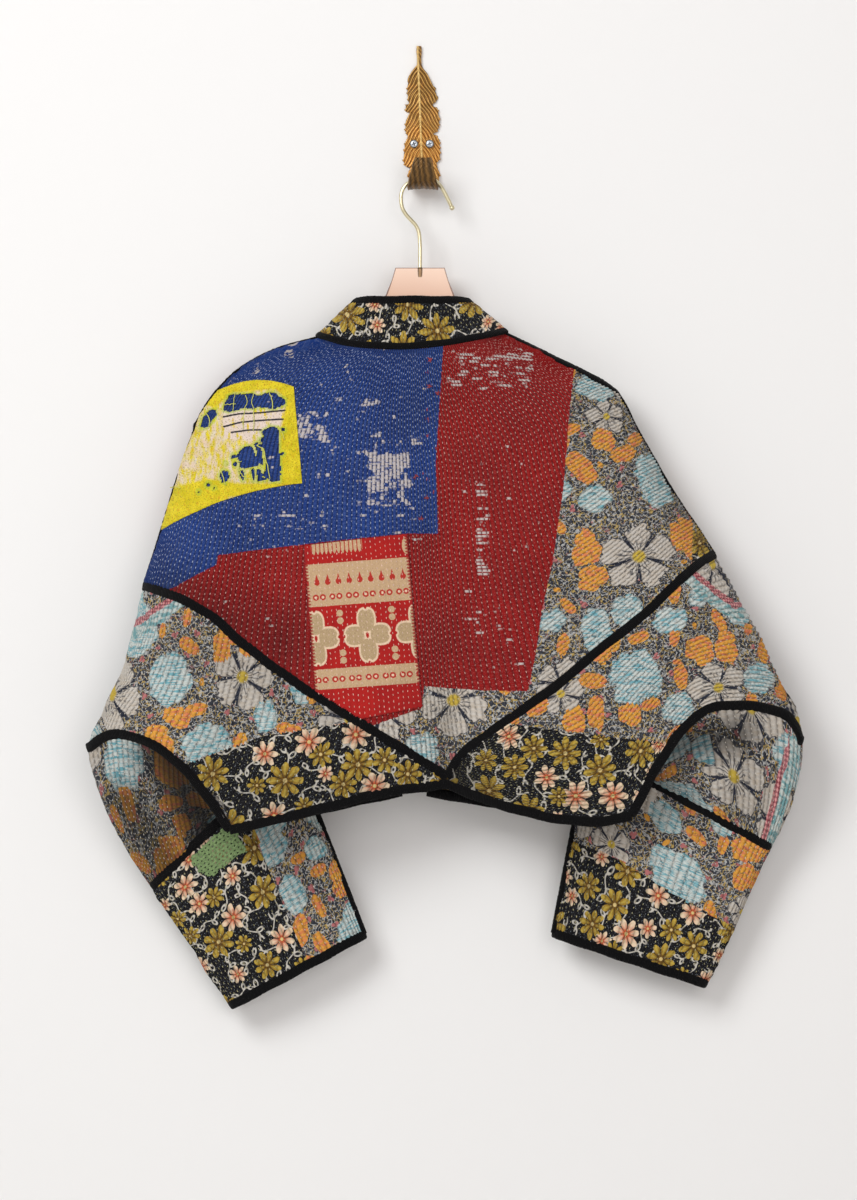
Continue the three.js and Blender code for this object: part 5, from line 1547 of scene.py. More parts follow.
def sew_panel(node, slot, seed, bare=()):
    """Sews every row of one panel; bare is where a patch covers it."""
    panel, draw = panels[node], np.random.default_rng(seed)
    shown, out, side_on = panel["shown"], panel["out"], panel["side_on"] > 0.5
    row_u, row_v = panel["row_u"], panel["row_v"]
    high, wide = row_v.max() - row_v, row_u.max() - row_u
    free = (np.minimum(row_v, high) * ROW > THREAD_EDGE)
    if not panel["tube"]:
        free &= np.minimum(row_u, wide) * ROW > THREAD_EDGE
    for shape in bare:
        free &= inside_shape(shown, shape) < 1.0
    rows = []
    for i in range(0 if panel["tube"] else CELLS, shown.shape[1] - 1, CELLS):
        rows += running_stitches(shown[:, i], out[:, i], free[:, i] & ~side_on[:, i], draw)
    if side_on.any():
        for j in range(CELLS, shown.shape[0] - 1, CELLS):
            rows += running_stitches(shown[j], out[j], free[j] & side_on[j], draw)
    at = np.array([[s[0]] for s in rows])
    tint = np.tile(np.array(PALE), (len(rows), 1))
    for shapes, colour in (("dark", YELLOWISH), ("red", PINKISH), ("blue", BLUISH)):
        for shape in panel["shapes"][shapes]:
            tint = np.where(inside_shape(at, shape) > 0, np.array(colour), tint)
    tint = tint * draw.uniform(0.72, 1.08, (len(rows), 1))
    return sew(node + "_stitches", rows, tint, draw, slot)


# Dark red crosses of thread down the edge of the blue cloth.
CROSS_STITCH = (6.4, 1.7, 0.8)
CROSS_STITCHES = [
    (10, -227), (9, -241), (9, -255), (8, -280), (8, -289), (8, -308), (3, -347), (7, -352),
    (7, -372), (2, -393), (-4, -350), (18, -262), (17, -320), (14, -366),
]
PRINT_CORNERS = [(-121, -422), (-14, -410), (2, -590), (-106, -612)]
FRAME_AREA = [
    (-212, -264), (-195, -252), (-160, -246), (-133, -256), (-129, -300), (-123, -357),
    (-175, -358), (-215, -369), (-260, -396), (-285, -420), (-285, -360), (-250, -310),
]
sewn = {
    "back": sew_panel("back", "patchwork", 211, [PRINT_CORNERS, FRAME_AREA]),
    "collar": sew_panel("collar", "dark_floral", 212),
}
crosses, draw = [], np.random.default_rng(213)
back_shown, back_out = panels["back"]["shown"], panels["back"]["out"]
for x, z in CROSS_STITCHES:
    away = (back_shown[..., 0] - x) ** 2 + (back_shown[..., 2] - z) ** 2
    j, i = np.unravel_index(np.argmin(away), away.shape)
    for dx, dz in ((1, 0.5), (1, -0.6), (0.2, 1)):
        at = back_shown[j, i] + draw.uniform(-1.2, 1.2, 3) * (1, 0, 1)
        crosses.append((at, np.array([dx, 0, dz]), back_out[j, i]))
cross_tint = uneven_dye(srgb(136, 22, 44), len(crosses), draw, 0.7, 1.2)
cross_stitches = sew("cross_stitches", crosses, cross_tint, draw, "patchwork", CROSS_STITCH)
for seed, side in enumerate(SIDES):
    sewn[f"front_{side}"] = sew_panel(f"front_{side}", "patchwork", 221 + seed)
    sewn[f"side_{side}"] = sew_panel(f"side_{side}", "floral", 231 + seed)
    sewn[f"sleeve_{side}"] = sew_panel(f"sleeve_{side}", "floral", 241 + seed)
    sewn[f"cuff_{side}"] = sew_panel(f"cuff_{side}", "dark_floral", 251 + seed)

# ------------------------------------------------------------------ bindings
# Every seam and edge is covered by a strip of black cotton cut on the slant and folded
# over, ribbed and a little lumpy where the hand stitches pull it down.
TAPE_WIDTH, TAPE_THICK = 10.8, 6.8
TAPE_STEP = 2.4
TAPE_SIDES = 12
TAPE_SQUARE = 0.62  # 1 is an oval, and less is flatter
PULL_STEP, SWAY_LENGTH = 5.2, 47
SIDE_WIDTH = 2.4  # of each of its sides, for the ribs
RIM_WIDTH, FOOT_WIDTH = 9.0, 7.0
SHOULDER_LEAN = {
    "left": ((0, 0.004), (1, -0.012)),
    "right": ((0, 0.012), (0.1, 0.034), (0.3, 0.046), (0.42, 0), (1, -0.02)),
}


def tape_cloth(name):
    """Black cotton, ribbed along the slant that it is cut on."""
    vat = Vat(name)
    along, across = vat.map("tape")
    lint = vat.noise(along * 0.5, across * 0.5, 2.0, detail=3.0)
    fleck = vat.noise(along * 2.2, across * 2.2, 6.0, detail=1.0)
    sway = vat.noise(along * 0.12, across * 0.2, 4.0, detail=1.0)
    ribs = (along * 3.4 + across * 1.1 + sway * 3.0).step("SINE")
    colour = vat.blend(lint.over(0.55, 0.4) * 0.5, srgb(6, 6, 7), srgb(17, 16, 18))
    # Painted highlight: the crests of the ribs are a little lighter.
    colour = vat.blend(ribs.over(0.4, 1.2) * 0.25, colour, srgb(24, 23, 25))
    return vat.finish(
        colour, ribs * 0.7 + fleck * 0.5, rough=0.92, distance=0.0007, strength=0.7,
        Sheen_Weight=0.03, Specular_IOR_Level=0.12,
    )


black_tape = tape_cloth("black_cotton_tape")


def on_surface(surface, facing, u, v, loop=False):
    """Points of a cloth and the way it faces there."""
    h = 2e-3
    clip = (lambda w: w) if loop else (lambda w: np.clip(w, 0, 1))
    du = surface(clip(u + h), v) - surface(clip(u - h), v)
    dv = surface(u, np.clip(v + h, 0, 1)) - surface(u, np.clip(v - h, 0, 1))
    return surface(u, v), unit(np.cross(du, dv) * facing)


def flattened(w):
    """Makes a round section squarer, as a folded tape is."""
    return np.sign(w) * np.abs(w) ** TAPE_SQUARE


def binding(node, points, faces, closed=False, wide=TAPE_WIDTH, seed=1):
    """A folded strip of tape that follows points of the cloth and faces the same way."""
    draw = np.random.default_rng(seed)
    if closed:
        points, faces = np.concatenate([points, points[:1]]), np.concatenate([faces, faces[:1]])
    run = run_along(points)
    count = max(6, int(run[-1] / TAPE_STEP))
    at = np.linspace(0, run[-1], count + 1)
    line = np.stack([np.interp(at, run, points[:, k]) for k in range(3)], -1)
    out = np.stack([np.interp(at, run, faces[:, k]) for k in range(3)], -1)
    for _ in range(4):  # the tape turns corners softly
        for grid in (line, out):
            if closed:
                ring = grid[:-1]
                grid[:-1] = (np.roll(ring, 1, 0) + 2 * ring + np.roll(ring, -1, 0)) / 4
                grid[-1] = grid[0]
            else:
                grid[1:-1] = (grid[:-2] + 2 * grid[1:-1] + grid[2:]) / 4
    if closed:
        along = np.roll(line[:-1], -1, 0) - np.roll(line[:-1], 1, 0)
        line, out, at = line[:-1], out[:-1], at[:-1]
    else:
        along = np.gradient(line, axis=0)
    along = unit(along)
    out = unit(out - along * (out * along).sum(1, keepdims=True))
    across = np.cross(along, out)
    turn = 2 * np.pi * np.arange(TAPE_SIDES) / TAPE_SIDES
    lump = 1 + 0.035 * np.sin(2 * np.pi * at / PULL_STEP + draw.uniform(0, 6))
    lump = lump + 0.03 * draw.normal(0, 1, len(at))
    drift = 0.35 * np.sin(2 * np.pi * at / SWAY_LENGTH + draw.uniform(0, 6))
    centre = line - out * (CLOTH / 2) + across * drift[:, None]
    w = flattened(np.cos(turn))[None] * (wide / 2) * (0.5 + lump[:, None] / 2)
    t = flattened(np.sin(turn))[None] * (TAPE_THICK / 2) * lump[:, None]
    rings = centre[:, None] + across[:, None] * w[..., None] + out[:, None] * t[..., None]
    n, m = len(rings), TAPE_SIDES
    j = np.arange(n if closed else n - 1)
    a = (j[:, None] * m + np.arange(m))
    b = (j[:, None] * m + (np.arange(m) + 1) % m)
    c = ((j[:, None] + 1) % n) * m + (np.arange(m) + 1) % m
    d = ((j[:, None] + 1) % n) * m + np.arange(m)
    faces_ = np.stack([a, b, c, d], -1).reshape(-1, 4).tolist()
    if not closed:
        faces_ += [list(range(m))[::-1], [(n - 1) * m + k for k in range(m)]]
    mesh = bpy.data.meshes.new(node)
    mesh.from_pydata((rings.reshape(-1, 3) * MM).tolist(), [], faces_)
    layer = mesh.uv_layers.new(name="tape")
    step = at[1] - at[0]
    uv = np.zeros((len(mesh.loops), 2), np.float32)
    corner_at = np.stack([at[j], at[j], at[j] + step, at[j] + step], -1)
    corner_at = np.repeat(corner_at[:, None], m, 1)
    round_ = np.arange(m) * SIDE_WIDTH
    corner_round = np.stack([round_, round_ + SIDE_WIDTH, round_ + SIDE_WIDTH, round_], -1)
    corner_round = np.repeat(corner_round[None], len(j), 0)
    uv[: corner_at.size, 0] = corner_at.ravel()
    uv[: corner_at.size, 1] = corner_round.ravel()
    layer.data.foreach_set("uv", uv.ravel())
    smooth(mesh, corners=4)
    return new_piece(node + "_tape", mesh, black_tape, "tape", node)


STEPS = 161
steps = np.linspace(0, 1, STEPS)
ring_steps = steps[:-1]
start_edge, end_edge = np.zeros(STEPS), np.ones(STEPS)
tapes = {}


def bind(name, side, at, face, **how):
    """Sews one length of tape and keeps it under its short name."""
    tapes[name + side] = binding(f"binding_{name}{side}", at, face, **how)


hem_all = one_after_another(backwards(cut["left"]["hem_back"]), cut["right"]["hem_back"])
hem_line = hem_all(steps)[:, :2]
hem_slope = [
    hang(hem_line + np.array(shift), "back")[:, 1] - hang(hem_line - np.array(shift), "back")[:, 1]
    for shift in ((1.0, 0.0), (0.0, 1.0))
]
hem_face = np.stack([hem_slope[0] / 2, -np.ones(len(steps)), hem_slope[1] / 2], -1)
bind("hem_back", "", hang(hem_line, "back"), hem_face, seed=3)

for seed, side in enumerate(SIDES):
    own, hand, of_side = cut[side], cut[side]["hand"], f"_{side}"
    point, turn = own["armhole"](ring_steps)
    under_from, under_to = own["under"]
    under = np.clip((turn - under_from) / (under_to - under_from), 0, 1) * np.pi
    round_ = np.radians(np.minimum(np.minimum(turn, 360 - turn), 90))
    face = np.stack([
        hand * np.cos(round_), -np.sin(round_) * np.cos(under), -np.sin(under) - 0.3,
    ], -1)
    bind("armhole", of_side, point, face, closed=True, seed=11 + seed)
    for name, v in (("cuff_top", 0.0), ("cuff_edge", 1.0)):
        at, face = on_surface(own["cuff"], hand, ring_steps, np.full(STEPS - 1, v), loop=True)
        bind(name, of_side, at, face, closed=True, seed=21 + seed)
    at, face = on_surface(own["cuff"], hand, np.full(STEPS, 0.5), steps, loop=True)
    bind("cuff_inner", of_side, at, face, seed=31 + seed)
    at, face = on_surface(own["side"], -hand, steps, start_edge)
    bind("seam", of_side, at, face, seed=41 + seed)
    # The shoulder seam runs from a little behind the fold at the neck to before it at the arm.
    lean = np.interp(steps, *zip(*SHOULDER_LEAN[side]))
    share = np.abs(lean)
    on_back = on_surface(back_cloth, -1, share if hand < 0 else 1 - share, steps)
    on_front = on_surface(own["front"], hand, 1 - 2 * share, steps)
    at, face = (np.where((lean > 0)[:, None], a, b) for a, b in zip(on_back, on_front))
    bind("shoulder", of_side, at, face, seed=51 + seed)
    at = hang(own["hem_front"](steps)[:, :2], "front")
    bind("hem_front", of_side, at, np.tile([0.0, 1.0, 0.0], (STEPS, 1)), seed=61 + seed)
    upper = on_surface(own["front"], hand, start_edge, steps)
    lower = on_surface(own["side"], -hand, end_edge, steps)
    at, face = (np.concatenate([a, b[4:]]) for a, b in zip(upper, lower))
    bind("front", of_side, at, face, seed=71 + seed)
at, face = on_surface(collar_cloth, -1, steps, end_edge)
bind("collar_foot", "", at, face, wide=FOOT_WIDTH, seed=81)
at, face = on_surface(collar_cloth, -1, steps, start_edge)
bind("collar_top", "", at, face, wide=RIM_WIDTH, seed=82)

# ------------------------------------------------------------------ printed patch
# A piece of a bordered sari end, sewn down over the red with oversewn sides: cream and
# red bands with drops, rings and four-petalled flowers that repeat along it.
PATCH_THICK = 1.3
LOOK_FROM, LOOK_FAR = 25, 60  # where the cloth under a patch is looked for


def seat_on(node, points, out, gap):
    """Drops points on the shown face of a panel, a little above it."""
    shown = panels[node]["shown"]
    number = numbered(*shown.shape[:2])
    quads = np.stack(corners_of(number), -1).reshape(-1, 4)
    tree = BVHTree.FromPolygons(shown.reshape(-1, 3).tolist(), quads.tolist())
    seated = points.copy().reshape(-1, 3)
    for k, (p, n) in enumerate(zip(points.reshape(-1, 3), out.reshape(-1, 3))):
        hit = tree.ray_cast(Vector(p + n * LOOK_FROM), Vector(-n), LOOK_FAR)[0]
        if hit is not None:
            seated[k] = hit
    return seated.reshape(points.shape) + out * gap


def plate_of_cloth(name, outer, inner, kept, facing):
    """A thin closed sheet from an outer and an inner grid, without the cells that are lost."""
    number = numbered(*outer.shape[:2])
    a, b, c, d = corners_of(number)
    top = np.stack([a, d, c, b] if facing < 0 else [a, b, c, d], -1)
    under = np.stack([a, b, c, d] if facing < 0 else [a, d, c, b], -1) + number.size
    faces = top[kept].tolist() + under[kept].tolist()
    wide = np.pad(kept, 1)
    for beside, first, last in (
        (wide[:-2, 1:-1], a, b), (wide[2:, 1:-1], c, d),
        (wide[1:-1, :-2], d, a), (wide[1:-1, 2:], b, c),
    ):
        at_rim = kept & ~beside
        p, q = first[at_rim], last[at_rim]
        if facing > 0:
            p, q = q, p
        faces += np.stack([p, q, q + number.size, p + number.size], -1).tolist()
    mesh = bpy.data.meshes.new(name)
    points = np.concatenate([outer.reshape(-1, 3), inner.reshape(-1, 3)])
    mesh.from_pydata((points * MM).tolist(), [], faces)
    return mesh


def finish_plate(name, mesh, flat, values, material, node, slot):
    """Gives a plate of cloth its flat coordinates and attributes, and sews it to the jacket."""
    both = np.concatenate([flat.reshape(-1, 2)] * 2).astype(np.float32)
    corners = np.zeros(len(mesh.loops), np.int32)
    mesh.loops.foreach_get("vertex_index", corners)
    mesh.uv_layers.new(name="flat").data.foreach_set("uv", both[corners].ravel())
    for key, grid in values.items():
        store(mesh, key, "FLOAT", "POINT", np.concatenate([grid.ravel()] * 2))
    smooth(mesh)
    # Points that no kept cell uses go.
    shape = bmesh.new()
    shape.from_mesh(mesh)
    bmesh.ops.delete(shape, geom=[p for p in shape.verts if not p.link_faces], context="VERTS")
    shape.to_mesh(mesh)
    shape.free()
    return new_piece(name, mesh, material, slot, node)


def sari_end(name):
    """The bordered print, drawn in millimetres across and down the patch."""
    vat = Vat(name)
    a, b = vat.map("flat")
    rough = vat.noise(a * 0.55, b * 0.55, 3.0, detail=2.0) - 0.5
    a, b = a + rough * 1.0, b + rough * 1.2
    weave = vat.weave(a, b, 2.0, 0.5, place=2.0)
    drift = vat.noise(a * 0.05, b * 0.05, 5.0, detail=2.0)
    sand, pale, madder = srgb(198, 168, 132), srgb(222, 196, 166), srgb(172, 26, 24)
    ground = vat.blend(drift.over(0.5, 0.4), srgb(156, 22, 24), madder)
    cream = vat.blend(weave.over(0.5, 0.5) * 0.5, sand, srgb(166, 134, 102))

    def repeat(at, start, pitch):
        return (at - start).step("WRAP", pitch / 2, -pitch / 2)

    def within(x, y, half_x, half_y, power=2.0):
        p = (x.size() / half_x).step("POWER", power) + (y.size() / half_y).step("POWER", power)
        return p.under(1.0, 0.16)

    bands = b.over(20.3) * b.under(64.7) + b.over(130.0) * b.under(151.0)
    colour = vat.blend(bands, ground, cream)
    # Drops with a drawn-out point.
    x, y = repeat(a, 10.6, 11.1), b - 39.6
    drop = within(x, y, 2.9, 3.2)
    point = x.size().under((y + 8.6) * 0.26, 0.3) * y.under(0.0) * y.over(-8.0)
    colour = vat.blend(drop.step("MAXIMUM", point) * 0.95, colour, madder)
    # Pairs of rings, each with a pale middle.
    for start, high in ((11.8, 55.2), (7.8, 141.2)):
        x, y = repeat(a, start, 17.15).size() - 3.6, b - high
        round_ = (x * x + y * y).step("SQRT")
        colour = vat.blend(round_.under(3.2, 0.4) * 0.95, colour, madder)
        colour = vat.blend(round_.under(1.35, 0.5), colour, pale)
    # Flowers of four heart-shaped petals, and small figures of eight between them.
    middle = 97.6
    x, y = repeat(a, 58.0, 53.0), (b - middle) * 0.84

    def petal(p, q, out_by):
        heart = within(p.size() - 12.9, q, 11.4 - out_by, 9.9 - out_by, 2.6)
        bite = within(p.size() - 25.6, q, 3.0 + out_by, 1.7 + out_by, 2.0)
        return heart * (1.0 - bite)

    whole = petal(x, y, 0.0).step("MAXIMUM", petal(y, x, 0.0))
    heart = petal(x, y, 1.8).step("MAXIMUM", petal(y, x, 1.8))
    field = b.over(66.0) * b.under(128.5)
    colour = vat.blend(whole * field, colour, pale)
    colour = vat.blend(heart * field * 0.9, colour,
                       vat.blend(weave.over(0.5, 0.5), srgb(184, 160, 124), srgb(152, 130, 94)))
    mark = within(x, y.size() - 1.8, 0.8, 1.0)
    colour = vat.blend(mark, colour, madder)
    x, y = repeat(a, 31.5, 53.0), (((b - middle).size() - 20.6).size() - 3.9)
    colour = vat.blend(within(x, y, 3.4, 3.5) * field, colour, cream)
    # What is left of another row of figures at the top.
    stripes = (a * (2 * math.pi / 4.3)).step("SINE")
    frill = b.under(stripes * 1.8 + 9.0, 0.5) * a.over(7.0) * a.under(60.0)
    colour = vat.blend(frill * stripes.over(-0.75, 0.5), colour, cream)
    corner = within(a - 105.0, b - 8.0, 4.0, 8.5)
    colour = vat.blend(corner, colour, cream)
    # Oversewn sides: cream and red teeth of thread.
    teeth = (b * (2 * math.pi / 3.4)).step("SINE")
    rim = a.under(teeth * 1.3 + 1.6, 0.4).step("MAXIMUM", a.over(105.0 - teeth * 1.3, 0.4))
    colour = vat.blend(rim * 0.9, colour, srgb(150, 24, 30))
    colour = vat.blend(weave.over(0.58, 0.3) * 0.22, colour, srgb(120, 60, 44))
    return vat.finish(
        colour, weave, rough=0.9, distance=0.0006, strength=0.6,
        Sheen_Weight=0.1, Specular_IOR_Level=0.2,
    )


PRINT_CELLS = (64, 112)
share_u, share_v = shares(*PRINT_CELLS)
corner = [np.array(c, float) for c in PRINT_CORNERS]
mix_u, mix_v = share_u[..., None], share_v[..., None]
flat_print = (
    (1 - mix_v) * ((1 - mix_u) * corner[0] + mix_u * corner[1])
    + mix_v * ((1 - mix_u) * corner[3] + mix_u * corner[2])
)
print_points = hang(flat_print, "back")
print_out = outward(print_points, -1, False)
teeth = np.where(np.arange(PRINT_CELLS[1] + 1) % 2, 0.7, -0.5)
print_points[:, 0, 0] -= teeth
print_points[:, -1, 0] += teeth
print_seat = seat_on("back", print_points, print_out, 0.15)
above_seam = beside_line(print_points, SLANT_BACK["left"]) > 2.5
print_kept = np.all(corners_of(above_seam), axis=0)
print_mesh = plate_of_cloth(
    "printed_patch", print_seat + print_out * PATCH_THICK, print_seat, print_kept, -1,
)
print_flat = np.stack([
    share_u * 107.0, share_v * (190.0 * (1 - share_u) + 180.0 * share_u) - 3.8 * share_u,
], -1)
printed_patch = finish_plate(
    "printed_patch", print_mesh, print_flat, {}, sari_end("sari_end_print"), "patch_print",
    "print_patch"
)
draw = np.random.default_rng(301)
print_shown = print_seat + print_out * PATCH_THICK
rows = []
for i in range(2, PRINT_CELLS[0] - 1, 3):
    rows += running_stitches(print_shown[:, i], print_out[:, i], above_seam[:, i], draw)
print_tint = uneven_dye(srgb(236, 206, 190), len(rows), draw, 0.75, 1.05)
printed_stitches = sew("printed_patch_stitches", rows, print_tint, draw, "print_patch")

# ------------------------------------------------------------------ ragged yellow patch
# What is left of a yellow cloth over the shoulder: its folded border still holds at the
# top and side, and the middle has worn to rags, with the blue showing through the rips and
# loose threads hanging across them.
FRAME_ARM = (0.36, 0.82)
FRAME_EDGE = ((-132, -256), (-123, -357))
FRAME_START, FRAME_BULGE = 0.03, 9.0
FRAME_CELLS = (112, 98)
RIPS = [
    [(-202, -266), (-195, -263), (-184, -264), (-175, -263), (-169, -266), (-158, -262),
     (-152, -262),
     (-147, -266), (-141, -269), (-141, -275), (-153, -280), (-167, -277), (-174, -279),
     (-184, -278),
     (-192, -280), (-199, -282), (-205, -281), (-206, -276)],
    [(-220, -280), (-214, -279), (-213, -285), (-217, -291), (-224, -298), (-230, -299),
     (-228, -290), (-223, -282)],
    [(-166, -303), (-156, -297), (-148, -299), (-147, -308), (-147, -326), (-145, -343),
     (-146, -354),
     (-153, -356), (-158, -353), (-161, -343), (-162, -326), (-165, -317), (-168, -310),
     (-163, -308)],
    [(-181, -317), (-175, -319), (-173, -325), (-170, -331), (-168, -338), (-178, -340),
     (-184, -341),
     (-188, -340), (-189, -334), (-192, -328), (-187, -321), (-184, -319)],
    [(-170, -313), (-166, -317), (-165, -326), (-164, -340), (-168, -336), (-170, -329),
     (-171, -321), (-174, -316)],
    [(-210, -349), (-206, -343), (-200, -345), (-199, -350), (-204, -358), (-207, -356)],
    [(-189, -343), (-184, -343), (-183, -353), (-186, -354), (-188, -349)],
    [(-177, -342), (-173, -341), (-172, -354), (-175, -354)],
    [(-171, -343), (-166, -342), (-163, -354), (-169, -355)],
    [(-163, -345), (-160, -346), (-159, -353), (-162, -353)],
]
RIP_SPOTS = [(-195, -329, 2.6), (-193, -337, 2.4), (-221, -359, 2.4), (-144, -326, 1.9),
             (-143, -301, 2.0),
             (-231, -366, 1.5), (-215, -362, 1.3), (-203, -336, 1.4)]
LOOSE_THREADS = [
    [(-194, -262), (-195, -270), (-196, -281)],
    [(-183, -264), (-181, -271), (-184, -279), (-185, -300)],
    [(-174, -262), (-176, -272), (-174, -280), (-174, -302)],
    [(-158, -261), (-155, -268), (-154, -280)],
    [(-206, -274), (-193, -273)], [(-208, -343), (-206, -350), (-203, -359)],
    [(-171, -317), (-164, -321), (-161, -332), (-158, -346), (-157, -352)],
    [(-178, -340), (-176, -349), (-174, -357)], [(-173, -343), (-170, -357)],
    [(-168, -336), (-167, -342)],
    [(-192, -334), (-187, -334)], [(-149, -299), (-144, -304), (-142, -311)],
    [(-166, -309), (-170, -318)],
    [(-225, -281), (-221, -290), (-222, -297)], [(-190, -341), (-186, -348), (-180, -352)],
    [(-262, -361), (-257, -360), (-252, -361)],
]
BORDER = [
    [(-240, -270), (-195, -245), (-160, -241), (-125, -250), (-118, -362), (-146, -360),
     (-147, -330),
     (-146, -300), (-141, -280), (-141, -268), (-152, -259), (-172, -261), (-194, -262),
     (-206, -270), (-215, -278)],
    [(-300, -420), (-262, -362), (-222, -352), (-190, -357), (-140, -356), (-140, -364),
     (-200, -372), (-300, -440)],
]
PALE_STRIPS = [(-206, -278), (-142, -274), (-142, -296), (-160, -300), (-176, -312), (-206, -310)]
SLITS = [[(-206, -287), (-189, -284), (-167, -283), (-141, -281)],
         [(-206, -297), (-188, -293), (-167, -291), (-143, -290)],
         [(-198, -303), (-178, -301), (-166, -301)]]


def ragged_yellow(name):
    """Yellow cotton with green and rust in it, worn pale in the middle."""
    vat = Vat(name)
    u, v = vat.map("flat")
    border, pale, slit, rip = (vat.number(name) for name in ("border", "pale", "slit", "rip"))
    long_ = vat.noise(u * 0.22, v * 0.07, 2.0, detail=3.0)
    blotch = vat.noise(u * 0.10, v * 0.10, 5.0, detail=3.0)
    fine = vat.noise(u * 0.8, v * 0.8, 8.0, detail=2.0)
    thread = vat.weave(u, v, 2.2, 0.4)
    yellow = vat.blend(blotch.over(0.5, 0.3), srgb(206, 190, 26), srgb(232, 212, 44))
    yellow = vat.blend(fine.over(0.60, 0.1) * 0.55, yellow, srgb(178, 150, 20))
    yellow = vat.blend(fine.under(0.36, 0.08) * 0.4, yellow, srgb(196, 206, 92))
    drawn = vat.noise(u * 0.9, v * 0.16, 14.0, detail=2.0)
    yellow = vat.blend(drawn.over(0.60, 0.08) * 0.5, yellow, srgb(206, 132, 34))
    rag = vat.blend(blotch.over(0.5, 0.3), srgb(226, 200, 176), srgb(222, 212, 196))
    share = (long_ * 0.7 + fine * 0.3 + blotch * 0.2).over(0.60, 0.16)
    field = vat.blend(share, rag, yellow)
    strips = vat.blend((long_ + fine * 0.3).over(0.74, 0.1), srgb(226, 208, 196), yellow)
    field = vat.blend(pale.over(0.0, 3.0), field, strips)
    colour = vat.blend(border.over(0.0, 3.0), field, yellow)
    colour = vat.blend(rip.over(-2.2, 1.6) * 0.6, colour, srgb(176, 196, 60))
    # Slits: the blue cloth below, darkened almost to black by painted shade.
    colour = vat.blend(slit.under(0.9, 0.5), colour, srgb(22, 26, 50))
    specks = vat.dots(u / 3.4, v / 3.4)
    colour = vat.blend(specks.under(0.13, 0.06) * 0.55, colour, srgb(70, 76, 30))
    colour = vat.blend(thread.over(0.55, 0.3) * 0.25, colour, srgb(120, 104, 20))
    return vat.finish(
        colour, thread + fine * 0.6, rough=0.92, distance=0.0008, strength=0.8,
        Sheen_Weight=0.1, Specular_IOR_Level=0.2,
    )


share_u, share_v = shares(*FRAME_CELLS)
fold_line = arm["left"](FRAME_ARM[0] + (FRAME_ARM[1] - FRAME_ARM[0]) * share_v)[..., :2]
edge_line = straight(*FRAME_EDGE)(share_v)
reach = 1 - to_fold(1 - (FRAME_START + (1 - FRAME_START) * share_u))[..., None]
flat_frame = fold_line * (1 - reach) + edge_line * reach
flat_frame[..., 1:] += FRAME_BULGE * 4 * reach * (1 - reach)
frame_points = hang(flat_frame, "back")
frame_out = outward(frame_points, -1, False)
rip_at = np.full(share_u.shape, -99.0)
for shape in RIPS:
    rip_at = np.maximum(rip_at, inside_shape(frame_points, shape))
for x, z, r in RIP_SPOTS:
    rip_at = np.maximum(rip_at, r - np.hypot(frame_points[..., 0] - x, frame_points[..., 2] - z))
rip_at = rip_at + 0.7 * wander(frame_points[..., 0], frame_points[..., 2], 5, 401)
frame_seat = seat_on("back", frame_points, frame_out, 0.15)
frame_x, frame_z = frame_points[..., 0], frame_points[..., 2]
curl_up = 0.9 * np.clip(1 + rip_at / 4, 0, 1) * (0.6 + 0.6 * wander(frame_x, frame_z, 9, 402))
frame_seat = frame_seat + frame_out * np.maximum(0, curl_up)[..., None]
cell_rip = (rip_at[:-1, :-1] + rip_at[1:, :-1] + rip_at[:-1, 1:] + rip_at[1:, 1:]) / 4
frame_mesh = plate_of_cloth(
    "yellow_patch", frame_seat + frame_out * PATCH_THICK * 0.8, frame_seat, cell_rip < 0, -1,
)
slit_at = np.full(share_u.shape, 99.0)
for line in SLITS:
    slit_at = np.minimum(slit_at, np.abs(beside_line(frame_points, line)))
border_at = np.maximum(*(inside_shape(frame_points, shape) for shape in BORDER))
yellow_patch = finish_plate(
    "yellow_patch", frame_mesh, frame_points[..., [0, 2]],
    {"border": border_at, "pale": inside_shape(frame_points, PALE_STRIPS), "slit": slit_at,
     "rip": rip_at},
    ragged_yellow("ragged_yellow"), "patch_frame", "frame_patch",
)


YARN_STEPS, YARN_SIDES, YARN_GAP = 12, 5, 2.2


def tube_faces(count, sides, base=0):
    """The faces of a tube through so many rings, with a flat cap at each end."""
    faces = []
    for j in range(count - 1):
        for k in range(sides):
            a, b = base + j * sides + k, base + j * sides + (k + 1) % sides
            faces.append((a, b, b + sides, a + sides))
    last = base + (count - 1) * sides
    return faces + [
        tuple(base + k for k in range(sides))[::-1], tuple(last + k for k in range(sides)),
    ]


def loose_thread(points, thick, draw):
    """A thin yarn over the cloth as rings of five points, closed at both ends."""
    line = curve(points)(np.linspace(0, 1, YARN_STEPS))[:, :2]
    line = line + draw.normal(0, 0.25, line.shape)
    at = hang(line, "back")
    at = seat_on("back", at, np.tile([0.0, -1.0, 0.0], (YARN_STEPS, 1)), YARN_GAP)
    along = unit(np.gradient(at, axis=0))
    side_ = unit(np.cross(along, [0.0, -1.0, 0.0]))
    up = np.cross(side_, along)
    turn = 2 * np.pi * np.arange(YARN_SIDES) / YARN_SIDES
    ring = np.cos(turn)[None, :, None] * side_[:, None] + np.sin(turn)[None, :, None] * up[:, None]
    return at[:, None] + ring * thick / 2


draw = np.random.default_rng(411)
tubes = [loose_thread(line, draw.uniform(0.7, 1.1), draw) for line in LOOSE_THREADS]
thread_faces = []
for k in range(len(tubes)):
    thread_faces += tube_faces(YARN_STEPS, YARN_SIDES, k * YARN_STEPS * YARN_SIDES)
mesh = bpy.data.meshes.new("loose_threads")
mesh.from_pydata((np.array(tubes).reshape(-1, 3) * MM).tolist(), [], thread_faces)
yarn_dye = np.tile((*srgb(204, 208, 96), 1), (len(mesh.vertices), 1))
store(mesh, "thread", "FLOAT_COLOR", "POINT", yarn_dye)
smooth(mesh, corners=4)
loose_threads = new_piece("loose_threads", mesh, cotton_thread, "frame_patch")

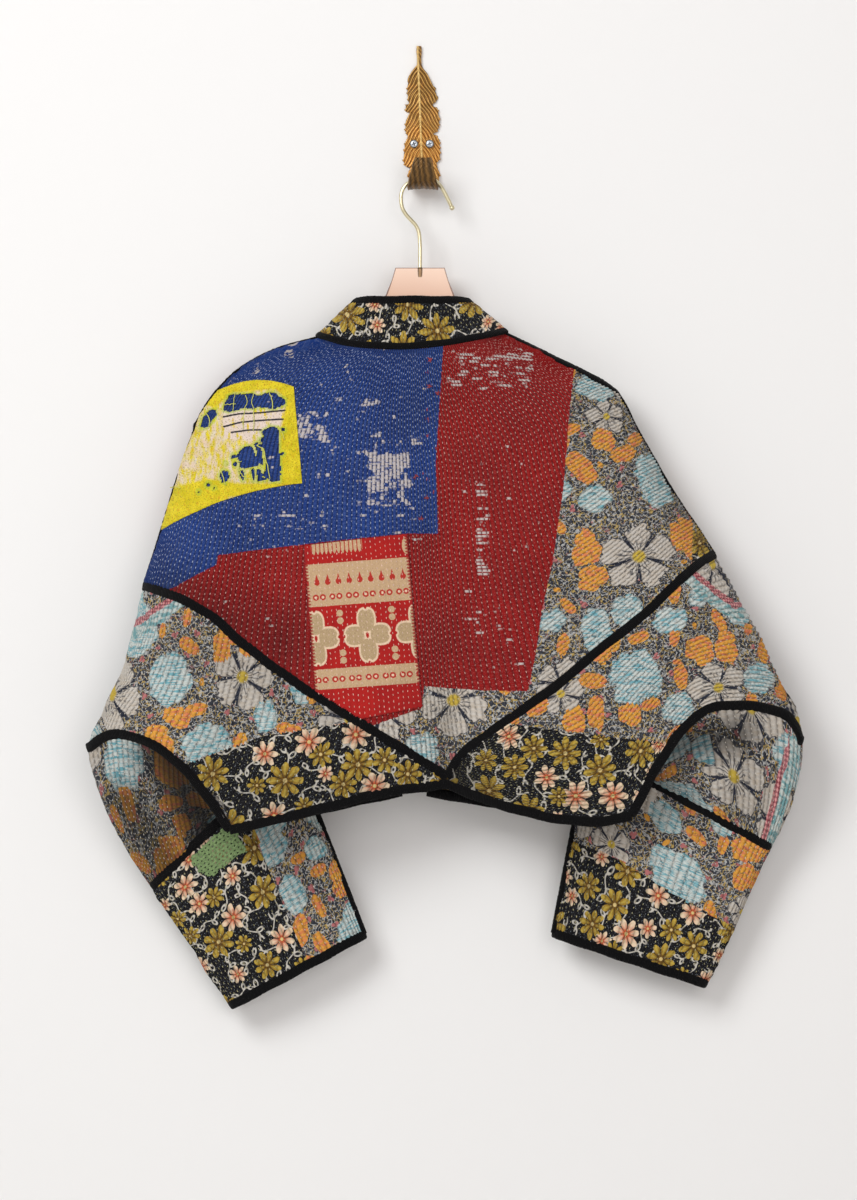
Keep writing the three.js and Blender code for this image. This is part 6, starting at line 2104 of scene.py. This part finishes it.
# ------------------------------------------------------------------ green patch
# A scrap of open sage-green weave, soft and frayed at its edge, is darned over a thin place
# at the top of the left cuff, under the tape.
KNIT_U, KNIT_V = (0.08, 0.27), (0.03, 0.36)
KNIT_CELLS = (66, 44)
KNIT_SHAPE = [(-246, -748), (-207, -712), (-160, -722), (-176, -742), (-192, -748), (-208, -762),
              (-222, -770), (-234, -762)]


def sage_weave(name):
    """Loose green wool, lighter where it is rubbed."""
    vat = Vat(name)
    u, v = vat.map("flat")
    fuzz = vat.noise(u * 0.5, v * 0.5, 2.0, detail=3.0)
    fine = vat.noise(u * 1.6, v * 1.6, 5.0, detail=1.0)
    colour = vat.blend(fuzz.over(0.5, 0.3), srgb(84, 108, 68), srgb(122, 146, 96))
    colour = vat.blend(fine.over(0.56, 0.2) * 0.4, colour, srgb(160, 176, 132))
    return vat.finish(
        colour, fine, rough=0.93, distance=0.0005, strength=0.7,
        Sheen_Weight=0.12, Specular_IOR_Level=0.2,
    )


share_u, share_v = shares(*KNIT_CELLS)
knit_points = cut["left"]["cuff"](
    KNIT_U[0] + (KNIT_U[1] - KNIT_U[0]) * share_u, KNIT_V[0] + (KNIT_V[1] - KNIT_V[0]) * share_v
)
knit_out = outward(knit_points, cut["left"]["hand"], False)
knit_seat = seat_on("cuff_left", knit_points, knit_out, 0.3)
i, j = np.meshgrid(np.arange(KNIT_CELLS[0]), np.arange(KNIT_CELLS[1]))
eyelets = (i + (j // 3) % 2) % 3 == 1
eyelets &= j % 3 == 1
from_rim = np.minimum(np.minimum(i, KNIT_CELLS[0] - 1 - i), np.minimum(j, KNIT_CELLS[1] - 1 - j))
worn_rim = from_rim < 1.5 + 1.6 * wander(i * 1.0, j * 1.0, 9, 501)
ragged = 2.2 * wander(knit_points[..., 0], knit_points[..., 2], 11, 502)
left_of_it = inside_shape(knit_points, KNIT_SHAPE) + ragged > 0
left_of_it = left_of_it[:-1, :-1] & left_of_it[1:, 1:]
knit_mesh = plate_of_cloth(
    "green_patch", knit_seat + knit_out * PATCH_THICK * 0.8, knit_seat,
    ~eyelets & ~worn_rim & left_of_it,
    cut["left"]["hand"],
)
green_patch = finish_plate(
    "green_patch", knit_mesh, np.stack([share_u * 80, share_v * 55], -1), {},
    sage_weave("sage_weave"),
    "patch_knit", "knit_patch",
)

# ------------------------------------------------------------------ feather hook
# A feather of cast brass lies flat on the wall, with its barbs cut in and its rib proud. Its
# foot is drawn out into a tongue that turns forward and up, and two screws hold it.
LEFT_VANE = [  # height, and how far the edge stands from the middle
    (107, -3.7), (101, -4.0), (94, -3.2), (87, -3.4), (84, -6), (79, -9.8), (71, -12), (62, -13.6),
    (51, -12.8), (46, -11.6), (45, -14.8), (38, -15.6), (36, -9.8), (34.5, -12), (28, -15),
    (17, -15.6), (9.5, -12), (6, -15.5), (-3, -16.6), (-13, -17.6), (-19, -16.6), (-22.5, -8),
    (-27, -12), (-30, -14), (-35, -10),
]
RIGHT_VANE = [
    (107, 1.4), (101, 1.8), (94, 1.2), (87, 1.6), (84, 3), (79, 7), (71, 11), (62, 15), (57, 17),
    (50, 18), (47, 16), (45.5, 13), (43, 14.5), (40, 18.6), (33, 20), (23, 20.3), (16, 18),
    (14.5, 14), (12, 17), (8, 20.6), (-3, 21), (-13, 21), (-17, 17), (-18.5, 13), (-22, 18.6),
    (-29, 21.4), (-35, 18),
]
FEATHER_ROWS, FEATHER_COLUMNS, BRASS_THICK = 300, 44, 2.4
FEATHER_TOP, FEATHER_HIGH, QUILL_FROM = 107, 142, 86
TONGUE = [  # depth, height and half width, from the foot of the feather
    (-2.2, -14, 12), (-2.2, -23, 14), (-3, -31, 15.5), (-8, -39.5, 15.8), (-17, -44.7, 15.8),
    (-27, -45.7, 15.8), (-37, -43.5, 15.5), (-45, -37, 14.0), (-50, -27, 11.5), (-52, -18, 9.6),
    (-52.6, -13, 6.5),
]
TONGUE_MIDDLE = 3.4


def alone(name):
    """The object that an operator has just made, under its name."""
    made = bpy.context.active_object
    made.name = made.data.name = name
    return made


def new_grid(name, columns, rows):
    """A flat grid, to be shaped point by point."""
    bpy.ops.object.select_all(action="DESELECT")
    bpy.ops.mesh.primitive_grid_add(x_subdivisions=columns, y_subdivisions=rows, size=2)
    return alone(name)


def face_outwards():
    """Turns every face of the active object outwards."""
    bpy.ops.object.mode_set(mode="EDIT")
    bpy.ops.mesh.select_all(action="SELECT")
    bpy.ops.mesh.normals_make_consistent(inside=False)
    bpy.ops.object.mode_set(mode="OBJECT")


def thicken(made, millimetres):
    """Gives a sheet of metal its thickness, towards its back."""
    face_outwards()
    wall = made.modifiers.new("wall", "SOLIDIFY")
    wall.thickness, wall.offset = millimetres * MM, -1
    bpy.ops.object.modifier_apply(modifier="wall")
    smooth(made.data)


def rib_at(z):
    """Where the rib stands at a height, on the leaning feather."""
    return (91.0 - z) * 0.0378 - 2.1


def edge_at(vane, z):
    """Where one edge of the feather stands at a height."""
    heights, edges = zip(*vane[::-1])
    return np.interp(z, heights, edges)


feather = new_grid("feather", FEATHER_COLUMNS, FEATHER_ROWS)
for vertex in feather.data.vertices:
    share, down = (vertex.co.x + 1) / 2, (1 - vertex.co.y) / 2
    z = FEATHER_TOP - FEATHER_HIGH * down
    left, right, rib = edge_at(LEFT_VANE, z), edge_at(RIGHT_VANE, z), rib_at(z)
    x = left + (rib - left) * share * 2 if share < 0.5 else rib + (right - rib) * (share * 2 - 1)
    off = abs(x - rib)
    vane = min(1.0, off / 3) * (1 if z < QUILL_FROM else 0)
    barb = math.sin(z + off * 1.5 + 0.01 * off * off + 1.2 * math.sin(z * 0.31))
    lift = 1.5 * math.exp(-((off / 1.5) ** 2)) + 0.55 * barb * vane
    lift += 1.0 - abs(2 * share - 1) ** 2
    lift += 0.7 * math.sin(z * 0.16 + share * 3) * vane
    vertex.co = (x * MM, (-2.3 - lift) * MM, z * MM)
thicken(feather, BRASS_THICK)

tongue = new_grid("tongue", 28, 90)
tongue_rows = np.array(TONGUE, float)
tongue_run = run_along(tongue_rows[:, :2])


def on_tongue(at):
    """Depth, height and half width at a length along the tongue."""
    return np.array([np.interp(at, tongue_run, tongue_rows[:, k]) for k in range(3)])


for vertex in tongue.data.vertices:
    share, at = vertex.co.x, (vertex.co.y + 1) / 2 * tongue_run[-1]
    deep, high, half = (on_tongue(at - 3) + on_tongue(at) + on_tongue(at + 3)) / 3
    ahead = on_tongue(at + 2) - on_tongue(at - 2)
    slope = math.atan2(ahead[1], ahead[0])
    dip = 1.3 * abs(share) ** 3 + 0.28 * math.sin(share * 26 + at * 0.05)
    dip -= 0.8 * math.exp(-((share / 0.09) ** 2))
    vertex.co = (
        (TONGUE_MIDDLE + share * half) * MM,
        (deep - dip * math.sin(slope)) * MM,
        (high + dip * math.cos(slope)) * MM,
    )
thicken(tongue, BRASS_THICK)
bpy.ops.object.select_all(action="DESELECT")
feather.select_set(True)
tongue.select_set(True)
bpy.context.view_layer.objects.active = feather
bpy.ops.object.join()
for vertex in feather.data.vertices:  # filed flat where it meets the wall
    vertex.co.y = min(vertex.co.y, -0.1 * MM)


def cast_brass(name):
    """Old brass: brown in the grooves and gold where hands rub it, with painted highlights on the
    barbs and along the rib.
    """
    vat = Vat(name)
    x, y, z = vat.place()
    off = (x - rib_at(z)).size()
    barbs = (z + off * 1.5 + off * off * 0.01 + (z * 0.31).step("SINE") * 1.2).step("SINE")
    tarnish = vat.noise(x * 0.10, z * 0.10, 1.0, detail=3.0)
    fine = ((z + off * 1.5) * 2.1 + tarnish * 9.0).step("SINE")
    speck = vat.noise(x * 0.8, z * 0.8, y * 0.8, detail=2.0)
    gold = (tarnish * 1.5 + (z + 8.0).size().under(30.0, 50.0) * 0.45).over(1.0, 0.6)
    colour = vat.blend(gold, srgb(150, 108, 52), srgb(232, 158, 70))
    # Painted highlight on the crest of each barb.
    colour = vat.blend(barbs.over(0.5, 0.9) * 0.6, colour, srgb(250, 200, 112))
    colour = vat.blend(barbs.under(-0.6, 0.6) * tarnish.over(0.46, 0.2) * 0.75, colour,
                       srgb(66, 42, 16))
    colour = vat.blend(fine.under(-0.6, 0.5) * 0.45, colour, srgb(70, 48, 22))
    # Painted highlight along the proud rib.
    colour = vat.blend(off.under(1.1, 0.6) * z.over(-20.0, 4.0) * 0.8, colour, srgb(236, 200, 128))
    far_out = y.under(-12.0, 14.0)
    grooves = (x * 1.1 + z * 0.16 + tarnish * 7.0).step("SINE")
    brown = vat.blend(grooves.over(0.1, 1.6) * 0.6, srgb(78, 56, 26), srgb(150, 110, 56))
    colour = vat.blend(far_out, colour, brown)
    colour = vat.blend(speck.over(0.62, 0.1) * 0.35, colour, srgb(80, 58, 28))
    return vat.finish(
        colour, barbs * 0.5 + fine * 0.25 + speck * 0.4, rough=0.42, distance=0.0006,
        strength=0.7, Metallic=0.45,
    )


feather.data.materials.append(cast_brass("cast_brass"))
settle(feather, "antique_brass", "wall_hook")

# Two round-headed steel screws, each with a cross cut in its head.
SCREWS = {"left": (-6.4, 3.4), "right": (10.2, 3.4)}
SCREW_RADIUS, SCREW_DEEP, SCREW_OUT = 4.3, 3.0, -4.9


def screw_steel(name, x0, z0):
    """Brushed steel with a cross cut in its middle; the cross and the rim of the head are darkened
    by painted shade.
    """
    vat = Vat(name)
    x, y, z = vat.place()
    dx, dz = x - x0, z - z0
    a, b = (dx * 0.94 + dz * 0.34).size(), (dz * 0.94 - dx * 0.34).size()
    reach = (dx * dx + dz * dz).step("SQRT")
    cross = a.under(0.5, 0.25).step("MAXIMUM", b.under(0.5, 0.25)) * reach.under(2.3, 0.3)
    brushed = vat.noise(dx * 2.0, dz * 2.0, 1.0, detail=2.0)
    colour = vat.blend(brushed, srgb(168, 176, 186), srgb(214, 220, 228))
    # Painted shade: the cross is coloured near black.
    colour = vat.blend(cross * 0.9, colour, srgb(26, 28, 34))
    # Painted shade round the rim of the head.
    colour = vat.blend(reach.over(3.5, 0.5) * 0.8, colour, srgb(60, 56, 50))
    return vat.finish(
        colour, brushed * 0.3 - cross, rough=0.3, distance=0.0004, strength=0.5, Metallic=0.6
    )


for side, (x0, z0) in SCREWS.items():
    bpy.ops.object.select_all(action="DESELECT")
    bpy.ops.mesh.primitive_cylinder_add(
        vertices=40, radius=SCREW_RADIUS * MM, depth=SCREW_DEEP * MM,
        location=(x0 * MM, SCREW_OUT * MM, z0 * MM), rotation=(math.pi / 2, 0, 0),
    )
    head = alone(f"screw_head_{side}")
    bpy.ops.object.transform_apply(location=True, rotation=True, scale=True)
    bpy.ops.object.mode_set(mode="EDIT")
    bpy.ops.mesh.select_all(action="DESELECT")
    bpy.ops.object.mode_set(mode="OBJECT")
    for face in head.data.polygons:
        face.select = face.normal.y < -0.9
    bpy.ops.object.mode_set(mode="EDIT")
    for inward, forward in ((0.5, 0.5), (1.0, 0.45), (1.2, 0.15)):
        bpy.ops.mesh.inset(thickness=inward * MM)
        bpy.ops.transform.translate(value=(0, -forward * MM, 0))
    bpy.ops.object.mode_set(mode="OBJECT")
    for face in head.data.polygons:
        face.use_smooth = abs(face.normal.y) > 0.3
    head.data.materials.append(screw_steel(f"screw_steel_{side}", x0, z0))
    settle(head, "screw", f"screw_{side}")

# ------------------------------------------------------------------ hanger
# A plate of peach-tinted acrylic stands in the neck. Its hook is one bent brass wire, screwed
# into a short sleeve let into the top of the plate, and ends in a small ball.
WIRE_RADIUS, WIRE_SIDES, BALL_RADIUS = 2.05, 20, 2.8
WIRE_BENDS = [  # across and height, from the plate up and over the tongue
    (0, -131), (0, -119), (0, -106), (-1, -93), (-4, -85), (-9, -79), (-14.5, -73), (-18.5, -66),
    (-20, -58), (-19.6, -50), (-16, -42.5), (-9, -37), (-2, -34), (3, -33.2), (9, -33.6),
    (15, -36), (20, -40.6), (24, -46), (28.5, -54.5), (33, -64),
]


def on_lean(z):
    """How far out the leaning hanger stands at a height."""
    return -23.7 + 0.1 * z


def smooth_line(points, count):
    """A curve through points, by the same share of each span."""
    p = np.array([points[0], *points, points[-1]], float)
    made = []
    for t in np.linspace(0, len(points) - 1 - 1e-6, count):
        i, f = int(t) + 1, t - int(t)
        a, b, c, d = p[i - 1 : i + 3]
        bend, twist = 2 * a - 5 * b + 4 * c - d, 3 * b - a - 3 * c + d
        made.append(0.5 * (2 * b + (c - a) * f + bend * f**2 + twist * f**3))
    return np.array(made)


wire_run = smooth_line(WIRE_BENDS, 150)
wire_line = np.stack([wire_run[:, 0], on_lean(wire_run[:, 1]), wire_run[:, 1]], -1)
wire_along = unit(np.gradient(wire_line, axis=0))
wire_side = unit(np.cross(wire_along, [0.0, 1.0, 0.0]))
wire_up = np.cross(wire_side, wire_along)
turn = 2 * np.pi * np.arange(WIRE_SIDES)[:, None] / WIRE_SIDES


def wire_ring(centre, radius, at):
    """One ring of the wire, square to it."""
    return centre + radius * (np.cos(turn) * wire_side[at] + np.sin(turn) * wire_up[at])


rings = [wire_ring(wire_line[at], WIRE_RADIUS, at) for at in range(len(wire_line))]
for lean in np.linspace(0.35, np.pi - 0.15, 14):  # the ball at the wire's end
    centre = wire_line[-1] + wire_along[-1] * (1.6 - BALL_RADIUS * math.cos(lean))
    rings.append(wire_ring(centre, BALL_RADIUS * math.sin(lean), -1))
wire_mesh = bpy.data.meshes.new("bent_wire")
wire_mesh.from_pydata(
    (np.concatenate(rings) * MM).tolist(), [], tube_faces(len(rings), WIRE_SIDES)
)
wire = bpy.data.objects.new("bent_wire", wire_mesh)
bpy.context.collection.objects.link(wire)
bpy.ops.object.select_all(action="DESELECT")
wire.select_set(True)
bpy.context.view_layer.objects.active = wire
face_outwards()
smooth(wire_mesh)


def drawn_brass(name):
    """Pale polished wire, a little clouded."""
    vat = Vat(name)
    x, y, z = vat.place()
    bloom = vat.noise(x * 0.4, z * 0.12, y * 0.4, detail=2.0)
    colour = vat.blend(bloom, srgb(202, 190, 150), srgb(232, 222, 190))
    return vat.finish(colour, bloom, rough=0.28, distance=0.0001, strength=0.3, Metallic=0.75)


wire_mesh.materials.append(drawn_brass("drawn_brass"))
settle(wire, "brass_wire", "hanger_hook")

SLEEVE_HIGH, SLEEVE_Z = 11.5, -134.4
bpy.ops.object.select_all(action="DESELECT")
bpy.ops.mesh.primitive_cube_add(size=1, location=(0, on_lean(SLEEVE_Z) * MM, SLEEVE_Z * MM))
socket = alone("threaded_sleeve")
socket.scale = (5.0 * MM, 6.9 * MM, SLEEVE_HIGH * MM)
bpy.ops.object.transform_apply(location=True, rotation=True, scale=True)
bpy.ops.object.mode_set(mode="EDIT")
bpy.ops.mesh.select_all(action="SELECT")
bpy.ops.mesh.bevel(offset=0.8 * MM, segments=3, affect="EDGES")
bpy.ops.object.mode_set(mode="OBJECT")
smooth(socket.data)


def sleeve_brass(name):
    """Brown threaded brass, with painted shade at its edges and corners."""
    vat = Vat(name)
    x, y, z = vat.place()
    rim = x.size().over(1.5, 0.4).step("MAXIMUM", (z - SLEEVE_Z).size().over(4.4, 0.4))
    threads = (z * 5.2).step("SINE")
    colour = vat.blend(threads.over(0.0, 1.0) * 0.5, srgb(186, 150, 112), srgb(128, 92, 62))
    # Painted shade along the edges and corners of the sleeve.
    colour = vat.blend(rim * 0.9, colour, srgb(52, 34, 24))
    return vat.finish(colour, threads, rough=0.35, distance=0.0003, strength=0.4, Metallic=0.3)


socket.data.materials.append(sleeve_brass("sleeve_brass"))
settle(socket, "brass_wire", "hanger_ferrule")


def peach_acrylic(name):
    """Polished plate, with light caught and lost along its cut edges."""
    vat = Vat(name)
    x, y, z = vat.place()
    down = -129.0 - z
    edge = (down * 0.27 + down * down * 0.0018 + 26.0) - x.size()
    rim = edge.under(0.9, 0.5).step("MAXIMUM", down.under(0.8, 0.5))
    cloud = vat.noise(x * 0.03, z * 0.03, 2.0, detail=2.0)
    colour = vat.blend(down.over(22.0, 44.0) * 0.7 + cloud * 0.2, srgb(238, 206, 184),
                       srgb(222, 164, 128))
    colour = vat.blend(rim * 0.85, colour, srgb(92, 48, 34))
    return vat.finish(
        colour, cloud, rough=0.16, distance=0.0002, strength=0.1,
        Coat_Weight=0.5, Coat_Roughness=0.08,
    )


plate = bpy.data.objects["hanger"]
plate.data.materials.clear()
plate.data.materials.append(peach_acrylic("peach_acrylic"))

# ------------------------------------------------------------------ the cloths as cut
# Every panel is quilted flat, as several layers of old cotton sewn through, and then cut. The
# panels hang from the shoulders of the hanger, and the patches are laid on them and sewn down.
# Here only each panel's cut size and area, and the pieces sewn on it, are worked out, and nothing
# is done with them.
BOUND_WITH = {
    "back": ("hem_back", "shoulder_left", "shoulder_right", "collar_foot"),
    "collar": ("collar_top",),
    "front": ("hem_front", "front"), "side": ("seam",), "sleeve": ("armhole",),
    "cuff": ("cuff_edge", "cuff_top", "cuff_inner"),
}


def cut_size(points, step):
    """Mean width and length of a panel's cloth in metres, and its area, with no puckers."""
    flat = points[::step, ::step] * MM
    across = np.linalg.norm(np.diff(flat, axis=1), axis=2).sum(1).mean()
    down = np.linalg.norm(np.diff(flat, axis=0), axis=2).sum(0).mean()
    a, b = flat[1:, 1:] - flat[:-1, :-1], flat[1:, :-1] - flat[:-1, 1:]
    area = min(np.linalg.norm(np.cross(a, b), axis=2).sum() / 2, across * down)
    return (round(float(across), 3), round(float(down), 3)), round(float(area), 4)


def declare_cloth(place, side=""):
    node = place + side
    size, area = cut_size(panels[node]["shown"], 4)
    names = (name if name in tapes else name + side for name in BOUND_WITH[place])
    on_it = [sewn[node], *(tapes[name] for name in names)]
    if node == "back":
        on_it.append(cross_stitches)


declare_cloth("back")
declare_cloth("collar")
for side in SIDES:
    for place in ("front", "side", "sleeve", "cuff"):
        declare_cloth(place, f"_{side}")


low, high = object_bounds()
